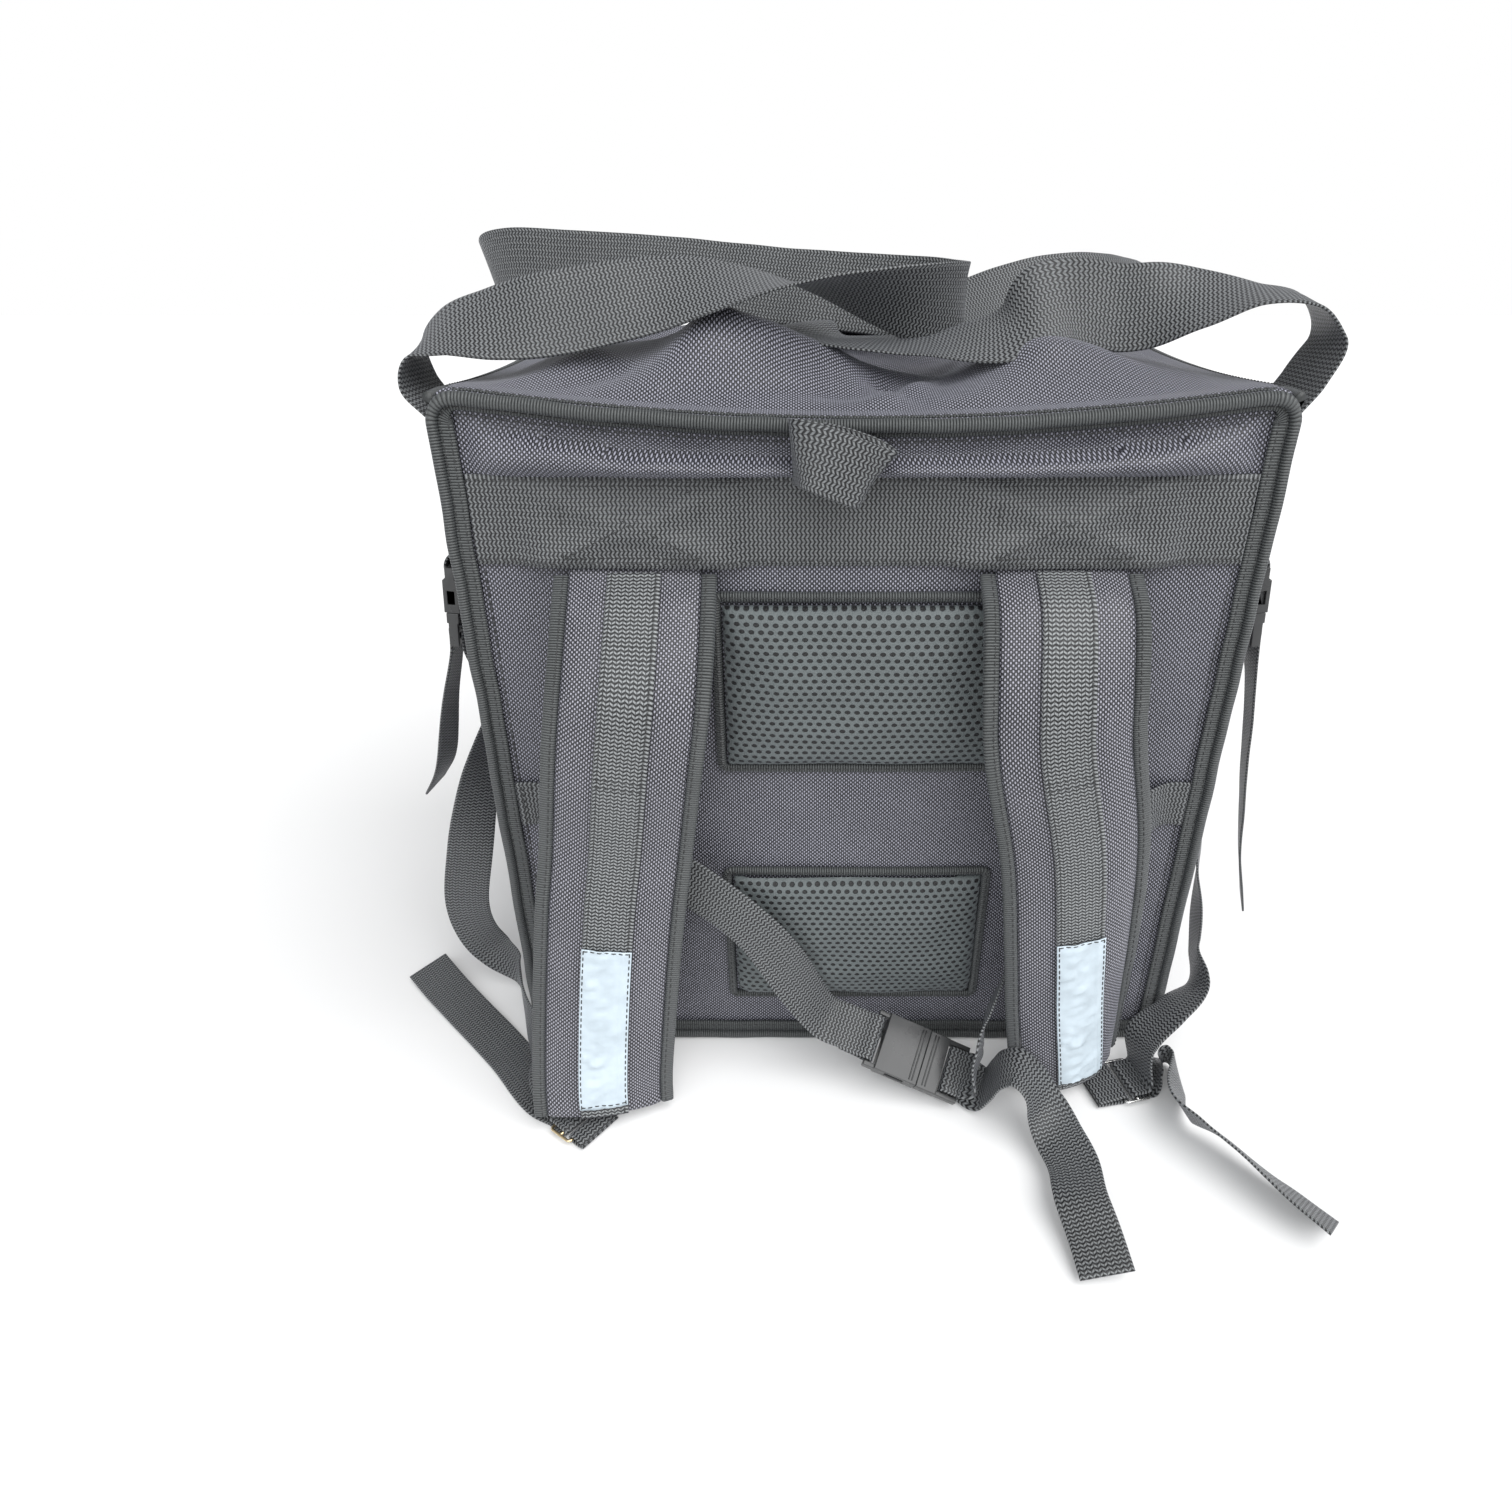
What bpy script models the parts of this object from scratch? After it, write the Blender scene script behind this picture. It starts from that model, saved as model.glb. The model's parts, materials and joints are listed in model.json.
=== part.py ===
"""Insulated delivery backpack, standing on its base with the wearer's side facing -Y.

A box of padded cloth, open at the top under a slack padded lid, with bound seams round its two
panels. The wearer's side carries a wide webbing band, a hanging loop, two mesh pads, two padded
shoulder straps and a waist belt with a side-release buckle. The two side walls carry the long
carrying handles, the adjuster webbing of the shoulder straps and a short strap with a buckle.
Metres, +Z up. The origin is the centre of the flat base.
"""

import math

import bmesh
import bpy
import numpy as np
from mathutils import Matrix, Vector

# Bag body
BODY_WIDTH = 0.450
BODY_DEPTH = 0.350
BODY_HEIGHT = 0.450
WALL = 0.008  # padded wall
BASE_CORNER = 0.020  # radius of the two lower corners, seen from the wearer's side
PANEL_BULGE = 0.006  # how far a wall swells past its flat plane
STRIP_PUFF = 0.005  # how far the cloth between the band and the rim swells
RIM_SAG = 0.014  # drop of the rim between the corners of a panel
SIDE_SAG = 0.006  # the same on a side wall
SEAM_GAP = 0.0004  # between pieces that are sewn to each other
STITCH_GAP = 0.0008  # between the layers sewn on a shoulder strap
FLOOR_GAP = 0.0006  # between a loose piece and the surface that the bag stands on

# Lid
LID_THICKNESS = 0.006
LID_GAP = 0.0007
HANDLE_GAP = 0.0028  # between the lid and a handle that lies on it
LID_PUFF = 0.020  # how far the slack lid stands up all over
HUMP_RISE = 0.026  # and how far its highest hump stands above that

# Bound seams
BINDING_WIDTH = 0.014
BINDING_THICKNESS = 0.006
BINDING_PROUD = 0.005  # how far a binding stands past the edge of its panel
RIM_CORNER = 0.009  # radius of a binding at the upper corners

# Webbing
BAND_WIDTH = 0.050
BAND_THICKNESS = 0.0018
BAND_LOW = 0.363  # height of the band's lower edge
HANDLE_WIDTH = 0.050
WEBBING_WIDTH = 0.032
WEBBING_THICKNESS = 0.0015
LOOP_WIDTH = 0.034  # hanging loop above the band

# Mesh pads
PAD_WIDTH = 0.180
PAD_X = 0.004  # how far their middles lie to the right of the panel's
PAD_HEIGHT = 0.118
PAD_THICKNESS = 0.012
UPPER_PAD_Z = 0.289  # heights of the pads' middles
LOWER_PAD_Z = 0.098
PAD_BINDING = 0.007

# Shoulder straps
STRAP_WIDTH = 0.092
STRAP_THICKNESS = 0.010
STRAP_EDGE = 0.009  # width of the bound edge
STRAP_TUCK = 0.020  # length hidden under the band
STRAP_TUCK_THICKNESS = 0.005
STRAP_REACH = 0.088  # how far the foot of the left strap stands in front of the panel
STRAP_SPLAY = 0.040  # and how far it has wandered sideways
LEFT_STRAP_X = -0.1265
RIGHT_STRAP_X = 0.1135
FACE_WEBBING = 0.030
TAPE_LENGTH = 0.121
TAPE_THICKNESS = 0.0007
TAPE_END = 0.007  # from the tape to the foot of the strap

# Sliders on the adjuster webbing: how far the middle lies outside and in front of the place where
# the strap's middle meets the floor, and the bearing of the webbing that leaves it
SLIDER_LENGTH = 0.018
SLIDER_BAR = 0.0020  # thickness of its wire
#                   out     front  bearing  loop
SLIDER_PLACES = {
    "left": (0.0172, -0.0009, -37.0, 0.010),
    "right": (0.0375, -0.0038, -14.0, 0.020),
}

# Side-release buckles: width of their webbing, lengths of the two halves outside each other, and
# thickness
#                 webbing  socket  plug   thickness
BUCKLES = {
    "waist": (0.032, 0.038, 0.030, 0.011),
    "side": (0.025, 0.028, 0.022, 0.009),
}
BUCKLE_MARGIN = 0.004  # plastic outside the webbing, on each side
BUCKLE_BAR = 0.003
BUCKLE_SLOT = 0.0048
BUCKLE_SKIN = 0.0018
BAR_SHARE = 0.36  # thickness of a bar, in shares of the buckle's

# Places on the side walls
SIDE_STRAP_Y = -0.140
ADJUSTER_Y = -0.099
SIDE_BUCKLE_OUT = 0.012  # how far a side buckle hangs off its wall
HANDLE_Y = 0.135  # how far a handle's end lies before and behind the middle
HANDLE_END_Z = 0.376  # lower ends of the handles
WALL_GAP = 0.0011  # between webbing and the faceted wall that it is sewn to

# Meshing
STEP = 0.030  # length of one facet along a straight run of webbing
TURN = math.radians(24)  # turn of one facet round a bend
BINDING_SIDES = 8

SIDES = {"left": -1.0, "right": 1.0}
BAND_TOP = BAND_LOW + BAND_WIDTH
LAND = BINDING_WIDTH - BINDING_PROUD + 0.008  # flat border of a panel, under its binding
RIM_LAND = BINDING_WIDTH - BINDING_PROUD + 0.001  # the same at the rim

# Slack humps of the lid. Places and reaches are shares of half the width and depth, rises are
# shares of HUMP_RISE.
#        x      y     reach_x  reach_y  rise
HUMPS = (
    (-0.35, -0.55, 0.20, 0.36, 1.00),
    (0.54, -0.55, 0.17, 0.34, 0.50),
    (-0.80, -0.42, 0.14, 0.28, 0.36),
    (0.12, -0.45, 0.15, 0.40, -0.30),
    (0.05, 0.45, 0.40, 0.30, 0.35),
    (0.70, 0.30, 0.18, 0.30, -0.25),
)

# Shoulder straps, from the band down. Drop is a share of the height of the band, forward of
# STRAP_REACH, side of STRAP_SPLAY, and yaw and curl are degrees.
#          drop  forward side   yaw  curl
STRAPS = {
    "left": (
        (0.063, 0.28, 0.00, 0, 0),
        (0.165, 0.57, 0.06, 0, 4),
        (0.275, 0.63, 0.21, 0, 6),
        (0.455, 0.61, 0.46, 2, 8),
        (0.556, 0.67, 0.60, 3, 9),
        (0.717, 0.76, 0.78, 5, 11),
        (0.915, 0.88, 0.95, 10, 14),
        (0.966, 0.93, 0.95, 12, 14),
    ),
    "right": (
        (0.058, 0.34, 0.00, 0, 0),
        (0.165, 0.57, 0.00, 0, 4),
        (0.250, 0.62, 0.07, 0, 8),
        (0.450, 0.62, 0.48, 4, 14),
        (0.645, 0.62, 0.71, 9, 22),
        (0.770, 0.62, 0.84, 13, 30),
        (0.915, 0.61, 1.03, 18, 42),
        (0.966, 0.60, 1.09, 20, 46),
    ),
}

# Webbing routes. x is a share of half the body's width, y of half its depth, z of its height,
# and across is the direction of the webbing's width.
#            x       y       z      across
ADJUSTER_SLACK = {
    "left": (
        (-1.077, -0.600, 0.540, (0.15, 1.0, 0.1)),
        (-1.155, -0.657, 0.427, (0.60, 0.80, 0.0)),
        (-1.222, -0.714, 0.289, (0.95, 0.30, 0.0)),
        (-1.260, -0.731, 0.189, (1.0, 0.10, 0.0)),
        (-1.249, -0.720, 0.129, (0.90, 0.10, 0.40)),
        (-1.204, -0.709, 0.080, (0.50, 0.10, 0.85)),
        (-1.127, -0.748, 0.053, (0.10, 0.0, 1.0)),
        (-1.084, -0.886, 0.048, (0.0, 0.05, 1.0)),
        (-1.036, -1.040, 0.047, (0.10, 0.10, 1.0)),
        (-0.964, -1.189, 0.040, (0.45, 0.25, 0.85)),
        (-0.925, -1.290, 0.026, (0.65, 0.60, 0.40)),
    ),
    "right": (
        (1.077, -0.600, 0.562, (0.15, 1.0, 0.0)),
        (1.120, -0.657, 0.408, (0.45, 0.90, 0.0)),
        (1.142, -0.714, 0.286, (0.40, 0.90, 0.0)),
        (1.144, -0.790, 0.213, (0.20, 1.0, -0.1)),
        (1.120, -0.920, 0.160, (0.20, 0.90, -0.30)),
        (1.095, -1.060, 0.134, (0.10, 0.90, -0.40)),
        (0.995, -1.172, 0.114, (-0.10, 0.95, -0.20)),
        (0.905, -1.220, 0.072, (-0.25, 0.97, 0.0)),
    ),
}
# How far outside and above a slider's bar the webbing starts to turn under it, metres.
SLACK_BEND = {"left": (0.0050, 0.0008), "right": (0.0010, 0.0040)}
ADJUSTER_TAIL = {
    "left": (
        (-0.930, -1.360, 0.003, (0.66, 0.75, 0.0)),
        (-1.090, -1.130, 0.004, (0.72, 0.69, 0.0)),
        (-1.290, -0.874, 0.008, (0.72, 0.69, 0.05)),
        (-1.400, -0.735, 0.013, (0.75, 0.64, 0.12)),
        (-1.485, -0.621, 0.018, (0.78, 0.60, 0.18)),
    ),
    "right": (
        (0.964, -1.240, 0.021, (-0.20, 0.80, -0.57)),
        (0.996, -1.236, 0.032, (-0.10, 0.45, -0.89)),
        (1.012, -1.270, 0.036, (0.25, 0.25, -0.93)),
        (1.004, -1.335, 0.037, (0.45, 0.05, -0.88)),
        (0.984, -1.400, 0.039, (0.52, 0.0, -0.85)),
        (0.974, -1.460, 0.042, (0.55, 0.05, -0.82)),
        (0.978, -1.520, 0.046, (0.55, 0.10, -0.80)),
        (1.020, -1.590, 0.048, (0.55, 0.25, -0.75)),
        (1.062, -1.655, 0.045, (0.50, 0.43, -0.70)),
        (1.105, -1.725, 0.040, (0.50, 0.43, -0.66)),
        (1.145, -1.793, 0.036, (0.52, 0.45, -0.62)),
        (1.182, -1.850, 0.032, (0.55, 0.48, -0.56)),
        (1.258, -1.960, 0.024, (0.60, 0.50, -0.50)),
    ),
}
BELT_LEFT = (
    (-0.800, -1.100, 0.440, (0.05, 0.25, 1.0)),
    (-0.600, -1.135, 0.390, (0.25, 0.30, 1.0)),
    (-0.420, -1.160, 0.335, (0.45, 0.10, 0.9)),
    (-0.260, -1.190, 0.262, (0.60, 0.10, 0.8)),
)
BELT_RIGHT = (
    (0.800, -1.090, 0.440, (-0.05, 0.25, 1.0)),
    (0.650, -1.100, 0.356, (-0.30, 0.20, 0.9)),
    (0.540, -1.120, 0.262, (-0.25, -0.30, 0.85)),
    (0.476, -1.160, 0.188, (-0.19, -0.73, 0.66)),
    (0.416, -1.240, 0.128, (-0.22, -0.84, 0.30)),
    (0.388, -1.330, 0.092, (-0.32, -0.80, -0.15)),
)
BELT_TAIL = (
    (0.398, -1.360, 0.024, (0.30, 0.90, 0.30)),
    (0.424, -1.388, 0.056, (0.20, 0.95, 0.15)),
    (0.446, -1.408, 0.086, (0.20, 0.95, 0.10)),
    (0.484, -1.431, 0.100, (0.25, 0.92, 0.10)),
    (0.529, -1.471, 0.089, (0.38, 0.85, 0.10)),
    (0.564, -1.531, 0.060, (0.58, 0.70, 0.25)),
    (0.586, -1.617, 0.043, (0.78, 0.50, 0.35)),
    (0.602, -1.700, 0.041, (0.90, 0.28, 0.32)),
    (0.606, -1.753, 0.042, (0.95, 0.10, 0.30)),
    (0.600, -1.870, 0.044, (0.97, -0.05, 0.22)),
    (0.616, -1.991, 0.031, (0.98, -0.10, 0.16)),
    (0.628, -2.117, 0.018, (0.98, -0.15, 0.12)),
)
HANDLE_ROUTES = {
    "left": (
        (-1.095, -0.765, 1.010, (0.05, 1.0, 0.10)),
        (-1.088, -0.760, 1.046, (-0.05, 0.97, 0.20)),
        (-1.020, -0.748, 1.066, (-0.12, 0.88, 0.42)),
        (-0.900, -0.725, 1.075, (-0.25, 0.70, 0.65)),
        (-0.780, -0.700, 1.083, (-0.30, 0.55, 0.80)),
        (-0.600, -0.650, 1.098, (-0.25, 0.60, 0.80)),
        (-0.420, -0.590, 1.112, (-0.20, 0.80, 0.60)),
        (-0.200, -0.540, 1.117, (0.0, 1.0, 0.05)),
        (0.060, -0.500, 1.112, (0.0, 0.75, -0.65)),
        (0.200, -0.440, 1.112, (0.0, 0.45, -0.90)),
        (0.290, -0.340, 1.112, (0.0, 0.20, -1.0)),
        (0.285, -0.210, 1.112, (0.0, 0.10, -1.0)),
        (0.130, -0.080, 1.114, (0.0, -0.30, -0.95)),
        (-0.180, 0.080, 1.112, (0.0, -0.45, -0.90)),
        (-0.520, 0.230, 1.110, (0.0, -0.40, -0.92)),
        (-0.860, 0.360, 1.116, (0.05, -0.15, -1.0)),
        (-1.080, 0.450, 1.119, (0.15, -0.10, -1.0)),
        (-1.175, 0.570, 1.108, (0.35, -0.30, -0.90)),
        (-1.165, 0.700, 1.082, (0.35, -0.75, -0.55)),
        (-1.105, 0.765, 1.040, (0.10, -1.0, -0.15)),
    ),
    "right": (
        (1.100, -0.768, 1.015, (0.0, 1.0, 0.05)),
        (1.135, -0.758, 1.060, (0.05, 1.0, 0.12)),
        (1.085, -0.740, 1.098, (0.15, 0.95, 0.10)),
        (0.970, -0.710, 1.108, (0.20, 0.93, 0.15)),
        (0.850, -0.660, 1.100, (0.20, 0.80, 0.50)),
        (0.720, -0.600, 1.090, (0.20, 0.45, 0.90)),
        (0.540, -0.520, 1.076, (0.25, 0.45, 0.90)),
        (0.400, -0.560, 1.056, (0.20, 0.75, 0.55)),
        (0.200, -0.500, 1.042, (0.10, 1.0, 0.15)),
        (0.020, -0.450, 1.042, (0.05, 1.0, 0.05)),
        (-0.130, -0.340, 1.044, (0.45, 0.90, 0.0)),
        (-0.190, -0.150, 1.044, (0.95, 0.25, 0.0)),
        (-0.130, 0.070, 1.044, (0.80, -0.60, 0.0)),
        (0.060, 0.250, 1.048, (0.30, -0.95, -0.05)),
        (0.320, 0.390, 1.060, (0.05, -0.90, -0.40)),
        (0.660, 0.540, 1.088, (0.0, -0.60, -0.80)),
        (0.940, 0.640, 1.098, (0.0, -0.75, -0.60)),
        (1.060, 0.715, 1.098, (-0.05, -0.93, -0.35)),
        (1.140, 0.755, 1.078, (0.0, -1.0, -0.15)),
        (1.120, 0.768, 1.040, (0.05, -1.0, -0.05)),
    ),
}
SIDE_TAIL = {
    "left": (
        (-1.155, -0.775, 0.600, (0.1, 1.0, 0.0)),
        (-1.200, -0.750, 0.520, (0.2, 1.0, 0.0)),
        (-1.240, -0.730, 0.455, (0.3, 1.0, 0.1)),
        (-1.290, -0.705, 0.415, (0.3, 1.0, 0.2)),
    ),
    "right": (
        (1.145, -0.790, 0.600, (0.15, 1.0, 0.0)),
        (1.185, -0.800, 0.460, (0.25, 1.0, 0.0)),
        (1.230, -0.800, 0.330, (0.35, 1.0, 0.0)),
        (1.290, -0.790, 0.215, (0.30, 1.0, 0.1)),
    ),
}
# Hanging loop: x in shares of LOOP_WIDTH from the middle of the panel, y in the same in front of
# it, and z in the same above the band's upper edge.
LOOP_CLEAR = 0.0053  # room for the panel's binding behind the loop's sewn end
LOOP_EDGE_SHARES = (-0.5, -0.3, -0.1, 0.1, 0.3, 0.5)
LOOP_ROUTE = (
    (-1.06, 0.29, 0.32, (0.0, 0.0, 1.0)),
    (-1.06, 0.52, 0.32, (0.0, 0.10, 1.0)),
    (-0.84, 0.78, 0.30, (0.05, 0.15, 1.0)),
    (-0.24, 0.96, 0.27, (0.10, 0.20, 1.0)),
    (0.34, 0.94, 0.34, (0.15, 0.15, 1.0)),
    (0.62, 0.72, 0.37, (0.10, 0.10, 1.0)),
    (0.46, 0.47, 0.36, (0.10, 0.0, 1.0)),
    (-0.10, 0.38, 0.34, (0.10, 0.0, 1.0)),
    (-0.60, 0.31, 0.30, (0.0, 0.0, 1.0)),
)


def clear_scene():
    """Removes whatever the scene holds, such as the startup objects."""
    for old in list(bpy.data.objects):
        bpy.data.objects.remove(old)


def material(name, colour, roughness, metallic=0.0):
    """A plain Principled finish."""
    finish = bpy.data.materials.new(name)
    finish.use_nodes = True
    shader = finish.node_tree.nodes["Principled BSDF"]
    shader.inputs["Base Color"].default_value = (*colour, 1.0)
    shader.inputs["Roughness"].default_value = roughness
    shader.inputs["Metallic"].default_value = metallic
    return finish


def put_in(collection, name, mesh, finish):
    """An object of this mesh, in the collection and with the finish."""
    node = bpy.data.objects.new(name, mesh)
    mesh.materials.append(finish)
    collection.objects.link(node)
    return node


def mesh_from(built, name):
    """The bmesh as a mesh, with its faces pointing out."""
    bmesh.ops.recalc_face_normals(built, faces=built.faces)
    mesh = bpy.data.meshes.new(name)
    built.to_mesh(mesh)
    built.free()
    return mesh


# Surfaces of the body, which the pieces sewn on it follow


def inward(value, half, land):
    """0 in the middle and 1 from the land at the border outwards."""
    return min(1.0, abs(value) / (half - land))


def swell(u, half_u, z):
    """Share of the bulge of a wall at a place along it and a height."""
    along = inward(u, half_u, LAND)
    up = inward(z - BODY_HEIGHT / 2, BODY_HEIGHT / 2, max(LAND, BASE_CORNER))
    return (1 - along**2) * (1 - up**2)


def rim_height(x, y):
    """Height of the rim, which sags between the corners."""
    across = inward(x, BODY_WIDTH / 2, LAND)
    deep = inward(y, BODY_DEPTH / 2, LAND)
    return BODY_HEIGHT - RIM_SAG * (1 - across**2) - SIDE_SAG * (1 - deep**2)


def back_y(x, z):
    """y of the outer face of the wearer's panel."""
    roof = rim_height(x, BODY_DEPTH / 2) - RIM_LAND
    middle, half = (BAND_TOP + roof) / 2, (roof - BAND_TOP) / 2
    along = inward(x, BODY_WIDTH / 2, LAND)
    puff = STRIP_PUFF * (1 - along**4) * max(0.0, 1 - ((z - middle) / half) ** 2)
    return -(BODY_DEPTH / 2 + PANEL_BULGE * swell(x, BODY_WIDTH / 2, z) + puff)


def wall_x(y, z):
    """Distance of a side wall's outer face from the middle."""
    return BODY_WIDTH / 2 + PANEL_BULGE * swell(y, BODY_DEPTH / 2, z)


def lid_bottom(x, y):
    """Height of the underside of the lid: the rim at the border, slack humps inside."""
    across = inward(x, BODY_WIDTH / 2, LAND)
    deep = inward(y, BODY_DEPTH / 2, LAND)
    fade = (1 - across**4) * (1 - deep**4)
    height = rim_height(x, y) + LID_GAP + LID_PUFF * fade
    for at_x, at_y, reach_x, reach_y, rise in HUMPS:
        off_x = (2 * x / BODY_WIDTH - at_x) / reach_x
        off_y = (2 * y / BODY_DEPTH - at_y) / reach_y
        height += HUMP_RISE * rise * math.exp(-(off_x**2) - off_y**2) * fade
    return height


def even_cuts(half, count):
    """Places that split a length from -half to half into this many cells."""
    return [half * (2 * step / count - 1) for step in range(1, count)]


def sliced(built, axis, places):
    """Slices all faces by planes across the axis, so that they can be shaped."""
    normal = Vector([float(axis == k) for k in range(3)])
    for place in places:
        geometry = built.verts[:] + built.edges[:] + built.faces[:]
        bmesh.ops.bisect_plane(
            built, geom=geometry, dist=1e-6, plane_co=normal * place, plane_no=normal
        )


def round_base(x, z):
    """Moves a point of the square lower corner onto the round one."""
    along = abs(x) - (BODY_WIDTH / 2 - BASE_CORNER)
    down = BASE_CORNER - z
    if along <= 0 or down <= 0:
        return x, z
    scale = max(along, down) / math.hypot(along, down)
    reach = BODY_WIDTH / 2 - BASE_CORNER + along * scale
    return math.copysign(reach, x), BASE_CORNER - down * scale


def shaped_body_point(point):
    """A point of the plain box moved onto the soft body."""
    x, y, z = point
    side = abs(x) > BODY_WIDTH / 2 - 1e-5
    panel = abs(y) > BODY_DEPTH / 2 - 1e-5
    rim = rim_height(x, y)
    if z > BODY_HEIGHT - RIM_LAND:
        z += rim - BODY_HEIGHT
    elif z > BAND_TOP:
        share = (z - BAND_TOP) / (BODY_HEIGHT - RIM_LAND - BAND_TOP)
        z = BAND_TOP + share * (rim - RIM_LAND - BAND_TOP)
    if side:
        x = math.copysign(wall_x(y, z), x)
    x, z = round_base(x, z)
    if panel and y < 0:
        y = back_y(x, z)
    elif panel:
        y = BODY_DEPTH / 2 + PANEL_BULGE * swell(x, BODY_WIDTH / 2, z)
    return x, y, z


def make_body(collection, finish):
    """The open-topped padded box: a cube cut by planes, shaped, and given its wall."""
    built = bmesh.new()
    bmesh.ops.create_cube(built, size=1.0)
    size = Vector((BODY_WIDTH, BODY_DEPTH, BODY_HEIGHT))
    bmesh.ops.scale(built, vec=size, verts=built.verts)
    bmesh.ops.translate(built, vec=(0, 0, BODY_HEIGHT / 2), verts=built.verts)
    corner = BODY_WIDTH / 2 - BASE_CORNER
    bend = BASE_CORNER * math.tan(math.pi / 8)
    round_x = [sign * (corner + step) for sign in (-1, 1) for step in (0, bend)]
    round_z = [BASE_CORNER, BASE_CORNER - bend]
    strip_top = BODY_HEIGHT - RIM_LAND
    strip = (BAND_TOP + strip_top) / 2
    sliced(built, 0, even_cuts(corner, 7) + round_x)
    sliced(built, 1, even_cuts(BODY_DEPTH / 2, 5))
    middle = [BODY_HEIGHT * share for share in (0.22, 0.42, 0.58)]
    sliced(built, 2, round_z + middle + [BAND_LOW, BAND_TOP, strip, strip_top])
    top = [face for face in built.faces if face.calc_center_median().z > BODY_HEIGHT - 1e-5]
    bmesh.ops.delete(built, geom=top, context="FACES")
    for vertex in built.verts:
        vertex.co = shaped_body_point(vertex.co)
    bmesh.ops.recalc_face_normals(built, faces=built.faces)
    mesh = bpy.data.meshes.new("body_shell")
    built.to_mesh(mesh)
    built.free()
    node = put_in(collection, "body_shell", mesh, finish)
    wall = node.modifiers.new("wall", "SOLIDIFY")
    wall.thickness = WALL
    wall.offset = -1
    wall.use_even_offset = True
    return node


def make_lid(collection, finish):
    """The slack padded lid, which lies on the rim."""
    built = bmesh.new()
    bmesh.ops.create_grid(built, x_segments=1, y_segments=1, size=0.5)
    bmesh.ops.scale(built, vec=(BODY_WIDTH, BODY_DEPTH, 1), verts=built.verts)
    border_x = [BODY_WIDTH / 2 - LAND, LAND - BODY_WIDTH / 2]
    border_y = [BODY_DEPTH / 2 - LAND, LAND - BODY_DEPTH / 2]
    sliced(built, 0, even_cuts(border_x[0], 14) + border_x)
    sliced(built, 1, even_cuts(border_y[0], 9) + border_y)
    for vertex in built.verts:
        vertex.co.z = lid_bottom(vertex.co.x, vertex.co.y)
    for face in built.faces:
        if face.normal.z < 0:
            face.normal_flip()
    mesh = bpy.data.meshes.new("lid")
    built.to_mesh(mesh)
    built.free()
    node = put_in(collection, "lid", mesh, finish)
    padding = node.modifiers.new("padding", "SOLIDIFY")
    padding.thickness = LID_THICKNESS
    padding.offset = 1
    return node


# Lofts: bindings and webbing


def loft(collection, name, rings, finish, closed=False):
    """A skin through rings of points, capped at both ends unless the path is closed."""
    built = bmesh.new()
    rows = [[built.verts.new(point) for point in ring] for ring in rings]
    count = len(rings[0])
    pairs = list(zip(rows, rows[1:]))
    if closed:
        pairs.append((rows[-1], rows[0]))
    for first, second in pairs:
        for k in range(count):
            following = (k + 1) % count
            built.faces.new((first[k], first[following], second[following], second[k]))
    if not closed:
        built.faces.new(rows[0])
        built.faces.new(rows[-1])
    return put_in(collection, name, mesh_from(built, name), finish)


def smooth(rows, fine=12):
    """The smooth curve through rows of numbers, x, y, z first, which keeps calm where the rows
    are unevenly spaced."""
    legs = np.linalg.norm(np.diff(rows[:, :3], axis=0), axis=1)
    spans = np.sqrt(np.maximum(legs, 1e-7))
    slopes = np.diff(rows, axis=0) / spans[:, None]
    before, after = spans[:-1, None], spans[1:, None]
    inner = (slopes[:-1] * after + slopes[1:] * before) / (before + after)
    tangents = np.vstack([slopes[:1], inner, slopes[-1:]])
    t = np.linspace(0, 1, fine, endpoint=False)[:, None]
    pieces = []
    for k, span in enumerate(spans):
        pieces.append(
            rows[k] * (2 * t**3 - 3 * t**2 + 1)
            + rows[k + 1] * (3 * t**2 - 2 * t**3)
            + tangents[k] * span * (t**3 - 2 * t**2 + t)
            + tangents[k + 1] * span * (t**3 - t**2)
        )
    return np.vstack([*pieces, rows[-1:]])


def stations(rows, step=STEP):
    """Rows read from the smooth curve, closer together where it turns."""
    dense = smooth(np.array(rows, float))
    legs = np.diff(dense[:, :3], axis=0)
    lengths = np.maximum(np.linalg.norm(legs, axis=1), 1e-9)
    heading = legs / lengths[:, None]
    cosine = np.clip((heading[1:] * heading[:-1]).sum(1), -1, 1)
    turn = np.concatenate([[0], np.arccos(cosine)])
    measure = np.concatenate([[0], np.cumsum(lengths / step + turn / TURN)])
    count = max(3, math.ceil(measure[-1]) + 1)
    at = np.linspace(0, measure[-1], count)
    return np.stack([np.interp(at, measure, dense[:, k]) for k in range(dense.shape[1])], 1)


def headings_of(centres):
    """Direction of a path at each of its points, halfway between the legs that meet there."""
    legs = np.diff(centres, axis=0)
    legs /= np.linalg.norm(legs, axis=1)[:, None]
    found = np.vstack([legs[:1], legs[:-1] + legs[1:], legs[-1:]])
    return found / np.linalg.norm(found, axis=1)[:, None]


def square_to(heading, across):
    """The across direction made square to the heading, of length one."""
    across = across - heading * (across @ heading)
    return across / np.linalg.norm(across)


def untwisted(rows):
    """The rows with each across direction turned end for end where that twists less."""
    rows = np.array(rows, float)
    rows[:, 3:6] /= np.linalg.norm(rows[:, 3:6], axis=1)[:, None]
    for k in range(1, len(rows)):
        if rows[k, 3:6] @ rows[k - 1, 3:6] < 0:
            rows[k, 3:6] *= -1
    return rows


def frames(rows):
    """(centre, across, normal) at each station of a webbing route."""
    made = stations(untwisted(rows))
    found = []
    for centre, heading, across in zip(made[:, :3], headings_of(made[:, :3]), made[:, 3:6]):
        across = square_to(heading, across)
        found.append((centre, across, np.cross(heading, across)))
    return found


def floor_height(_x, _y):
    """Height above which loose webbing stays, away from the bag."""
    return FLOOR_GAP


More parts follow.
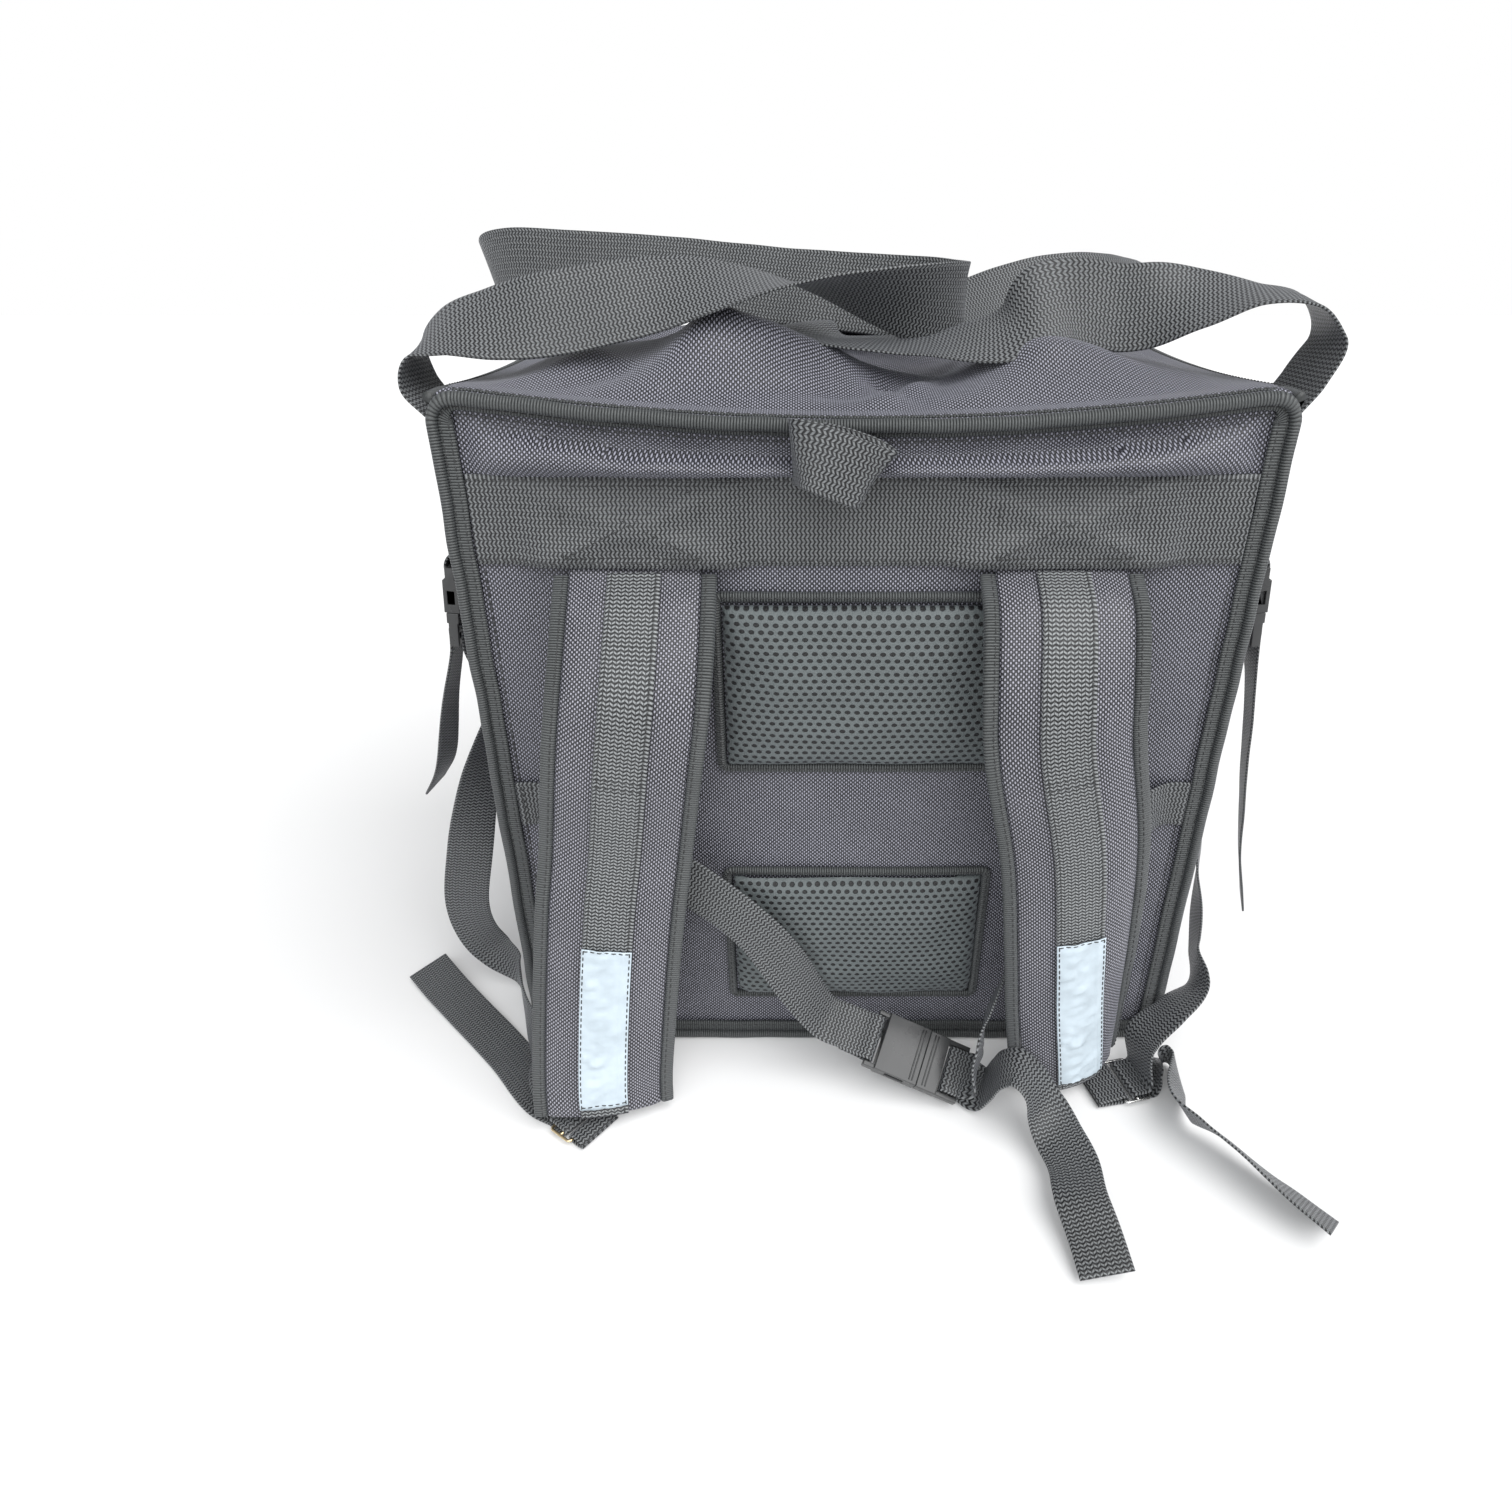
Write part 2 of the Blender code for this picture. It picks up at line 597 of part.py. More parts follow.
def ribbon(collection, name, rows, width, thickness, finish, ground=floor_height):
    """Flat webbing along the rows, lifted where it would go under the ground."""
    rings = []
    for centre, across, normal in frames(rows):
        half, thin = across * width / 2, normal * thickness / 2
        corners = [half + thin, half - thin, -half - thin, -half + thin]
        places = [centre + corner for corner in (*corners, 0.5 * half, -0.5 * half)]
        lift = max(0.0, *(ground(x, y) - z for x, y, z in places))
        raised = centre + np.array((0.0, 0.0, lift))
        rings.append([raised + corner for corner in corners])
    return loft(collection, name, rings, finish)


def placed(routes):
    """Route rows in shares of the body's size as rows in metres."""
    return [
        (x * BODY_WIDTH / 2, y * BODY_DEPTH / 2, z * BODY_HEIGHT, *across)
        for x, y, z, across in routes
    ]


def panel_outline(inset, bottom):
    """Points round a panel, from the middle of its foot, this far inside its edge."""
    half = BODY_WIDTH / 2 - inset
    radius = max(BASE_CORNER - inset, 0.002)
    points = [(0.0, bottom), (half / 2, bottom)]
    for step in range(5):
        turn = math.pi / 2 * step / 4
        across = half - radius + radius * math.sin(turn)
        points.append((across, bottom + radius - radius * math.cos(turn)))
    points += [(half, BODY_HEIGHT * share) for share in (0.28, 0.54, 0.8)]
    top = rim_height(half, BODY_DEPTH / 2) - inset
    for step in range(4):
        turn = math.pi / 2 * step / 3
        across = half - RIM_CORNER + RIM_CORNER * math.cos(turn)
        points.append((across, top - RIM_CORNER + RIM_CORNER * math.sin(turn)))
    rim = [half * share for share in (0.8, 0.55, 0.28)]
    points += [(x, rim_height(x, BODY_DEPTH / 2) - inset) for x in rim]
    crown = [(0.0, rim_height(0, BODY_DEPTH / 2) - inset)]
    return points + crown + [(-x, z) for x, z in reversed(points[1:])]


def make_panel_binding(collection, name, facing, finish):
    """The bound seam round one panel, lying on the border of its face."""
    inset = BINDING_WIDTH / 2 - BINDING_PROUD
    bottom = BINDING_WIDTH / 2 + FLOOR_GAP
    path = np.array(panel_outline(inset, bottom))
    along = np.roll(path, -1, axis=0) - np.roll(path, 1, axis=0)
    along /= np.linalg.norm(along, axis=1)[:, None]
    out = np.stack([along[:, 1], -along[:, 0]], 1)
    away = BODY_DEPTH / 2 + SEAM_GAP + BINDING_THICKNESS / 2
    rings = []
    for (x, z), (out_x, out_z) in zip(path, out):
        ring = []
        for k in range(BINDING_SIDES):
            turn = 2 * math.pi * (k + 0.5) / BINDING_SIDES
            wide = BINDING_WIDTH / 2 * math.cos(turn)
            deep = away + BINDING_THICKNESS / 2 * math.sin(turn)
            ring.append((x + out_x * wide, facing * deep, z + out_z * wide))
        rings.append(ring)
    return loft(collection, name, rings, finish, closed=True)


def make_rim_binding(collection, side, finish):
    """The bound upper edge of one side wall, between the two panel bindings."""
    end = BODY_DEPTH / 2 - SEAM_GAP
    away = BODY_WIDTH / 2 + SEAM_GAP + BINDING_THICKNESS / 2
    rings = []
    for y in [-end, *even_cuts(end, 8), end]:
        middle = rim_height(BODY_WIDTH / 2, y) + BINDING_PROUD - BINDING_WIDTH / 2
        ring = []
        for k in range(BINDING_SIDES):
            turn = 2 * math.pi * (k + 0.5) / BINDING_SIDES
            deep = away + BINDING_THICKNESS / 2 * math.cos(turn)
            tall = middle + BINDING_WIDTH / 2 * math.sin(turn)
            ring.append((SIDES[side] * deep, y, tall))
        rings.append(ring)
    return loft(collection, f"rim_binding_{side}", rings, finish)


# The wearer's panel


def strap_x(side):
    """Where the middle of a shoulder strap leaves the band."""
    return LEFT_STRAP_X if side == "left" else RIGHT_STRAP_X


def strap_lift(x):
    """Share of the band's lift over the tucked end of a shoulder strap."""
    ramp = 0.022
    share = 0.0
    for side in SIDES:
        beyond = abs(x - strap_x(side)) - (STRAP_WIDTH / 2 + 0.002)
        step = min(1.0, max(0.0, 1 - beyond / ramp))
        share = max(share, step * step * (3 - 2 * step))
    return share


def tuck_room(z):
    """Depth of the room under the band at this height, over a tucked strap."""
    full = STRAP_TUCK_THICKNESS + 4 * SEAM_GAP
    return full * (BAND_TOP - z) / BAND_WIDTH


def make_band(collection, finish):
    """The wide webbing across the panel, raised where the shoulder straps go under it."""
    end = BODY_WIDTH / 2 - (BINDING_WIDTH - BINDING_PROUD) - SEAM_GAP
    rings = []
    for x in [-end, *even_cuts(end, 34), end]:
        ring = []
        for z, deep in ((BAND_LOW, 0), (BAND_TOP, 0), (BAND_TOP, 1), (BAND_LOW, 1)):
            room = SEAM_GAP + strap_lift(x) * tuck_room(z)
            ring.append((x, back_y(x, z) - room - deep * BAND_THICKNESS, z))
        rings.append(ring)
    return loft(collection, "back_band", rings, finish)


def make_hanging_loop(collection, finish):
    """The short webbing loop that droops over the band from its upper edge."""
    middle = BAND_TOP + LOOP_ROUTE[0][2] * LOOP_WIDTH
    levels = [middle + LOOP_WIDTH * share for share in LOOP_EDGE_SHARES]
    sewn = [
        back_y(LOOP_ROUTE[0][0] * LOOP_WIDTH, z)
        - (BAND_THICKNESS + SEAM_GAP if z <= BAND_TOP + SEAM_GAP else 0.0)
        for z in levels
    ]
    seat = min(*sewn, -BODY_DEPTH / 2 - LOOP_CLEAR) - STITCH_GAP - WEBBING_THICKNESS / 2
    shift = -BODY_DEPTH / 2 - LOOP_ROUTE[0][1] * LOOP_WIDTH - seat
    rows = [
        (
            x * LOOP_WIDTH,
            -BODY_DEPTH / 2 - y * LOOP_WIDTH - shift,
            BAND_TOP + z * LOOP_WIDTH,
            *across,
        )
        for x, y, z, across in LOOP_ROUTE
    ]
    return ribbon(
        collection, "hanging_loop", rows, LOOP_WIDTH, WEBBING_THICKNESS, finish
    )


def make_pad(collection, name, middle, finish, edge):
    """A crowned mesh pad, and the bound border that it is sewn down with."""
    half_x, half_z = PAD_WIDTH / 2 - PAD_BINDING, PAD_HEIGHT / 2 - PAD_BINDING
    built = bmesh.new()
    bmesh.ops.create_cube(built, size=1.0)
    bmesh.ops.scale(built, vec=(2 * half_x, 1, 2 * half_z), verts=built.verts)
    sliced(built, 0, [half_x * share for share in (-0.9, -0.6, 0, 0.6, 0.9)])
    sliced(built, 2, [half_z * share for share in (-0.86, -0.5, 0, 0.5, 0.86)])
    for vertex in built.verts:
        x, deep, z = vertex.co
        place = x + PAD_X
        crown = (1 - (x / half_x) ** 6) * (1 - (z / half_z) ** 6)
        thick = 0.003 + (PAD_THICKNESS - 0.003) * crown
        height = z + middle
        base = back_y(place, height) - SEAM_GAP
        vertex.co = (place, base - (thick if deep < 0 else 0), height)
    pad = put_in(collection, name, mesh_from(built, name), finish)

    path = []
    corner = PAD_BINDING / 2
    outer_x, outer_z = half_x + PAD_BINDING / 2, half_z + PAD_BINDING / 2
    for quarter in range(4):
        sign_x = 1 if quarter in (0, 3) else -1
        sign_z = 1 if quarter < 2 else -1
        for step in range(3):
            turn = math.pi / 2 * (quarter + step / 2)
            x = sign_x * (outer_x - corner) + corner * math.cos(turn)
            z = sign_z * (outer_z - corner) + corner * math.sin(turn)
            path.append((x, z))
        along_x = quarter in (0, 2)
        for share in (0.5, 0.0, -0.5):
            if along_x:
                path.append((sign_x * share * outer_x, sign_z * outer_z))
            else:
                path.append((sign_x * outer_x, sign_z * share * outer_z))
    path = np.array(path) + (PAD_X, 0)
    along = np.roll(path, -1, axis=0) - np.roll(path, 1, axis=0)
    along /= np.linalg.norm(along, axis=1)[:, None]
    out = np.stack([along[:, 1], -along[:, 0]], 1)
    wide = PAD_BINDING / 2 - SEAM_GAP
    rings = []
    for (x, z), (out_x, out_z) in zip(path, out):
        ring = []
        for across, deep in ((-1, 0), (1, 0), (1, 0.0035), (-1, 0.0045)):
            place_x, place_z = x + across * wide * out_x, z + across * wide * out_z
            height = place_z + middle
            ring.append((place_x, back_y(place_x, height) - SEAM_GAP - deep, height))
        rings.append(ring)
    loft(collection, f"{name}_binding", rings, edge, closed=True)
    return pad


# Shoulder straps


class StrapPath:
    """The smooth middle line of one shoulder strap, with rows that all its layers share."""

    def __init__(self, side):
        self.middle = strap_x(side)
        self.sign = SIDES[side]
        rows = [
            self.tucked(STRAP_TUCK, STRAP_TUCK_THICKNESS * 0.6),
            self.tucked(STRAP_TUCK / 2, STRAP_TUCK_THICKNESS * 0.8),
            self.tucked(-0.001, STRAP_TUCK_THICKNESS),
        ]
        for drop, forward, along, yaw, curl in STRAPS[side]:
            x = self.middle + self.sign * along * STRAP_SPLAY
            y = -BODY_DEPTH / 2 - forward * STRAP_REACH
            turn = math.radians(yaw)
            thick = STRAP_THICKNESS * min(1.0, 0.72 + 4 * drop)
            across = (math.cos(turn), math.sin(turn), 0.0)
            rows.append((x, y, BAND_LOW * (1 - drop), *across, thick, math.radians(curl)))
        dense = smooth(np.array(rows, float))
        legs = np.linalg.norm(np.diff(dense[:, :3], axis=0), axis=1)
        length = np.concatenate([[0], np.cumsum(legs)])
        whole = length[-1]
        tape_top = whole - TAPE_END - TAPE_LENGTH
        self.marks = [0, STRAP_TUCK - 0.002, STRAP_TUCK + 0.006, tape_top, whole - TAPE_END, whole]
        at = [0.0]
        for low, high in zip(self.marks, self.marks[1:]):
            count = math.ceil((high - low) / STEP - 0.2)
            at += [low + (high - low) * (k + 1) / count for k in range(count)]
        self.at = np.array(at)
        made = [np.interp(at, length, dense[:, k]) for k in range(dense.shape[1])]
        self.rows = np.stack(made, 1)

    def tucked(self, above, thick):
        """A row on the panel, this far above the band's lower edge."""
        z = BAND_LOW + above
        y = back_y(self.middle, z) - SEAM_GAP - thick / 2
        return (self.middle, y, z, 1.0, 0.0, 0.0, thick, 0.0)

    def frames(self, first=0, last=5):
        """(centre, across, normal, thickness, curl) at the rows between two of the marks."""
        headings = headings_of(self.rows[:, :3])
        low, high = self.marks[first] - 1e-6, self.marks[last] + 1e-6
        found = []
        for at, row, heading in zip(self.at, self.rows, headings):
            if low <= at <= high:
                across = square_to(heading, row[3:6])
                normal = np.cross(heading, across)
                found.append((row[:3], across, normal, row[6], row[7]))
        return found

    def point(self, frame, along, rise):
        """A point this far across the strap and this far above its inner face."""
        centre, across, normal, thick, curl = frame
        half = STRAP_WIDTH / 2
        turn = curl * along / half
        wide, back = along, 0.0
        if curl > 1e-3:
            wide = half / curl * math.sin(turn)
            back = half / curl * (1 - math.cos(turn))
        out = normal * math.cos(turn) + across * math.sin(turn)
        place = centre + across * wide - normal * back + out * (rise - thick / 2)
        nearest = back_y(place[0], place[2]) - SEAM_GAP - rise
        return (place[0], min(place[1], nearest), place[2])


def strap_layer(collection, name, path, rows, section, finish):
    """A layer of a shoulder strap. The section gives (across, rise) for a strap thickness."""
    rings = []
    for frame in rows:
        ring = [path.point(frame, along, rise) for along, rise in section(frame[3])]
        rings.append(ring)
    return loft(collection, name, rings, finish)


def slab_section(half, bottom, top):
    """A flat section across the middle of the strap, between two heights over its face."""

    def section(thick):
        floor, roof = thick + bottom, thick + top
        return ((-half, floor), (0, floor), (half, floor), (half, roof), (0, roof), (-half, roof))

    return section


def padding_section(thick):
    """The padded middle of the strap, with a flat bed for its webbing."""
    half = STRAP_WIDTH / 2 - STRAP_EDGE
    bed = FACE_WEBBING / 2
    outline = ((half, 0.25 * thick), (half, 0.72 * thick), (0.80 * half, 0.94 * thick))
    outline += ((bed, thick), (0.0, thick))
    other = [(-along, rise) for along, rise in reversed(outline[:-1])]
    return [*outline, *other, (-half * 0.85, 0.0), (half * 0.85, 0.0)]


def edge_section(sign):
    """The bound edge on one side of the strap."""
    low, high = STRAP_WIDTH / 2 - STRAP_EDGE + SEAM_GAP, STRAP_WIDTH / 2
    inner = high - STRAP_EDGE / 3
    outline = ((low, 0.14), (low, 0.84), (inner, 0.84), (high, 0.62), (high, 0.30), (inner, 0.14))

    def section(thick):
        return [(sign * along, thick * share) for along, share in outline]

    return section


def make_shoulder_strap(collection, side, finishes):
    """The padded strap, its two bound edges, its webbing and its reflective tape."""
    path = StrapPath(side)
    shown = path.frames(first=2)
    name = f"strap_{side}"
    cloth = finishes["cloth"]
    strap_layer(collection, f"{name}_pad", path, path.frames(), padding_section, cloth)
    for word, sign in (("inner", -path.sign), ("outer", path.sign)):
        part = f"{name}_{word}_binding"
        strap_layer(collection, part, path, shown, edge_section(sign), finishes["binding"])
    roof = STITCH_GAP + WEBBING_THICKNESS
    webbing = slab_section(FACE_WEBBING / 2, STITCH_GAP, roof)
    strap_layer(collection, f"{name}_webbing", path, shown, webbing, finishes["webbing"])
    floor = roof + STITCH_GAP
    tape = slab_section(FACE_WEBBING / 2, floor, floor + TAPE_THICKNESS)
    taped = path.frames(first=3, last=4)
    strap_layer(collection, f"{name}_reflector", path, taped, tape, finishes["reflector"])
    return path


# Buckles and sliders are built in a frame of their own


class Place:
    """A frame: its middle, the heading of the webbing, its width direction, and outwards."""

    def __init__(self, centre, heading, across, outwards):
        self.centre = np.array(centre, float)
        self.heading = np.array(heading, float) / np.linalg.norm(heading)
        self.across = square_to(self.heading, np.array(across, float))
        self.up = np.cross(self.heading, self.across)
        if self.up @ np.array(outwards, float) < 0:
            self.across, self.up = -self.across, -self.up

    def row(self, along, up):
        """A webbing row at a place along the heading and above the middle."""
        return (*(self.centre + self.heading * along + self.up * up), *self.across)

    def round_bar(self, bar, angles, half_along, half_up):
        """Webbing rows round a bar, at these angles from the heading towards up."""
        lift = SEAM_GAP + WEBBING_THICKNESS / 2
        reach, rise = half_along * 1.55 + lift, half_up * 1.55 + lift
        rows = []
        for angle in angles:
            turn = math.radians(angle)
            rows.append(self.row(bar + reach * math.cos(turn), rise * math.sin(turn)))
        return rows

    def matrix(self):
        """From the frame's own directions to the world's."""
        turned = Matrix(np.stack([self.heading, self.across, self.up], 1).tolist()).to_4x4()
        turned.translation = Vector(self.centre)
        return turned


def joined_boxes(collection, name, place, boxes, cuts, finish):
    """One solid of boxes, each (centre, size) in the frame of the place, less the cuts."""
    helpers = []
    for centre, size in (*boxes, *cuts):
        built = bmesh.new()
        bmesh.ops.create_cube(built, size=1.0)
        bmesh.ops.scale(built, vec=size, verts=built.verts)
        bmesh.ops.translate(built, vec=centre, verts=built.verts)
        helpers.append(put_in(collection, name, mesh_from(built, name), finish))
    base = helpers[0]
    for k, helper in enumerate(helpers[1:], 1):
        joint = base.modifiers.new(helper.name, "BOOLEAN")
        joint.operation = "UNION" if k < len(boxes) else "DIFFERENCE"
        joint.solver = "EXACT"
        joint.object = helper
    bpy.context.view_layer.update()
    graph = bpy.context.evaluated_depsgraph_get()
    mesh = bpy.data.meshes.new_from_object(base.evaluated_get(graph))
    mesh.transform(place.matrix())
    for helper in helpers:
        bpy.data.objects.remove(helper)
    node = bpy.data.objects.new(name, mesh)
    collection.objects.link(node)
    return node


# Adjusters: slider, its loop on the strap's foot, and the webbing through it


def slider_place(side, path):
    """The frame of the slider at the strap's foot, lying on the floor, heading outwards."""
    out, front, bearing, _ = SLIDER_PLACES[side]
    foot = path.rows[-1]
    sign = path.sign
    turn = math.radians(bearing)
    heading = (sign * math.cos(turn), -math.sin(turn), 0.0)
    half_bar = SLIDER_BAR / 2
    lift = FLOOR_GAP + WEBBING_THICKNESS + SEAM_GAP + half_bar * 1.55
    centre = (foot[0] + sign * out, foot[1] - front, lift)
    return Place(centre, heading, np.cross(heading, (0, 0, 1)), (0, 0, 1))


def make_slider(collection, side, place, finish):
    """A wire slider with three bars across the webbing."""
    half = SLIDER_LENGTH / 2
    inside = WEBBING_WIDTH + 2 * 0.0012
    outer = inside + 2 * SLIDER_BAR
    bar = (SLIDER_BAR, outer, SLIDER_BAR)
    boxes = [((at, 0, 0), bar) for at in (-half, 0.0, half)]
    rail = (SLIDER_LENGTH, SLIDER_BAR, SLIDER_BAR)
    for sign in (-1, 1):
        boxes.append(((0, sign * (outer - SLIDER_BAR) / 2, 0), rail))
    return joined_boxes(collection, f"slider_{side}", place, boxes, (), finish)


def make_adjuster(collection, side, path, finishes):
    """The slider, the loop that holds it, and the adjuster webbing from the wall to its end."""
    place = slider_place(side, path)
    make_slider(collection, side, place, finishes["metal"])
    half, bar = SLIDER_LENGTH / 2, SLIDER_BAR / 2
    rise = bar * 1.55 + SEAM_GAP + WEBBING_THICKNESS / 2
    reach = SLIDER_PLACES[side][3]
    finish = finishes["webbing"]
    size = (WEBBING_WIDTH, WEBBING_THICKNESS, finish)

    flat = WEBBING_THICKNESS / 2 + SEAM_GAP
    loop = [place.row(-half - reach, flat), place.row(-half - 0.007, rise * 0.8)]
    loop += place.round_bar(-half, (90, 45, 0, -45, -90), bar, bar)
    loop += [place.row(-half - 0.007, -rise * 0.8), place.row(-half - reach, -flat)]
    ribbon(collection, f"strap_{side}_end_loop", loop, *size)

    high = BODY_HEIGHT * 0.66
    rows = [wall_row(side, ADJUSTER_Y, z) for z in (high, high - 0.03)]
    rows += placed(ADJUSTER_SLACK[side])
    out, up = SLACK_BEND[side]
    rows += [place.row(half + out, rise + up), place.row(half, rise + 0.0004)]
    rows += place.round_bar(0.0, (70, 110, 150, 210, 250, 290), bar, bar)
    rows += [place.row(half, -rise), place.row(half + 0.006, -rise)]
    rows += placed(ADJUSTER_TAIL[side])
    return ribbon(collection, f"adjuster_{side}", rows, *size)


def wall_row(side, y, z, width=WEBBING_WIDTH, over=0.0):
    """A row of webbing sewn flat on a side wall, or passing over what is sewn there."""
    bulge = max(wall_x(y + width * share, z) for share in (-0.5, 0.0, 0.5))
    x = bulge + over + WALL_GAP + WEBBING_THICKNESS / 2
    return (SIDES[side] * x, y, z, 0.0, 1.0, 0.0)


# Side-release buckles


def make_buckle(collection, name, place, sizes, finish):
    """A fastened buckle: a sleeve with side windows, and a plug whose arms lie in it.

    The socket lies behind the middle of the frame and the plug ahead of it.
    """
    webbing, socket, plug, thick = sizes
    wide = webbing + 2 * BUCKLE_MARGIN
    rail_y = wide / 2 - (BUCKLE_MARGIN - 0.0008) / 2
    rail_wide = BUCKLE_MARGIN - 0.0008
    bar_tall = thick * BAR_SHARE
    skin = BUCKLE_SKIN

    sleeve = socket - BUCKLE_SLOT - BUCKLE_BAR
    hollow = sleeve - 0.003
    boxes = [((-sleeve / 2, 0, 0), (sleeve, wide, thick))]
    boxes.append(((-socket + BUCKLE_BAR / 2, 0, 0), (BUCKLE_BAR, wide, bar_tall)))
    rail = (BUCKLE_SLOT + BUCKLE_BAR + 0.002, rail_wide, thick * 0.6)
    middle = -socket + rail[0] / 2
    boxes += [((middle, sign * rail_y, 0), rail) for sign in (-1, 1)]
    window = (hollow * 0.5, 2 * BUCKLE_MARGIN, thick * 0.5)
    cuts = [((-hollow / 2 + 0.001, 0, 0), (hollow + 0.002, wide - 2 * skin, thick - 2 * skin))]
    cuts += [((-hollow * 0.55, sign * wide / 2, 0), window) for sign in (-1, 1)]
    joined_boxes(collection, f"{name}_socket", place, boxes, cuts, finish)

    plate = plug - 2 * (BUCKLE_SLOT + BUCKLE_BAR)
    inner = thick - 2 * skin - 2 * SEAM_GAP
    arm_reach = hollow * 0.86
    arm_y = wide / 2 - skin - SEAM_GAP - 0.002
    boxes = [((SEAM_GAP + plate / 2, 0, 0), (plate, wide, thick * 0.8))]
    boxes += [((-arm_reach / 2 + 0.002, sign * arm_y, 0), (arm_reach + 0.004, 0.004, inner)) for sign in (-1, 1)]
    tongue = hollow * 0.6 + 0.004
    boxes.append(((0.002 - tongue / 2, 0, 0), (tongue, wide * 0.22, inner * 0.7)))
    rail = (plug - plate + 0.001, rail_wide, thick * 0.6)
    boxes += [((plug - rail[0] / 2, sign * rail_y, 0), rail) for sign in (-1, 1)]
    for at in (plug - BUCKLE_BAR / 2, plug_bar(plug)):
        boxes.append(((at, 0, 0), (BUCKLE_BAR, wide, bar_tall)))
    joined_boxes(collection, f"{name}_plug", place, boxes, (), finish)


def plug_bar(plug):
    """How far ahead of the middle the plug's inner bar lies."""
    return plug - BUCKLE_SLOT - BUCKLE_BAR * 1.5


def sewn_turn(place, sizes, overlap):
    """Rows of webbing turned round the socket's rear bar and back along itself."""
    _, socket, _, thick = sizes
    bar = -socket + BUCKLE_BAR / 2
    flat = WEBBING_THICKNESS / 2 + SEAM_GAP
    neck = min(0.009, overlap / 2)
    rows = [place.row(bar - overlap, flat)]
    if overlap > 2 * neck:
        rows.append(place.row(bar - overlap * 0.6, flat))
    rows.append(place.row(bar - neck, flat * 1.6))
    rows += place.round_bar(bar, (90, 40, 0, -40, -90), BUCKLE_BAR / 2, thick * BAR_SHARE / 2)
    end = max(overlap * 0.55, neck + 0.002)
    rows += [place.row(bar - neck, -flat * 1.6), place.row(bar - end, -flat)]
    return rows


def bar_rise(sizes):
    """How far above a bar the middle of the webbing passes."""
    return sizes[3] * BAR_SHARE / 2 * 1.55 + SEAM_GAP + WEBBING_THICKNESS / 2


def plug_turn(place, sizes, upward):
    """Rows of webbing past the plug's outer bar, round the inner one and out again.

    Upward is 1 where the webbing arrives over the outer bar and leaves under it, and -1 the
    other way round.
    """
    _, _, plug, thick = sizes
    rise = upward * bar_rise(sizes)
    rows = [place.row(plug - BUCKLE_BAR, rise)]
    angles = [upward * angle for angle in (110, 150, -150, -110)]
    rows += place.round_bar(plug_bar(plug), angles, BUCKLE_BAR / 2, thick * BAR_SHARE / 2)
    rows += [place.row(plug - BUCKLE_BAR, -rise), place.row(plug + 0.005, -rise * 1.1)]
    return rows


def make_waist_belt(collection, finishes):
    """The belt: sewn to both edges of the panel, and fastened by its buckle in front."""
    sizes = BUCKLES["waist"]
    centre = (0.0500, -BODY_DEPTH / 2 - 0.050, 0.0260)
    place = Place(centre, (0.900, -0.200, -0.330), (0.34, 0.80, 0.44), (0, -0.4, 1))
    make_buckle(collection, "waist_buckle", place, sizes, finishes["plastic"])

    def edge_rows(sign):
        """Rows of the belt's end, sewn flat on the border of the panel."""
        z = 0.452 * BODY_HEIGHT
        end = BODY_WIDTH / 2 - (BINDING_WIDTH - BINDING_PROUD) - SEAM_GAP
        rows = []
        for x in (end, end - 0.014):
            y = back_y(x, z) - WALL_GAP - WEBBING_THICKNESS / 2
            rows.append((sign * x, y, z, 0.0, 0.0, 1.0))
        return rows

    left = edge_rows(-1) + placed(BELT_LEFT) + sewn_turn(place, sizes, 0.036)
    right = edge_rows(1) + placed(BELT_RIGHT)
    rise = bar_rise(sizes)
    right += [place.row(sizes[2] + 0.0045, rise + 0.0080), place.row(sizes[2], rise + 0.0020)]
    right += plug_turn(place, sizes, 1) + placed(BELT_TAIL)
    size = (sizes[0], WEBBING_THICKNESS, finishes["webbing"])
    ribbon(collection, "waist_belt_left", left, *size)
    ribbon(collection, "waist_belt_right", right, *size)


def make_side_strap(collection, side, finishes):
    """The short strap down a side wall: upper part, buckle, and lower part with its tail."""
    sign = SIDES[side]
    sizes = BUCKLES["side"]
    thick = sizes[3]
    top = HANDLE_END_Z - 0.002
    z = top - 0.020 - sizes[1]
    out = wall_x(SIDE_STRAP_Y, z) + WALL_GAP + thick / 2 + SIDE_BUCKLE_OUT
    place = Place((sign * out, SIDE_STRAP_Y, z), (sign * 0.10, 0, -1), (0, 1, 0), (sign, 0, 0))
    name = f"side_{side}"
    make_buckle(collection, f"{name}_buckle", place, sizes, finishes["plastic"])
    size = (sizes[0], WEBBING_THICKNESS, finishes["webbing"])
    upper = [wall_row(side, SIDE_STRAP_Y, at) for at in (top, top - 0.006)]
    upper += sewn_turn(place, sizes, 0.012)[1:-1]
    ribbon(collection, f"{name}_strap_upper", upper, *size)
    lower = [wall_row(side, SIDE_STRAP_Y, BODY_HEIGHT * share) for share in (0.52, 0.57)]
    lower.append(place.row(sizes[2] + 0.004, -bar_rise(sizes) * 1.15))
    lower += plug_turn(place, sizes, -1) + placed(SIDE_TAIL[side])
    return ribbon(collection, f"{name}_strap_lower", lower, *size)


# Carrying handles


def lid_ground(x, y):
    """Height above which a handle stays: the lid's upper face, or the floor beside the bag."""
    if abs(x) > BODY_WIDTH / 2 or abs(y) > BODY_DEPTH / 2:
        return FLOOR_GAP
    return lid_bottom(x, y) + LID_THICKNESS + HANDLE_GAP


def make_handle(collection, side, finish):
    """A long carrying handle, sewn to one side wall at both ends and thrown over the lid."""
    over = BINDING_THICKNESS + SEAM_GAP
    ends = ((HANDLE_END_Z, 0), (BODY_HEIGHT * 0.89, 0), (BODY_HEIGHT * 0.965, over))
    width = HANDLE_WIDTH
    rows = [wall_row(side, -HANDLE_Y, z, width, out) for z, out in ends]
    rows += placed(HANDLE_ROUTES[side])
    rows += [wall_row(side, HANDLE_Y, z, width, out) for z, out in reversed(ends)]
    name = f"handle_{side}"
    return ribbon(collection, name, rows, width, WEBBING_THICKNESS, finish, lid_ground)


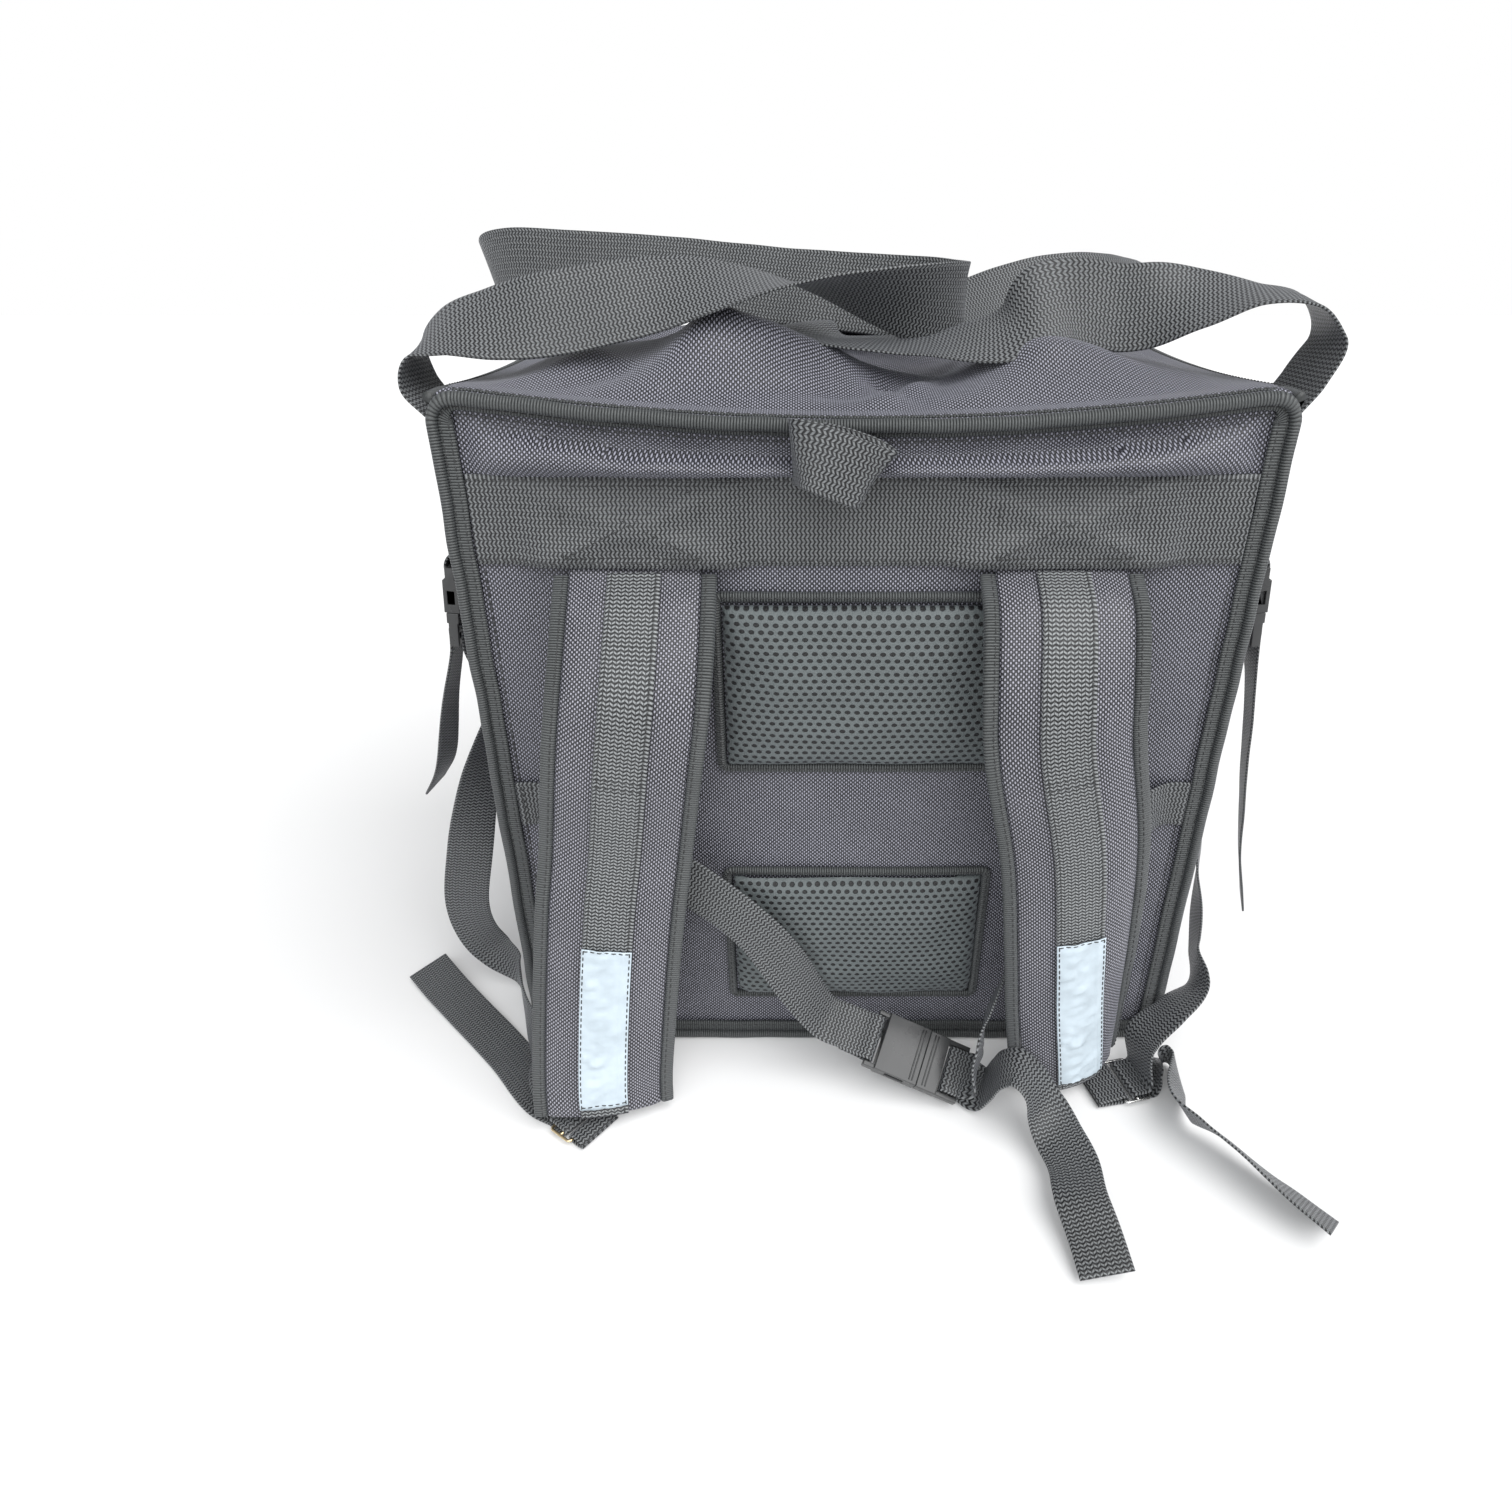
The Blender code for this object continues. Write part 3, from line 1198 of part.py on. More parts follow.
def main():
    """Builds the backpack, piece by piece."""
    clear_scene()
    bag = bpy.data.collections.new("delivery_backpack")
    bpy.context.scene.collection.children.link(bag)
    finishes = {
        "cloth": material("woven cloth", (0.060, 0.060, 0.070), 0.75),
        "mesh": material("spacer mesh", (0.050, 0.056, 0.056), 0.85),
        "webbing": material("webbing", (0.050, 0.050, 0.052), 0.70),
        "binding": material("binding tape", (0.040, 0.042, 0.042), 0.80),
        "reflector": material("reflective tape", (0.72, 0.78, 0.82), 0.35),
        "plastic": material("buckle plastic", (0.050, 0.050, 0.050), 0.45),
        "metal": material("slider metal", (0.60, 0.55, 0.46), 0.35, 1.0),
    }
    make_body(bag, finishes["cloth"])
    make_lid(bag, finishes["cloth"])
    make_panel_binding(bag, "back_binding", -1.0, finishes["binding"])
    make_panel_binding(bag, "front_binding", 1.0, finishes["binding"])
    make_band(bag, finishes["webbing"])
    make_hanging_loop(bag, finishes["webbing"])
    make_pad(bag, "upper_pad", UPPER_PAD_Z, finishes["mesh"], finishes["binding"])
    make_pad(bag, "lower_pad", LOWER_PAD_Z, finishes["mesh"], finishes["binding"])
    for side in SIDES:
        make_rim_binding(bag, side, finishes["binding"])
        path = make_shoulder_strap(bag, side, finishes)
        make_adjuster(bag, side, path, finishes)
        make_side_strap(bag, side, finishes)
        make_handle(bag, side, finishes["webbing"])
    make_waist_belt(bag, finishes)


main()
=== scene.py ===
"""The looks of an insulated delivery backpack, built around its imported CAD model.

Lengths are metres in the frame of the CAD model: +Z up, the origin in the middle of the base,
and the wearer's side, with the shoulder straps, at -Y. Every soft piece is a surface computed
as a numpy grid and given to Blender in one go, with UVs in metres, so that the weaves of the
shared shader groups have one scale everywhere.
"""

import json
import logging
import math
from dataclasses import dataclass, field
from enum import Enum
from typing import Callable, Iterable, Sequence

import bmesh
import bpy
import numpy as np
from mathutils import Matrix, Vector

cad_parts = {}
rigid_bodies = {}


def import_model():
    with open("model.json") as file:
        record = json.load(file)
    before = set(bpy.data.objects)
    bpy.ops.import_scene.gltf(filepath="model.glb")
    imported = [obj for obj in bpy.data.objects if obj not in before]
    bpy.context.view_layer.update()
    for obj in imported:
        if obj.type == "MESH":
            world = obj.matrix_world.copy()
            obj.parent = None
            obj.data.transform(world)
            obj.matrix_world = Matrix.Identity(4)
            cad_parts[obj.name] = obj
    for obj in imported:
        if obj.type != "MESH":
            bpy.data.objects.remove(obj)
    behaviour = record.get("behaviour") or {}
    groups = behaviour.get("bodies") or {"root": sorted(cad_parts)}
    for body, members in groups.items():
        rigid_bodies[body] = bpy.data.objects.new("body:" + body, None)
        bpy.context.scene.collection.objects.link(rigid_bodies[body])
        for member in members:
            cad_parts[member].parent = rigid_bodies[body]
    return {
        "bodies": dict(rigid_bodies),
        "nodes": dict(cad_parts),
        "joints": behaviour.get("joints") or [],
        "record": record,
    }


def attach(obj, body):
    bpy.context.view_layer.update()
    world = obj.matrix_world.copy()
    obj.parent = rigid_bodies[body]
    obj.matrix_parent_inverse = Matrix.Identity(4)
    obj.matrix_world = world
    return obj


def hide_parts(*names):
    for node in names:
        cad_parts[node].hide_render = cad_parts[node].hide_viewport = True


log = logging.getLogger("delivery_backpack")

# Body
BODY_WIDTH = 0.450
BODY_DEPTH = 0.350
BODY_HEIGHT = 0.450
BASE_CORNER = 0.020
PANEL_BULGE = 0.006
STRIP_PUFF = 0.005
RIM_SAG = 0.014
SIDE_SAG = 0.006
SEAM_GAP = 0.0004
STITCH_GAP = 0.0008
FLOOR_GAP = 0.0006
LID_THICKNESS = 0.006
LID_GAP = 0.0007
HANDLE_GAP = 0.0028
LID_PUFF = 0.020
HUMP_RISE = 0.026

# Seams and webbing
BINDING_WIDTH = 0.014
BINDING_THICKNESS = 0.006
BINDING_PROUD = 0.005
BAND_WIDTH = 0.050
BAND_LOW = 0.363
WEBBING_WIDTH = 0.032
WEBBING_THICKNESS = 0.0015
WALL_GAP = 0.0011

# Pads and shoulder straps
STRAP_WIDTH = 0.092
STRAP_TUCK_THICKNESS = 0.005

# Pressure that puffs the pads up, in the simulation's own units.
PAD_PRESSURE = 4.0

# Hardware
HANDLE_END_Z = 0.376

BAND_TOP = BAND_LOW + BAND_WIDTH
LAND = BINDING_WIDTH - BINDING_PROUD + 0.008
RIM_LAND = BINDING_WIDTH - BINDING_PROUD + 0.001

Array = np.ndarray
Row = tuple[float, ...]
Route = Sequence[tuple[float, float, float, tuple[float, float, float]]]


class Side(Enum):
    """The two sides of the bag, as the wearer's panel is seen."""

    LEFT = -1.0
    RIGHT = 1.0

    @property
    def word(self) -> str:
        """The side's name, as the CAD nodes spell it."""
        return self.name.lower()


STRAP_X = {Side.LEFT: -0.1265, Side.RIGHT: 0.1135}

# How far a slider's middle lies outside and in front of the strap's foot, the bearing of the
# webbing that leaves it, and the length of the loop that holds it.
SLIDERS = {
    Side.LEFT: (0.0172, -0.0009, -37.0, 0.010),
    Side.RIGHT: (0.0375, -0.0038, -14.0, 0.020),
}

# Webbing width, length of the socket and of the plug outside each other, and thickness.
WAIST_BUCKLE = (0.032, 0.038, 0.030, 0.011)
SIDE_BUCKLE = (0.025, 0.028, 0.022, 0.009)

# Slack humps of the lid, in shares of the half width and half depth, and of HUMP_RISE.
HUMPS = (
    (-0.35, -0.55, 0.20, 0.36, 1.00),
    (0.54, -0.55, 0.17, 0.34, 0.50),
    (-0.76, -0.50, 0.17, 0.34, 0.66),
    (0.14, -0.42, 0.17, 0.42, -0.58),
    (0.05, 0.45, 0.40, 0.30, 0.35),
    (0.70, 0.30, 0.18, 0.30, -0.25),
)

# Folds that the lid's slack cloth throws: both ends in shares of the half width and half depth,
# the fold's half width in metres, and its height.
FOLDS = (
    ((-0.60, -0.98), (-0.40, -0.64), 0.013, 0.0070),
    ((-0.34, -0.60), (0.10, -0.46), 0.016, 0.0110),
    ((-0.44, -0.88), (-0.06, -0.78), 0.012, -0.0090),
    ((-0.02, -0.98), (0.16, -0.62), 0.010, 0.0080),
    ((0.18, -0.96), (0.08, -0.66), 0.008, -0.0070),
    ((0.22, -0.98), (0.42, -0.70), 0.014, 0.0070),
    ((0.42, -0.58), (0.80, -0.70), 0.020, 0.0090),
    ((0.44, -0.92), (0.76, -0.90), 0.010, -0.0070),
    ((-0.94, -0.92), (-0.70, -0.66), 0.010, 0.0090),
    ((-0.82, -0.97), (-0.62, -0.76), 0.008, -0.0080),
    ((-0.70, 0.10), (-0.10, 0.42), 0.016, 0.0090),
    ((-0.10, 0.42), (0.55, 0.20), 0.016, 0.0080),
    ((0.30, 0.95), (0.62, 0.45), 0.012, 0.0070),
    ((-0.60, 0.92), (-0.30, 0.50), 0.012, 0.0070),
)

# Soft folds of the strip of cloth above the band, in metres across and up.
STRIP_FOLDS = (
    ((-0.190, 0.422), (-0.110, 0.440), 0.006, 0.0024),
    ((-0.120, 0.420), (-0.070, 0.432), 0.005, 0.0022),
    ((-0.085, 0.438), (-0.020, 0.428), 0.005, -0.0016),
    ((-0.060, 0.418), (-0.030, 0.434), 0.005, 0.0018),
    ((0.020, 0.420), (0.060, 0.436), 0.005, 0.0022),
    ((0.070, 0.432), (0.120, 0.418), 0.006, 0.0024),
    ((0.110, 0.438), (0.180, 0.430), 0.005, -0.0016),
    ((0.150, 0.420), (0.200, 0.436), 0.006, 0.0022),
)

# Shoulder straps: drop, forward, side, yaw and curl, as the CAD model has them.
STRAPS = {
    Side.LEFT: (
        (0.063, 0.28, 0.00, 0, 0),
        (0.165, 0.57, 0.06, 0, 4),
        (0.275, 0.63, 0.21, 0, 6),
        (0.455, 0.61, 0.46, 2, 8),
        (0.556, 0.67, 0.60, 3, 9),
        (0.717, 0.76, 0.78, 5, 11),
        (0.915, 0.88, 0.95, 10, 14),
        (0.966, 0.93, 0.95, 12, 14),
    ),
    Side.RIGHT: (
        (0.058, 0.34, 0.00, 0, 0),
        (0.165, 0.57, 0.00, 0, 4),
        (0.250, 0.62, 0.07, 0, 8),
        (0.450, 0.62, 0.48, 4, 14),
        (0.645, 0.62, 0.71, 9, 22),
        (0.770, 0.62, 0.84, 13, 30),
        (0.915, 0.61, 1.03, 18, 42),
        (0.966, 0.60, 1.09, 20, 46),
    ),
}

# Webbing routes, in shares of half the width, half the depth and the height, with the direction
# of the webbing's width.
SLACK = {
    Side.LEFT: (
        (-1.077, -0.600, 0.540, (0.15, 1.0, 0.1)),
        (-1.155, -0.657, 0.427, (0.60, 0.80, 0.0)),
        (-1.222, -0.714, 0.289, (0.95, 0.30, 0.0)),
        (-1.260, -0.731, 0.189, (1.0, 0.10, 0.0)),
        (-1.249, -0.720, 0.129, (0.90, 0.10, 0.40)),
        (-1.204, -0.709, 0.080, (0.50, 0.10, 0.85)),
        (-1.127, -0.748, 0.053, (0.10, 0.0, 1.0)),
        (-1.084, -0.886, 0.048, (0.0, 0.05, 1.0)),
        (-1.036, -1.040, 0.047, (0.10, 0.10, 1.0)),
        (-0.964, -1.189, 0.040, (0.45, 0.25, 0.85)),
        (-0.925, -1.290, 0.026, (0.65, 0.60, 0.40)),
    ),
    Side.RIGHT: (
        (1.077, -0.600, 0.562, (0.15, 1.0, 0.0)),
        (1.120, -0.657, 0.408, (0.45, 0.90, 0.0)),
        (1.142, -0.714, 0.286, (0.40, 0.90, 0.0)),
        (1.144, -0.790, 0.213, (0.20, 1.0, -0.1)),
        (1.120, -0.920, 0.160, (0.20, 0.90, -0.30)),
        (1.095, -1.060, 0.134, (0.10, 0.90, -0.40)),
        (0.995, -1.172, 0.114, (-0.10, 0.95, -0.20)),
        (0.905, -1.220, 0.072, (-0.25, 0.97, 0.0)),
    ),
}
SLACK_BEND = {Side.LEFT: (0.0050, 0.0008), Side.RIGHT: (0.0010, 0.0040)}
TAIL = {
    Side.LEFT: (
        (-0.930, -1.360, 0.003, (0.66, 0.75, 0.0)),
        (-1.090, -1.130, 0.004, (0.72, 0.69, 0.0)),
        (-1.290, -0.874, 0.008, (0.72, 0.69, 0.05)),
        (-1.400, -0.735, 0.013, (0.75, 0.64, 0.12)),
        (-1.485, -0.621, 0.018, (0.78, 0.60, 0.18)),
    ),
    Side.RIGHT: (
        (0.964, -1.240, 0.021, (-0.20, 0.80, -0.57)),
        (0.996, -1.236, 0.032, (-0.10, 0.45, -0.89)),
        (1.012, -1.270, 0.036, (0.25, 0.25, -0.93)),
        (1.004, -1.335, 0.037, (0.45, 0.05, -0.88)),
        (0.984, -1.400, 0.039, (0.52, 0.0, -0.85)),
        (0.974, -1.460, 0.042, (0.55, 0.05, -0.82)),
        (0.978, -1.520, 0.046, (0.55, 0.10, -0.80)),
        (1.020, -1.590, 0.048, (0.55, 0.25, -0.75)),
        (1.062, -1.655, 0.045, (0.50, 0.43, -0.70)),
        (1.105, -1.725, 0.040, (0.50, 0.43, -0.66)),
        (1.145, -1.793, 0.036, (0.52, 0.45, -0.62)),
        (1.182, -1.850, 0.032, (0.55, 0.48, -0.56)),
        (1.258, -1.960, 0.024, (0.60, 0.50, -0.50)),
    ),
}
BELT_LEFT = (
    (-0.800, -1.100, 0.440, (0.05, 0.25, 1.0)),
    (-0.600, -1.135, 0.390, (0.25, 0.30, 1.0)),
    (-0.420, -1.160, 0.335, (0.45, 0.10, 0.9)),
    (-0.260, -1.190, 0.262, (0.60, 0.10, 0.8)),
)
BELT_RIGHT = (
    (0.800, -1.090, 0.440, (-0.05, 0.25, 1.0)),
    (0.650, -1.100, 0.356, (-0.30, 0.20, 0.9)),
    (0.540, -1.120, 0.262, (-0.25, -0.30, 0.85)),
    (0.476, -1.160, 0.188, (-0.19, -0.73, 0.66)),
    (0.416, -1.240, 0.128, (-0.22, -0.84, 0.30)),
    (0.388, -1.330, 0.092, (-0.32, -0.80, -0.15)),
)
BELT_TAIL = (
    (0.398, -1.360, 0.024, (0.30, 0.90, 0.30)),
    (0.424, -1.388, 0.056, (0.20, 0.95, 0.15)),
    (0.446, -1.408, 0.086, (0.20, 0.95, 0.10)),
    (0.484, -1.431, 0.100, (0.25, 0.92, 0.10)),
    (0.529, -1.471, 0.089, (0.38, 0.85, 0.10)),
    (0.564, -1.531, 0.060, (0.58, 0.70, 0.25)),
    (0.586, -1.617, 0.043, (0.78, 0.50, 0.35)),
    (0.602, -1.700, 0.041, (0.90, 0.28, 0.32)),
    (0.606, -1.753, 0.042, (0.95, 0.10, 0.30)),
    (0.600, -1.870, 0.044, (0.97, -0.05, 0.22)),
    (0.616, -1.991, 0.031, (0.98, -0.10, 0.16)),
    (0.628, -2.117, 0.018, (0.98, -0.15, 0.12)),
)
HANDLES = {
    Side.LEFT: (
        (-1.095, -0.765, 1.010, (0.05, 1.0, 0.10)),
        (-1.088, -0.760, 1.046, (-0.05, 0.97, 0.20)),
        (-1.020, -0.748, 1.066, (-0.12, 0.88, 0.42)),
        (-0.900, -0.725, 1.075, (-0.25, 0.70, 0.65)),
        (-0.780, -0.700, 1.083, (-0.30, 0.55, 0.80)),
        (-0.600, -0.650, 1.098, (-0.25, 0.60, 0.80)),
        (-0.420, -0.590, 1.112, (-0.20, 0.80, 0.60)),
        (-0.200, -0.540, 1.117, (0.0, 1.0, 0.05)),
        (0.060, -0.500, 1.100, (0.0, 0.75, -0.65)),
        (0.200, -0.440, 1.088, (0.0, 0.45, -0.90)),
        (0.290, -0.340, 1.082, (0.0, 0.20, -1.0)),
        (0.285, -0.210, 1.082, (0.0, 0.10, -1.0)),
        (0.130, -0.080, 1.088, (0.0, -0.30, -0.95)),
        (-0.180, 0.080, 1.098, (0.0, -0.45, -0.90)),
        (-0.520, 0.230, 1.110, (0.0, -0.40, -0.92)),
        (-0.860, 0.360, 1.116, (0.05, -0.15, -1.0)),
        (-1.080, 0.450, 1.119, (0.15, -0.10, -1.0)),
        (-1.175, 0.570, 1.108, (0.35, -0.30, -0.90)),
        (-1.165, 0.700, 1.082, (0.35, -0.75, -0.55)),
        (-1.105, 0.765, 1.040, (0.10, -1.0, -0.15)),
    ),
    Side.RIGHT: (
        (1.100, -0.768, 1.015, (0.0, 1.0, 0.05)),
        (1.135, -0.758, 1.060, (0.05, 1.0, 0.12)),
        (1.085, -0.740, 1.098, (0.15, 0.95, 0.10)),
        (0.970, -0.710, 1.108, (0.20, 0.93, 0.15)),
        (0.850, -0.660, 1.100, (0.20, 0.80, 0.50)),
        (0.720, -0.600, 1.090, (0.20, 0.45, 0.90)),
        (0.540, -0.520, 1.076, (0.25, 0.45, 0.90)),
        (0.400, -0.560, 1.056, (0.20, 0.75, 0.55)),
        (0.200, -0.500, 1.042, (0.10, 1.0, 0.15)),
        (0.020, -0.450, 1.042, (0.05, 1.0, 0.05)),
        (-0.130, -0.340, 1.044, (0.45, 0.90, 0.0)),
        (-0.190, -0.150, 1.044, (0.95, 0.25, 0.0)),
        (-0.130, 0.070, 1.044, (0.80, -0.60, 0.0)),
        (0.060, 0.250, 1.048, (0.30, -0.95, -0.05)),
        (0.320, 0.390, 1.060, (0.05, -0.90, -0.40)),
        (0.660, 0.540, 1.088, (0.0, -0.60, -0.80)),
        (0.940, 0.640, 1.098, (0.0, -0.75, -0.60)),
        (1.060, 0.715, 1.098, (-0.05, -0.93, -0.35)),
        (1.140, 0.755, 1.078, (0.0, -1.0, -0.15)),
        (1.120, 0.768, 1.040, (0.05, -1.0, -0.05)),
    ),
}
SIDE_TAIL = {
    Side.LEFT: (
        (-1.155, -0.775, 0.600, (0.1, 1.0, 0.0)),
        (-1.200, -0.750, 0.520, (0.2, 1.0, 0.0)),
        (-1.240, -0.730, 0.455, (0.3, 1.0, 0.1)),
        (-1.290, -0.705, 0.415, (0.3, 1.0, 0.2)),
    ),
    Side.RIGHT: (
        (1.145, -0.790, 0.600, (0.15, 1.0, 0.0)),
        (1.185, -0.800, 0.460, (0.25, 1.0, 0.0)),
        (1.230, -0.800, 0.330, (0.35, 1.0, 0.0)),
        (1.290, -0.790, 0.215, (0.30, 1.0, 0.1)),
    ),
}
LOOP_ROUTE = (
    (-1.06, 0.29, 0.36, (0.0, 0.0, 1.0)),
    (-1.10, 0.52, 0.42, (-0.08, 0.0, 1.0)),
    (-1.03, 0.80, 0.46, (-0.06, 0.0, 1.0)),
    (-0.78, 0.95, 0.43, (0.18, 0.05, 0.98)),
    (-0.34, 1.00, 0.28, (0.33, 0.05, 0.94)),
    (0.04, 0.96, 0.13, (0.38, 0.05, 0.92)),
    (0.19, 0.80, 0.08, (0.60, 0.0, 0.80)),
    (0.08, 0.60, 0.14, (0.62, 0.0, 0.78)),
    (-0.30, 0.45, 0.26, (0.30, 0.0, 0.95)),
    (-0.70, 0.32, 0.34, (0.0, 0.0, 1.0)),
)


# Surfaces that the sewn pieces follow


def inward(value: Array, half: float, land: float) -> Array:
    """0 in the middle of a wall and 1 from the land at its border outwards."""
    return np.minimum(1.0, np.abs(value) / (half - land))


def swell(u: Array, half_u: float, z: Array) -> Array:
    """Share of a wall's bulge at a place along it and a height.

    Args:
        u: Place along the wall.
        half_u: Half the wall's length.
        z: Heights.

    Returns:
        One less the square of the way to the border, along and up, multiplied.
    """
    along = inward(u, half_u, LAND)
    up = inward(z - BODY_HEIGHT / 2, BODY_HEIGHT / 2, max(LAND, BASE_CORNER))
    return (1 - along**2) * (1 - up**2)


def rim_height(x: Array, y: Array) -> Array:
    """Height of the sagging rim.

    Args:
        x: Places across the bag.
        y: Places along its depth.

    Returns:
        The body's height, less both sags, each falling off with the square of the way to the
        corner.
    """
    across = inward(x, BODY_WIDTH / 2, LAND)
    deep = inward(y, BODY_DEPTH / 2, LAND)
    return BODY_HEIGHT - RIM_SAG * (1 - across**2) - SIDE_SAG * (1 - deep**2)


def back_y(x: Array, z: Array) -> Array:
    """y of the outer face of the wearer's panel.

    Args:
        x: Places across the bag.
        z: Heights.

    Returns:
        The flat panel, plus the wall's bulge and a parabola over the strip above the band.
    """
    roof = rim_height(x, BODY_DEPTH / 2) - RIM_LAND
    middle, half = (BAND_TOP + roof) / 2, (roof - BAND_TOP) / 2
    along = inward(x, BODY_WIDTH / 2, LAND)
    puff = STRIP_PUFF * (1 - along**4) * np.maximum(0.0, 1 - ((z - middle) / half) ** 2)
    return -(BODY_DEPTH / 2 + PANEL_BULGE * swell(x, BODY_WIDTH / 2, z) + puff)


def wall_x(y: Array, z: Array) -> Array:
    """Distance of a side wall's outer face from the middle."""
    return BODY_WIDTH / 2 + PANEL_BULGE * swell(y, BODY_DEPTH / 2, z)


def lid_bottom(x: Array, y: Array) -> Array:
    """Height of the underside of the slack lid.

    Args:
        x: Places across the bag.
        y: Places along its depth.

    Returns:
        The rim plus an even puff and one bell curve for each hump, all fading to nothing at the
        border.
    """
    across = inward(x, BODY_WIDTH / 2, LAND)
    deep = inward(y, BODY_DEPTH / 2, LAND)
    fade = (1 - across**4) * (1 - deep**4)
    height = rim_height(x, y) + LID_GAP + LID_PUFF * fade
    for at_x, at_y, reach_x, reach_y, rise in HUMPS:
        off_x = (2 * x / BODY_WIDTH - at_x) / reach_x
        off_y = (2 * y / BODY_DEPTH - at_y) / reach_y
        height = height + HUMP_RISE * rise * np.exp(-(off_x**2) - off_y**2) * fade
    return height


def folded(x: Array, y: Array, folds: Sequence[tuple], half_x: float, half_y: float) -> Array:
    """Height of folds: a rounded ridge along each line, fading past its ends.

    Args:
        x: Places across the bag.
        y: Places along its depth.
        folds: Both ends of each fold, its half width and its height.
        half_x: What one share means in x, metres.
        half_y: What one share means in y, metres.

    Returns:
        The sum of the ridges, each a bell curve across its line that fades past both ends.
    """
    height = np.zeros_like(x)
    for start, end, wide, rise in folds:
        x0, y0, x1, y1 = start[0] * half_x, start[1] * half_y, end[0] * half_x, end[1] * half_y
        size = math.hypot(x1 - x0, y1 - y0)
        way_x, way_y = (x1 - x0) / size, (y1 - y0) / size
        along = ((x - x0) * way_x + (y - y0) * way_y) / size
        off = (x - x0) * way_y - (y - y0) * way_x
        past = np.maximum(np.maximum(-along, along - 1), 0.0) * size
        height = height + rise * np.exp(-((off / wide) ** 2) - (past / (1.6 * wide)) ** 2)
    return height


def ripple(points: Array, reach: float, seed: int, waves: int = 14) -> Array:
    """Smooth, repeatable unevenness, about one high at its crests.

    Args:
        points: Places, with their coordinates last.
        reach: Typical distance from crest to crest.
        seed: Which unevenness it is.
        waves: How many plane waves are added up.

    Returns:
        One number for each place.
    """
    chance = np.random.default_rng(seed)
    total = np.zeros(points.shape[:-1])
    for _ in range(waves):
        way = chance.normal(size=points.shape[-1])
        way /= np.linalg.norm(way)
        length = reach * chance.uniform(0.7, 1.6)
        total += np.sin(points @ way * (2 * math.pi / length) + chance.uniform(0, 2 * math.pi))
    return total / math.sqrt(waves)


# Meshes from grids


@dataclass
class Grid:
    """A surface as a grid of points, with a UV grid in metres.

    Attributes:
        points: (rows, columns, 3) places.
        uv: (rows, columns, 2), one longer where the surface closes on itself.
        ring: Whether the last column joins the first.
        loop: Whether the last row joins the first.
        caps: Whether the first and last rows are closed with a face.
    """

    points: Array
    uv: Array
    ring: bool = False
    loop: bool = False
    caps: bool = False

    def mesh(self, name: str) -> bpy.types.Mesh:
        """The grid as a smooth mesh with its faces pointing along the rows' right hand.

        Args:
            name: Name of the mesh, and so of the piece.

        Returns:
            The mesh.
        """
        rows, columns = self.points.shape[:2]
        r = np.arange(rows if self.loop else rows - 1)[:, None]
        c = np.arange(columns if self.ring else columns - 1)[None, :]
        corners = [(r, c), (r, c + 1), (r + 1, c + 1), (r + 1, c)]
        index = np.stack([(a % rows) * columns + b % columns for a, b in corners], -1)
        loops = index.reshape(-1)
        flat = np.stack([self.uv[a, b] for a, b in corners], 2).reshape(-1, 2)
        sizes = np.full(len(loops) // 4, 4)
        if self.caps:
            first, last = np.arange(columns)[::-1], np.arange(columns) + (rows - 1) * columns
            loops = np.concatenate([loops, first, last])
            flat = np.concatenate([flat, self.uv[0, first], self.uv[-1, :columns]])
            sizes = np.concatenate([sizes, [columns, columns]])
        return make_mesh(name, self.points.reshape(-1, 3), loops, sizes, flat)


def make_mesh(name: str, points: Array, loops: Array, sizes: Array, uv: Array) -> bpy.types.Mesh:
    """A mesh from flat arrays, shaded smooth, with one UV layer.

    Args:
        name: Name of the mesh, and so of the piece.
        points: Places of the vertices.
        loops: Vertex of each face corner.
        sizes: Number of corners of each face.
        uv: UV of each face corner.

    Returns:
        The mesh.
    """
    mesh = bpy.data.meshes.new(name)
    mesh.vertices.add(len(points))
    mesh.vertices.foreach_set("co", np.ascontiguousarray(points, np.float32).ravel())
    mesh.loops.add(len(loops))
    mesh.loops.foreach_set("vertex_index", np.ascontiguousarray(loops, np.int32))
    mesh.polygons.add(len(sizes))
    starts = np.concatenate([[0], np.cumsum(sizes)[:-1]]).astype(np.int32)
    mesh.polygons.foreach_set("loop_start", starts)
    mesh.update(calc_edges=True)
    layer = mesh.uv_layers.new(name="weave")
    layer.data.foreach_set("uv", np.ascontiguousarray(uv, np.float32).ravel())
    mesh.validate()
    mesh.shade_smooth()
    return mesh


def add_piece(
    mesh: bpy.types.Mesh, finish: bpy.types.Material, replaced: Sequence[str] = ()
) -> bpy.types.Object:
    """Puts a finished mesh in the scene, riding on the bag.

    Args:
        mesh: The mesh.
        finish: Its material.
        replaced: CAD nodes that it stands for.

    Returns:
        The object.
    """
    piece = bpy.data.objects.new(mesh.name, mesh)
    mesh.materials.clear()
    mesh.materials.append(finish)
    bpy.context.scene.collection.objects.link(piece)
    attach(piece, "root")
    if replaced:
        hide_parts(*replaced)
    log.info("%s: %d faces", piece.name, len(mesh.polygons))
    return piece


# Paths


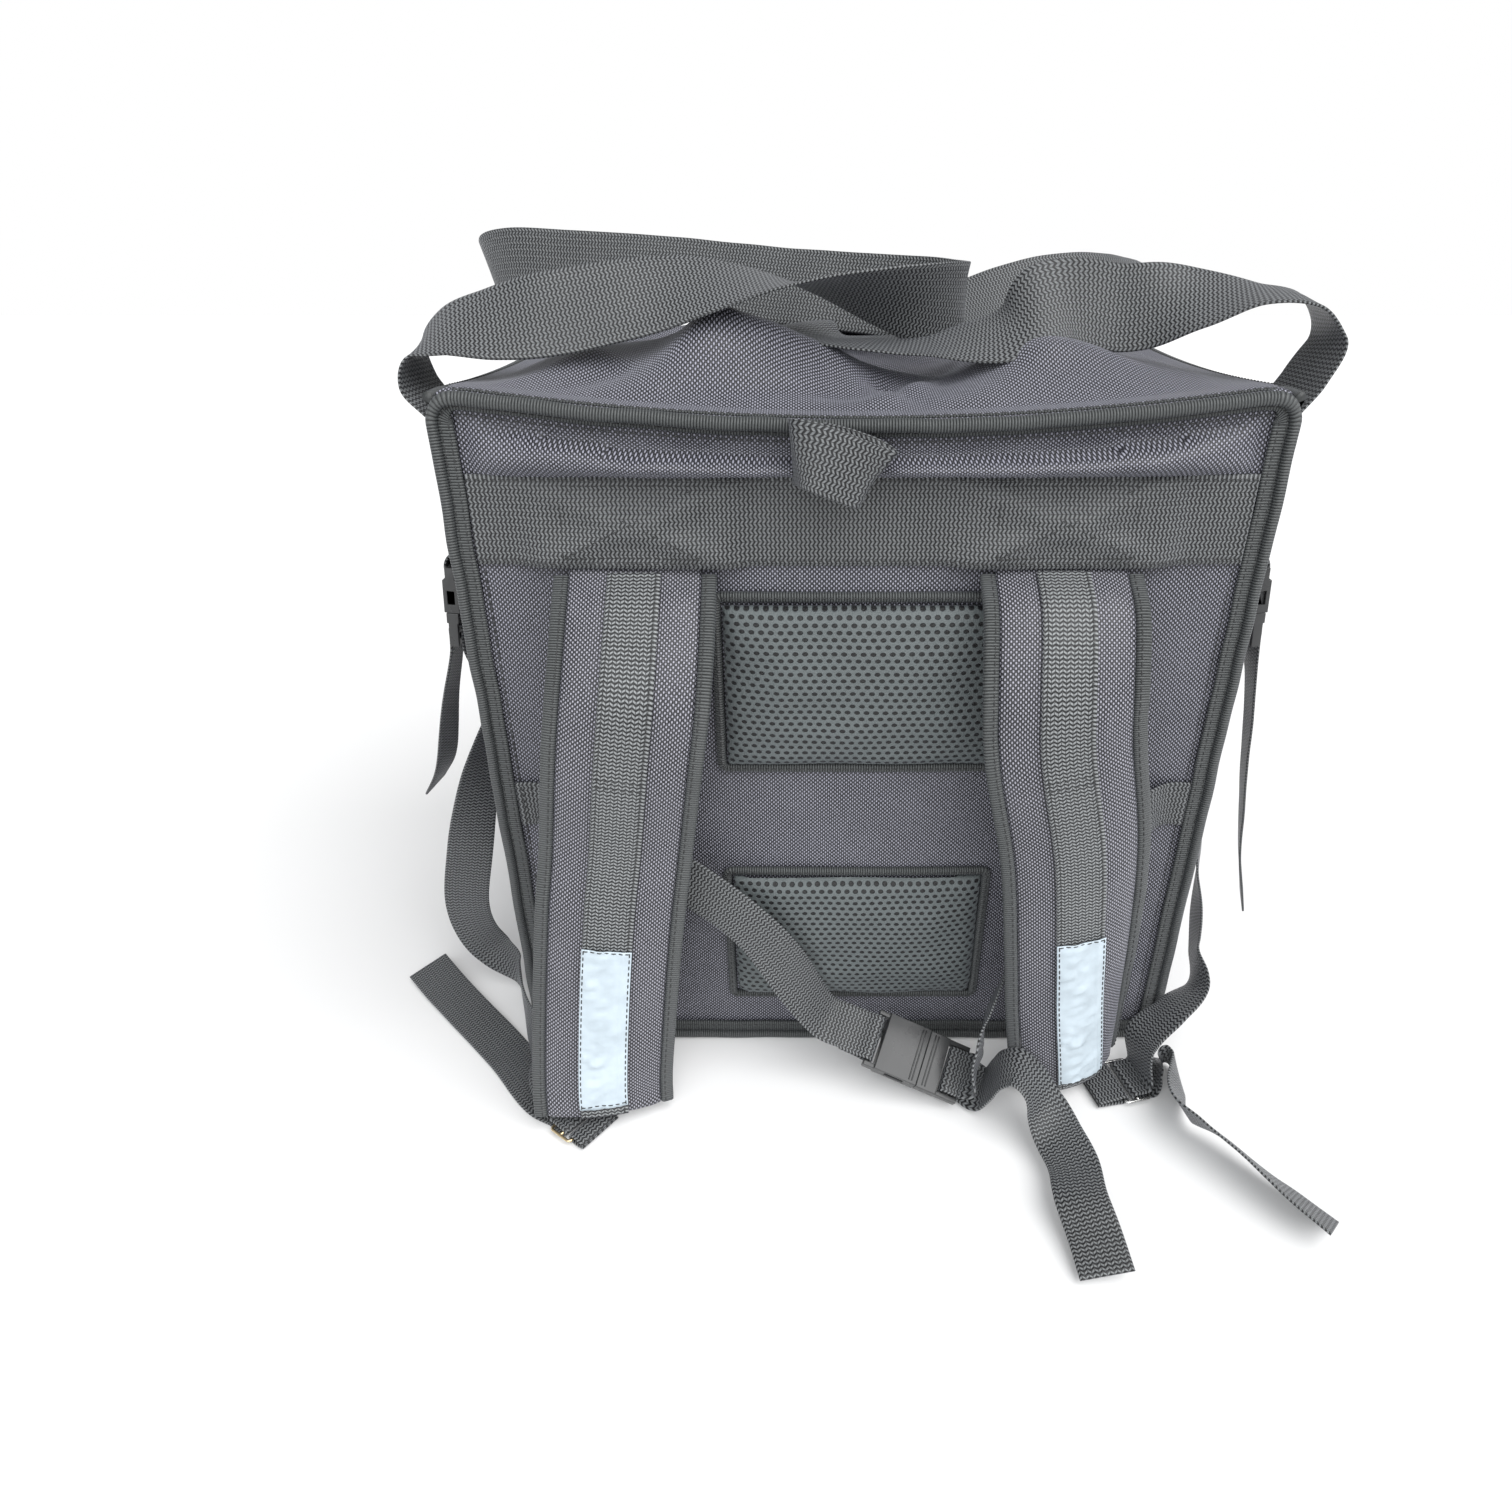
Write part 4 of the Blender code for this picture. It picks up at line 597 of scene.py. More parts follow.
def smooth(rows: Array, fine: int = 24) -> Array:
    """The smooth curve through rows of numbers, x, y, z first.

    Args:
        rows: Rows of the route.
        fine: Points made of each leg.

    Returns:
        Points of a cubic through the rows, whose tangents weigh each leg by the root of the other's
        length.
    """
    legs = np.linalg.norm(np.diff(rows[:, :3], axis=0), axis=1)
    spans = np.sqrt(np.maximum(legs, 1e-7))
    slopes = np.diff(rows, axis=0) / spans[:, None]
    before, after = spans[:-1, None], spans[1:, None]
    inner = (slopes[:-1] * after + slopes[1:] * before) / (before + after)
    tangents = np.vstack([slopes[:1], inner, slopes[-1:]])
    t = np.linspace(0, 1, fine, endpoint=False)[None, :, None]
    a, b = rows[:-1, None], rows[1:, None]
    ta, tb = (tangents[:-1] * spans[:, None])[:, None], (tangents[1:] * spans[:, None])[:, None]
    curve = a * (2 * t**3 - 3 * t**2 + 1) + b * (3 * t**2 - 2 * t**3)
    curve = curve + ta * (t**3 - 2 * t**2 + t) + tb * (t**3 - t**2)
    return np.vstack([curve.reshape(-1, rows.shape[1]), rows[-1:]])


def unit(vectors: Array) -> Array:
    """The vectors at length one."""
    return vectors / np.maximum(np.linalg.norm(vectors, axis=-1, keepdims=True), 1e-12)


def lengths_along(points: Array) -> Array:
    """Distance from the first point along the path, at each point."""
    legs = np.linalg.norm(np.diff(points, axis=0), axis=1)
    return np.concatenate([[0], np.cumsum(legs)])


def stations(rows: Array, step: float, turn: float) -> Array:
    """Rows read from the smooth curve, closer together where it turns.

    Args:
        rows: Rows of the route.
        step: Longest distance between stations.
        turn: Largest turn between stations, radians.

    Returns:
        Rows spaced so that step lengths and turns, added up, are equal from each to the next.
    """
    dense = smooth(np.asarray(rows, float))
    legs = np.diff(dense[:, :3], axis=0)
    sizes = np.maximum(np.linalg.norm(legs, axis=1), 1e-9)
    heading = legs / sizes[:, None]
    bend = np.arccos(np.clip((heading[1:] * heading[:-1]).sum(1), -1, 1))
    cost = sizes / step + np.concatenate([[0], bend]) / turn
    measure = np.concatenate([[0], np.cumsum(cost)])
    at = np.linspace(0, measure[-1], int(math.ceil(measure[-1])) + 1)
    return np.stack([np.interp(at, measure, dense[:, k]) for k in range(dense.shape[1])], 1)


def headings_of(centres: Array) -> Array:
    """Direction of a path at each of its points."""
    legs = unit(np.diff(centres, axis=0))
    return unit(np.vstack([legs[:1], legs[:-1] + legs[1:], legs[-1:]]))


def square_to(heading: Array, across: Array) -> Array:
    """The across directions made square to the headings, of length one."""
    return unit(across - heading * (across * heading).sum(-1, keepdims=True))


def untwisted(rows: Sequence[Row]) -> Array:
    """The rows with each across direction turned end for end where that twists less.

    Args:
        rows: Rows of the route.

    Returns:
        The rows, with across directions of length one.
    """
    found = np.array(rows, float)
    found[:, 3:6] = unit(found[:, 3:6])
    for k in range(1, len(found)):
        if found[k, 3:6] @ found[k - 1, 3:6] < 0:
            found[k, 3:6] *= -1
    return found


def placed(route: Route) -> list[Row]:
    """Route rows in shares of the body's size as rows in metres."""
    return [
        (x * BODY_WIDTH / 2, y * BODY_DEPTH / 2, z * BODY_HEIGHT, *across)
        for x, y, z, across in route
    ]


def floor_height(x: Array, y: Array) -> Array:
    """Height above which loose webbing stays, away from the bag."""
    return np.full(np.shape(x), FLOOR_GAP)


def lid_ground(x: Array, y: Array) -> Array:
    """Height above which a handle stays: the lid, or the floor beside the bag."""
    outside = (np.abs(x) > BODY_WIDTH / 2) | (np.abs(y) > BODY_DEPTH / 2)
    return np.where(outside, FLOOR_GAP, lid_bottom(x, y) + LID_THICKNESS + HANDLE_GAP)


def slab(width: float, thickness: float, count: int = 15) -> tuple[Array, Array]:
    """A flat section with rounded edges: its (across, up) places and their u.

    Args:
        width: Its width.
        thickness: Its thickness.
        count: Points on each flat face.

    Returns:
        The section, and the u of its points with the first one again.
    """
    radius = thickness / 2
    flat = np.linspace(-width / 2 + radius, width / 2 - radius, count)
    turn = np.linspace(90, -90, 5)[1:-1] * math.pi / 180
    right = np.stack([width / 2 - radius + radius * np.cos(turn), radius * np.sin(turn)], 1)
    top = np.stack([flat, np.full(count, radius)], 1)
    section = np.vstack([top, right, -top, -right])
    u = np.concatenate([section[:, 0], section[:1, 0]])
    return section, u


@dataclass
class Path:
    """Stations along a route, each with its middle, width direction and normal."""

    centre: Array
    across: Array
    normal: Array
    length: Array = field(init=False)

    def __post_init__(self) -> None:
        """Measures the path."""
        self.length = lengths_along(self.centre)

    @classmethod
    def along(
        cls, rows: Sequence[Row], step: float = 0.0028, turn: float = 9.0
    ) -> "Path":
        """The path of a webbing route.

        Args:
            rows: Rows of the route.
            step: Longest distance between stations.
            turn: Largest turn between stations, degrees.

        Returns:
            The path.
        """
        made = stations(untwisted(rows), step, math.radians(turn))
        heading = headings_of(made[:, :3])
        across = square_to(heading, made[:, 3:6])
        return cls(made[:, :3], across, np.cross(heading, across))

    def lifted(self, width: float, ground: Callable[[Array, Array], Array]) -> "Path":
        """The path raised where the webbing would go under the ground.

        Args:
            width: Width of the webbing.
            ground: Height that the webbing stays above.

        Returns:
            The path, raised by the depth under the ground, smoothed along it.
        """
        shares = np.array([-1, -0.5, 0, 0.5, 1])[:, None, None]
        places = self.centre + shares * self.across * width / 2
        under = ground(places[..., 0], places[..., 1]) + WEBBING_THICKNESS / 2 - places[..., 2]
        lift = np.maximum(0.0, under.max(0))
        spread = np.exp(-0.5 * ((self.length[:, None] - self.length[None, :]) / 0.006) ** 2)
        lift = np.maximum(lift, (spread * lift[None, :]).sum(1) / spread.sum(1))
        return Path(self.centre + lift[:, None] * (0.0, 0.0, 1.0), self.across, self.normal)

    def swept(self, section: Array, u: Array, waves: Array | None = None) -> Grid:
        """The section carried along the path, closed at both ends.

        Args:
            section: Places across and up, one a row.
            u: The section's u, closed.
            waves: Added rise at each row and point.

        Returns:
            The surface: middle, plus across and normal times the section's two places.
        """
        rise = section[None, :, 1] if waves is None else section[None, :, 1] + waves
        points = (
            self.centre[:, None]
            + self.across[:, None] * section[None, :, 0, None]
            + self.normal[:, None] * rise[..., None]
        )
        uv = np.stack(np.broadcast_arrays(u[None, :], self.length[:, None]), -1)
        return Grid(points, uv, ring=True, caps=True)

    def point(self, along: Array, side: float, rise: float) -> tuple[Array, Array, Array]:
        """Places, headings and normals at these lengths, this far sideways and up.

        Args:
            along: Lengths along the path.
            side: Distance along the width direction.
            rise: Distance along the normal.

        Returns:
            Places, headings and normals.
        """

        def read(values: Array) -> Array:
            """The path's values at these lengths."""
            return np.stack([np.interp(along, self.length, values[:, k]) for k in range(3)], 1)

        across, normal = unit(read(self.across)), unit(read(self.normal))
        centre = read(self.centre) + across * side + normal * rise
        return centre, unit(np.cross(across, normal)), normal


# Shader graphs


@dataclass
class Graph:
    """A node tree that is filled by short calls."""

    tree: bpy.types.NodeTree

    def node(self, kind: str, **settings: object) -> bpy.types.Node:
        """A new node with these properties.

        Args:
            kind: Name of the node's type.
            settings: Properties that are set on it.

        Returns:
            The node.
        """
        made = self.tree.nodes.new(kind)
        for name, value in settings.items():
            setattr(made, name, value)
        return made

    def feed(self, socket: bpy.types.NodeSocket, value: object) -> None:
        """Links a socket to the input, or sets a constant on it."""
        if isinstance(value, bpy.types.NodeSocket):
            self.tree.links.new(value, socket)
        else:
            socket.default_value = value

    def math(self, operation: str, *values: object, clamp: bool = False) -> bpy.types.NodeSocket:
        """A Math node.

        Args:
            operation: Name of the operation.
            values: Inputs, each a socket or a number.
            clamp: Whether the result stays between 0 and 1.

        Returns:
            Its result.
        """
        made = self.node("ShaderNodeMath", operation=operation, use_clamp=clamp)
        for socket, value in zip(made.inputs, values):
            self.feed(socket, value)
        return made.outputs[0]

    def spread(
        self, value: object, low: float, high: float, to: Sequence[float] = (0, 1)
    ) -> bpy.types.NodeSocket:
        """The value mapped from a range to another, clamped and eased.

        Args:
            value: The input.
            low: Where the range starts.
            high: Where the range ends.
            to: The range that it is mapped to.

        Returns:
            The mapped value.
        """
        made = self.node("ShaderNodeMapRange", interpolation_type="SMOOTHSTEP")
        for socket, number in zip(made.inputs[1:5], (low, high, *to)):
            socket.default_value = number
        self.feed(made.inputs[0], value)
        return made.outputs[0]

    def noise(
        self, vector: object, scale: float, detail: float = 3.0, rough: float = 0.55
    ) -> bpy.types.NodeSocket:
        """A noise texture's value.

        Args:
            vector: Coordinates, metres.
            scale: Features for each metre.
            detail: Octaves of the noise.
            rough: Weight of the fine octaves.

        Returns:
            A value between 0 and 1.
        """
        made = self.node("ShaderNodeTexNoise")
        made.inputs["Scale"].default_value = scale
        made.inputs["Detail"].default_value = detail
        made.inputs["Roughness"].default_value = rough
        self.feed(made.inputs["Vector"], vector)
        return made.outputs["Fac"]

    def mix(self, share: object, first: object, second: object) -> bpy.types.NodeSocket:
        """A colour between two.

        Args:
            share: Share of the second colour.
            first: The first colour.
            second: The second colour.

        Returns:
            The colour.
        """
        made = self.node("ShaderNodeMix", data_type="RGBA")
        self.feed(made.inputs[0], share)
        self.feed(made.inputs[6], first)
        self.feed(made.inputs[7], second)
        return made.outputs[2]


def group(name: str, build: Callable[[Graph, object, object], object]) -> bpy.types.NodeTree:
    """A shader group with a Vector and a Pitch, and a Height between 0 and 1.

    Args:
        name: The group's name.
        build: Function that fills the group and returns its height.

    Returns:
        The group.
    """
    tree = bpy.data.node_groups.new(name, "ShaderNodeTree")
    tree.interface.new_socket("Vector", in_out="INPUT", socket_type="NodeSocketVector")
    tree.interface.new_socket("Pitch", in_out="INPUT", socket_type="NodeSocketFloat")
    tree.interface.new_socket("Height", in_out="OUTPUT", socket_type="NodeSocketFloat")
    graph = Graph(tree)
    entry, leave = graph.node("NodeGroupInput"), graph.node("NodeGroupOutput")
    graph.feed(leave.inputs[0], build(graph, entry.outputs[0], entry.outputs[1]))
    return tree


def split(graph: Graph, vector: object, pitch: object) -> tuple[object, object]:
    """The vector's first two coordinates, counted in threads.

    Args:
        graph: The tree that it is built in.
        vector: Coordinates, metres.
        pitch: Distance between threads.

    Returns:
        The two coordinates, in threads.
    """
    parts = graph.node("ShaderNodeSeparateXYZ")
    graph.feed(parts.inputs[0], vector)
    return (
        graph.math("DIVIDE", parts.outputs[0], pitch),
        graph.math("DIVIDE", parts.outputs[1], pitch),
    )


def build_plain_weave(graph: Graph, vector: object, pitch: object) -> object:
    """Threads that go over and under each other in turn.

    Args:
        graph: The tree that it is built in.
        vector: Coordinates, metres.
        pitch: Distance between threads.

    Returns:
        The height, the larger of the two directions of threads.
    """
    u, v = split(graph, vector, pitch)

    def threads(side: object, along: object, shift: float) -> object:
        """Height of the threads of one direction: a round top where they go over."""
        round_top = graph.math("ABSOLUTE", graph.math("SINE", graph.math("MULTIPLY", side, math.pi)))
        order = graph.math("ADD", graph.math("FLOOR", side), shift)
        phase = graph.math("MULTIPLY", graph.math("ADD", along, order), math.pi)
        over = graph.math("MULTIPLY_ADD", graph.math("COSINE", phase), 0.5, 0.5)
        return graph.math("MULTIPLY", graph.math("POWER", round_top, 0.7), over)

    under = graph.math("MULTIPLY", threads(v, u, -0.5), 0.36)
    return graph.spread(graph.math("MAXIMUM", threads(u, v, 0.5), under), 0.20, 0.86)


def build_herringbone(graph: Graph, vector: object, pitch: object) -> object:
    """Slanted ribs that turn back at every column, as strap webbing has.

    Args:
        graph: The tree that it is built in.
        vector: Coordinates, metres.
        pitch: Distance between threads.

    Returns:
        The height: a wave along a slant that turns back, lower between columns.
    """
    u, v = split(graph, vector, pitch)
    column = graph.math("PINGPONG", u, 0.85)
    slant = graph.math("ADD", v, graph.math("MULTIPLY", column, 0.65))
    rib = graph.math("COSINE", graph.math("MULTIPLY", slant, 2 * math.pi))
    rib = graph.spread(rib, -0.75, 0.55)
    cord = graph.math("SINE", graph.math("MULTIPLY", u, math.pi / 0.85))
    cord = graph.spread(graph.math("ABSOLUTE", cord), 0.0, 0.55, (0.35, 1.0))
    return graph.math("MULTIPLY", rib, cord)


def build_ribs(graph: Graph, vector: object, pitch: object) -> object:
    """Fine ribs across a tape."""
    _, v = split(graph, vector, pitch)
    return graph.math("ABSOLUTE", graph.math("SINE", graph.math("MULTIPLY", v, math.pi)))


def build_hexagons(graph: Graph, vector: object, pitch: object) -> object:
    """Distance from the nearest hole of a hexagonal net, 0 in a hole's middle.

    Args:
        graph: The tree that it is built in.
        vector: Coordinates, metres.
        pitch: Distance between holes.

    Returns:
        The distance, clamped to 1.
    """
    u, v = split(graph, vector, pitch)
    tall = 1.46

    def lattice(shift: float) -> object:
        """Distance from the nearest hole of one of the net's two grids."""
        x = graph.math("SUBTRACT", graph.math("FRACT", graph.math("ADD", u, shift)), 0.5)
        y = graph.math("ADD", graph.math("DIVIDE", v, tall), shift)
        y = graph.math("MULTIPLY", graph.math("SUBTRACT", graph.math("FRACT", y), 0.5), tall)
        y = graph.math("MULTIPLY", y, 1.35)
        square = graph.math("ADD", graph.math("MULTIPLY", x, x), graph.math("MULTIPLY", y, y))
        return graph.math("SQRT", square)

    near = graph.math("MINIMUM", lattice(0.0), lattice(0.5))
    return graph.math("MULTIPLY", near, 1.9, clamp=True)


class Weave(Enum):
    """The patterns of the bag's cloths, with the pitch of their threads."""

    CLOTH = ("plain_weave", build_plain_weave, 0.00140)
    WEBBING = ("herringbone", build_herringbone, 0.0024)
    RIBBED = ("ribbed_tape", build_ribs, 0.0016)
    NET = ("hexagon_net", build_hexagons, 0.0056)


@dataclass(frozen=True)
class Cloth:
    """A woven finish.

    Attributes:
        name: The material's name.
        weave: Its pattern.
        low: Painted shade: the colour in the hollows between the threads and in the net's holes.
        high: Colour on top of the threads: their own tone, brightened and tinted as a painted highlight.
        rough: Roughness.
        depth: Height of the weave, metres.
        sheen: Strength of the fibres' sheen.
        tint: Colour of that sheen.
        plane: Whether the pattern is read from x and z, not from the UVs.
        pitch: Pitch of the threads, where it isn't the weave's own.
        blotch_scale: Blotches for each metre.
        blotch: How far a blotch moves the tone.
        fibre_scale: Fibres for each metre.
        fibre: How far a fibre moves the tone.
        fuzz: Height of the fibres as a share of the weave's.
        uneven_rough: How far a fibre moves the roughness.
        bump: Strength of the bump.
        net_edge: Distances from a hole's middle where the net begins and is full.
    """

    name: str
    weave: Weave
    low: tuple[float, float, float]
    high: tuple[float, float, float]
    rough: float = 0.7
    depth: float = 0.00035
    sheen: float = 0.15
    tint: tuple[float, float, float] = (0.6, 0.62, 0.7)
    plane: bool = False
    pitch: float = 0.0
    blotch_scale: float = 22.0
    blotch: float = 0.14
    fibre_scale: float = 900.0
    fibre: float = 0.55
    fuzz: float = 0.35
    uneven_rough: float = 0.25
    bump: float = 0.75
    net_edge: tuple[float, float] = (0.46, 0.64)

    def build(self, groups: dict[Weave, bpy.types.NodeTree]) -> bpy.types.Material:
        """The finish as a material.

        Args:
            groups: The shared groups.

        Returns:
            The material.
        """
        finish = bpy.data.materials.new(self.name)
        finish.use_nodes = True
        graph = Graph(finish.node_tree)
        shader = finish.node_tree.nodes["Principled BSDF"]
        coordinates = graph.node("ShaderNodeTexCoord")
        place = coordinates.outputs["Object"]
        vector = coordinates.outputs["UV"]
        if self.plane:
            parts = graph.node("ShaderNodeSeparateXYZ")
            graph.feed(parts.inputs[0], place)
            joined = graph.node("ShaderNodeCombineXYZ")
            graph.feed(joined.inputs[0], parts.outputs[0])
            graph.feed(joined.inputs[1], parts.outputs[2])
            vector = joined.outputs[0]
        pattern = graph.node("ShaderNodeGroup", node_tree=groups[self.weave])
        graph.feed(pattern.inputs[0], vector)
        pattern.inputs[1].default_value = self.pitch or self.weave.value[2]
        height = pattern.outputs[0]
        blotch = graph.noise(place, self.blotch_scale)
        fibre = graph.noise(place, self.fibre_scale, 2.0)
        if self.weave is Weave.NET:
            height = graph.spread(height, *self.net_edge)
        # The weave's height picks the colour: painted shade in its hollows and the net's holes, and painted
        # highlight on the thread tops. Blotches and fibres add tone that differs at random.
        tone = graph.math("MULTIPLY_ADD", graph.math("SUBTRACT", blotch, 0.5), self.blotch, height)
        strand = graph.math("SUBTRACT", fibre, 0.5)
        tone = graph.math("MULTIPLY_ADD", strand, self.fibre, tone, clamp=True)
        colour = graph.mix(tone, (*self.low, 1.0), (*self.high, 1.0))
        graph.feed(shader.inputs["Base Color"], colour)
        rough = graph.math("MULTIPLY_ADD", strand, self.uneven_rough, self.rough)
        graph.feed(shader.inputs["Roughness"], rough)
        shader.inputs["Sheen Weight"].default_value = self.sheen
        shader.inputs["Sheen Roughness"].default_value = 0.45
        shader.inputs["Sheen Tint"].default_value = (*self.tint, 1.0)
        shader.inputs["Specular IOR Level"].default_value = 0.45
        bump = graph.node("ShaderNodeBump")
        bump.inputs["Strength"].default_value = self.bump
        bump.inputs["Distance"].default_value = self.depth
        fuzzy = graph.math("MULTIPLY_ADD", fibre, self.fuzz, height)
        graph.feed(bump.inputs["Height"], fuzzy)
        graph.feed(shader.inputs["Normal"], bump.outputs[0])
        return finish


@dataclass(frozen=True)
class Solid:
    """A moulded, plated or coated finish.

    Attributes:
        name: The material's name.
        colour: Its colour.
        rough: Roughness.
        metal: Metallic share.
        grain: Scale of its fine grain, for each metre.
        depth: Height of the grain, metres.
        coat: Strength of a clear layer.
        wear_scale: Scale of its worn and clean patches, for each metre.
        darker: Share of its colour that a clean patch has.
        lighter: Share of its colour that a worn patch has.
        uneven_rough: How far a patch moves the roughness.
        bump: Strength of the bump.
    """

    name: str
    colour: tuple[float, float, float]
    rough: float
    metal: float = 0.0
    grain: float = 1400.0
    depth: float = 0.0001
    coat: float = 0.0
    wear_scale: float = 60.0
    darker: float = 0.72
    lighter: float = 1.22
    uneven_rough: float = 0.3
    bump: float = 0.5

    def build(self) -> bpy.types.Material:
        """The finish as a material.

        Returns:
            The material.
        """
        finish = bpy.data.materials.new(self.name)
        finish.use_nodes = True
        graph = Graph(finish.node_tree)
        shader = finish.node_tree.nodes["Principled BSDF"]
        place = graph.node("ShaderNodeTexCoord").outputs["Object"]
        grain = graph.noise(place, self.grain, 4.0)
        wear = graph.noise(place, self.wear_scale, 4.0)
        dark = tuple(value * self.darker for value in self.colour)
        light = tuple(min(1.0, value * self.lighter) for value in self.colour)
        graph.feed(shader.inputs["Base Color"], graph.mix(wear, (*dark, 1.0), (*light, 1.0)))
        patch = graph.math("SUBTRACT", wear, 0.5)
        rough = graph.math("MULTIPLY_ADD", patch, self.uneven_rough, self.rough, clamp=True)
        graph.feed(shader.inputs["Roughness"], rough)
        shader.inputs["Metallic"].default_value = self.metal
        shader.inputs["Coat Weight"].default_value = self.coat
        bump = graph.node("ShaderNodeBump")
        bump.inputs["Strength"].default_value = self.bump
        bump.inputs["Distance"].default_value = self.depth
        graph.feed(bump.inputs["Height"], grain)
        graph.feed(shader.inputs["Normal"], bump.outputs[0])
        return finish


# Each cloth's low colour is painted shade in the weave's hollows. Its high colour is the threads' own tone,
# brightened as a painted highlight.
CLOTHS = (
    Cloth("bag_cloth", Weave.CLOTH, (0.005, 0.005, 0.007), (0.325, 0.325, 0.385), 0.40, 0.0008, 0.28),
    Cloth("strap_cloth", Weave.CLOTH, (0.005, 0.005, 0.007), (0.345, 0.342, 0.392), 0.42, 0.0008, 0.25),
    Cloth("wide_webbing", Weave.WEBBING, (0.003, 0.003, 0.0035), (0.170, 0.178, 0.182), 0.40, 0.0010, 0.18),
    Cloth("strap_webbing", Weave.WEBBING, (0.003, 0.003, 0.0035), (0.250, 0.262, 0.266), 0.40, 0.0010, 0.18),
    Cloth("binding_tape", Weave.RIBBED, (0.002, 0.0025, 0.0025), (0.080, 0.086, 0.086), 0.46, 0.0008, 0.14),
    Cloth(
        "air_mesh", Weave.NET, (0.0008, 0.0008, 0.001), (0.098, 0.113, 0.115), 0.54, 0.0020, 0.15,
        plane=True,
    ),
)
SOLIDS = (
    Solid("buckle_plastic", (0.040, 0.041, 0.042), 0.30, grain=2400.0, depth=0.00006),
    Solid("reflective_tape", (0.47, 0.545, 0.60), 0.42, grain=1800.0, depth=0.00008, coat=0.1),
    Solid("pale_gold", (0.72, 0.58, 0.36), 0.28, 1.0),
    Solid("plated_steel", (0.68, 0.68, 0.67), 0.25, 1.0),
    Solid("sewing_thread", (0.030, 0.031, 0.032), 0.55, grain=3000.0),
)


class Finishes:
    """All materials of the bag, by name."""

    def __init__(self) -> None:
        """Builds the shared groups and the materials."""
        groups = {weave: group(weave.value[0], weave.value[1]) for weave in Weave}
        self.made = {cloth.name: cloth.build(groups) for cloth in CLOTHS}
        self.made.update({solid.name: solid.build() for solid in SOLIDS})

    def __getitem__(self, name: str) -> bpy.types.Material:
        """The material of this name."""
        return self.made[name]


# Stitching


@dataclass
class Stitching:
    """All stitches of one group of seams, gathered into one mesh.

    Attributes:
        length: Length of a stitch.
        pitch: Distance from stitch to stitch.
        radius: Radius of the thread.
        centres: Middles of the stitches, seam by seam.
        headings: Their directions.
        normals: The cloth's normals at them.
    """

    length: float = 0.0032
    pitch: float = 0.0044
    radius: float = 0.00042
    centres: list[Array] = field(default_factory=list)
    headings: list[Array] = field(default_factory=list)
    normals: list[Array] = field(default_factory=list)

    def seam(self, points: Array, normals: Array) -> None:
        """Stitches along a path that lies on the cloth, with the cloth's normals.

        Args:
            points: Places along the seam.
            normals: The cloth's normals there.
        """
        length = lengths_along(points)
        count = int(length[-1] / self.pitch)
        if count < 1:
            return
        at = (np.arange(count) + 0.5) * length[-1] / count

        def read(values: Array) -> Array:
            """The values at the stitches."""
            return np.stack([np.interp(at, length, values[:, k]) for k in range(3)], 1)

        self.centres.append(read(points))
        self.headings.append(unit(read(headings_of(points))))
        self.normals.append(unit(read(normals)))

    def facing(self, points: Array) -> None:
        """Stitches along a path on cloth that faces the wearer."""
        self.seam(points, np.tile((0.0, -1.0, 0.0), (len(points), 1)))

    def along(self, path: Path, side: float, rise: float, low: float, high: float) -> None:
        """Stitches along a path, between two of its lengths."""
        at = np.arange(low, high, 0.002)
        if len(at) > 2:
            points, _, normals = path.point(at, side, rise)
            self.seam(points, normals * math.copysign(1.0, rise))

    def mesh(self, name: str) -> bpy.types.Mesh:
        """The stitches as short rounded threads.

        Args:
            name: Name of the mesh, and so of the piece.

        Returns:
            The mesh, a tapered tube of five sides for each stitch.
        """
        centre = np.concatenate(self.centres)[:, None, None]
        heading = np.concatenate(self.headings)[:, None, None]
        normal = square_to(heading, np.concatenate(self.normals)[:, None, None])
        side = np.cross(heading, normal)
        along = np.array([-0.5, -0.38, 0.0, 0.38, 0.5])[None, :, None, None] * self.length
        fat = np.array([0.35, 0.9, 1.0, 0.9, 0.35])[None, :, None, None] * self.radius
        sink = np.array([-0.9, -0.2, 0.15, -0.2, -0.9])[None, :, None, None] * self.radius
        turn = (np.arange(5) * 2 * math.pi / 5)[None, None, :, None]
        points = centre + heading * along + normal * (sink + fat * np.sin(turn))
        points = points + side * fat * np.cos(turn)
        count = len(points)
        r, c = np.arange(4)[:, None], np.arange(5)[None, :]
        quads = np.stack([r * 5 + c, r * 5 + (c + 1) % 5, (r + 1) * 5 + (c + 1) % 5, (r + 1) * 5 + c], -1)
        quads = quads.reshape(-1, 4)[:, ::-1]
        starts = (np.arange(count) * 25)[:, None]
        sides = (starts[:, :, None] + quads[None]).reshape(-1)
        ends = np.array([0, 1, 2, 3, 4, 24, 23, 22, 21, 20])
        ends = (starts + ends[None, :]).reshape(-1)
        sizes = np.concatenate([np.full(count * 20, 4), np.full(count * 2, 5)])
        loops = np.concatenate([sides, ends])
        return make_mesh(name, points.reshape(-1, 3), loops, sizes, np.zeros((len(loops), 2)))


# The bag's pieces


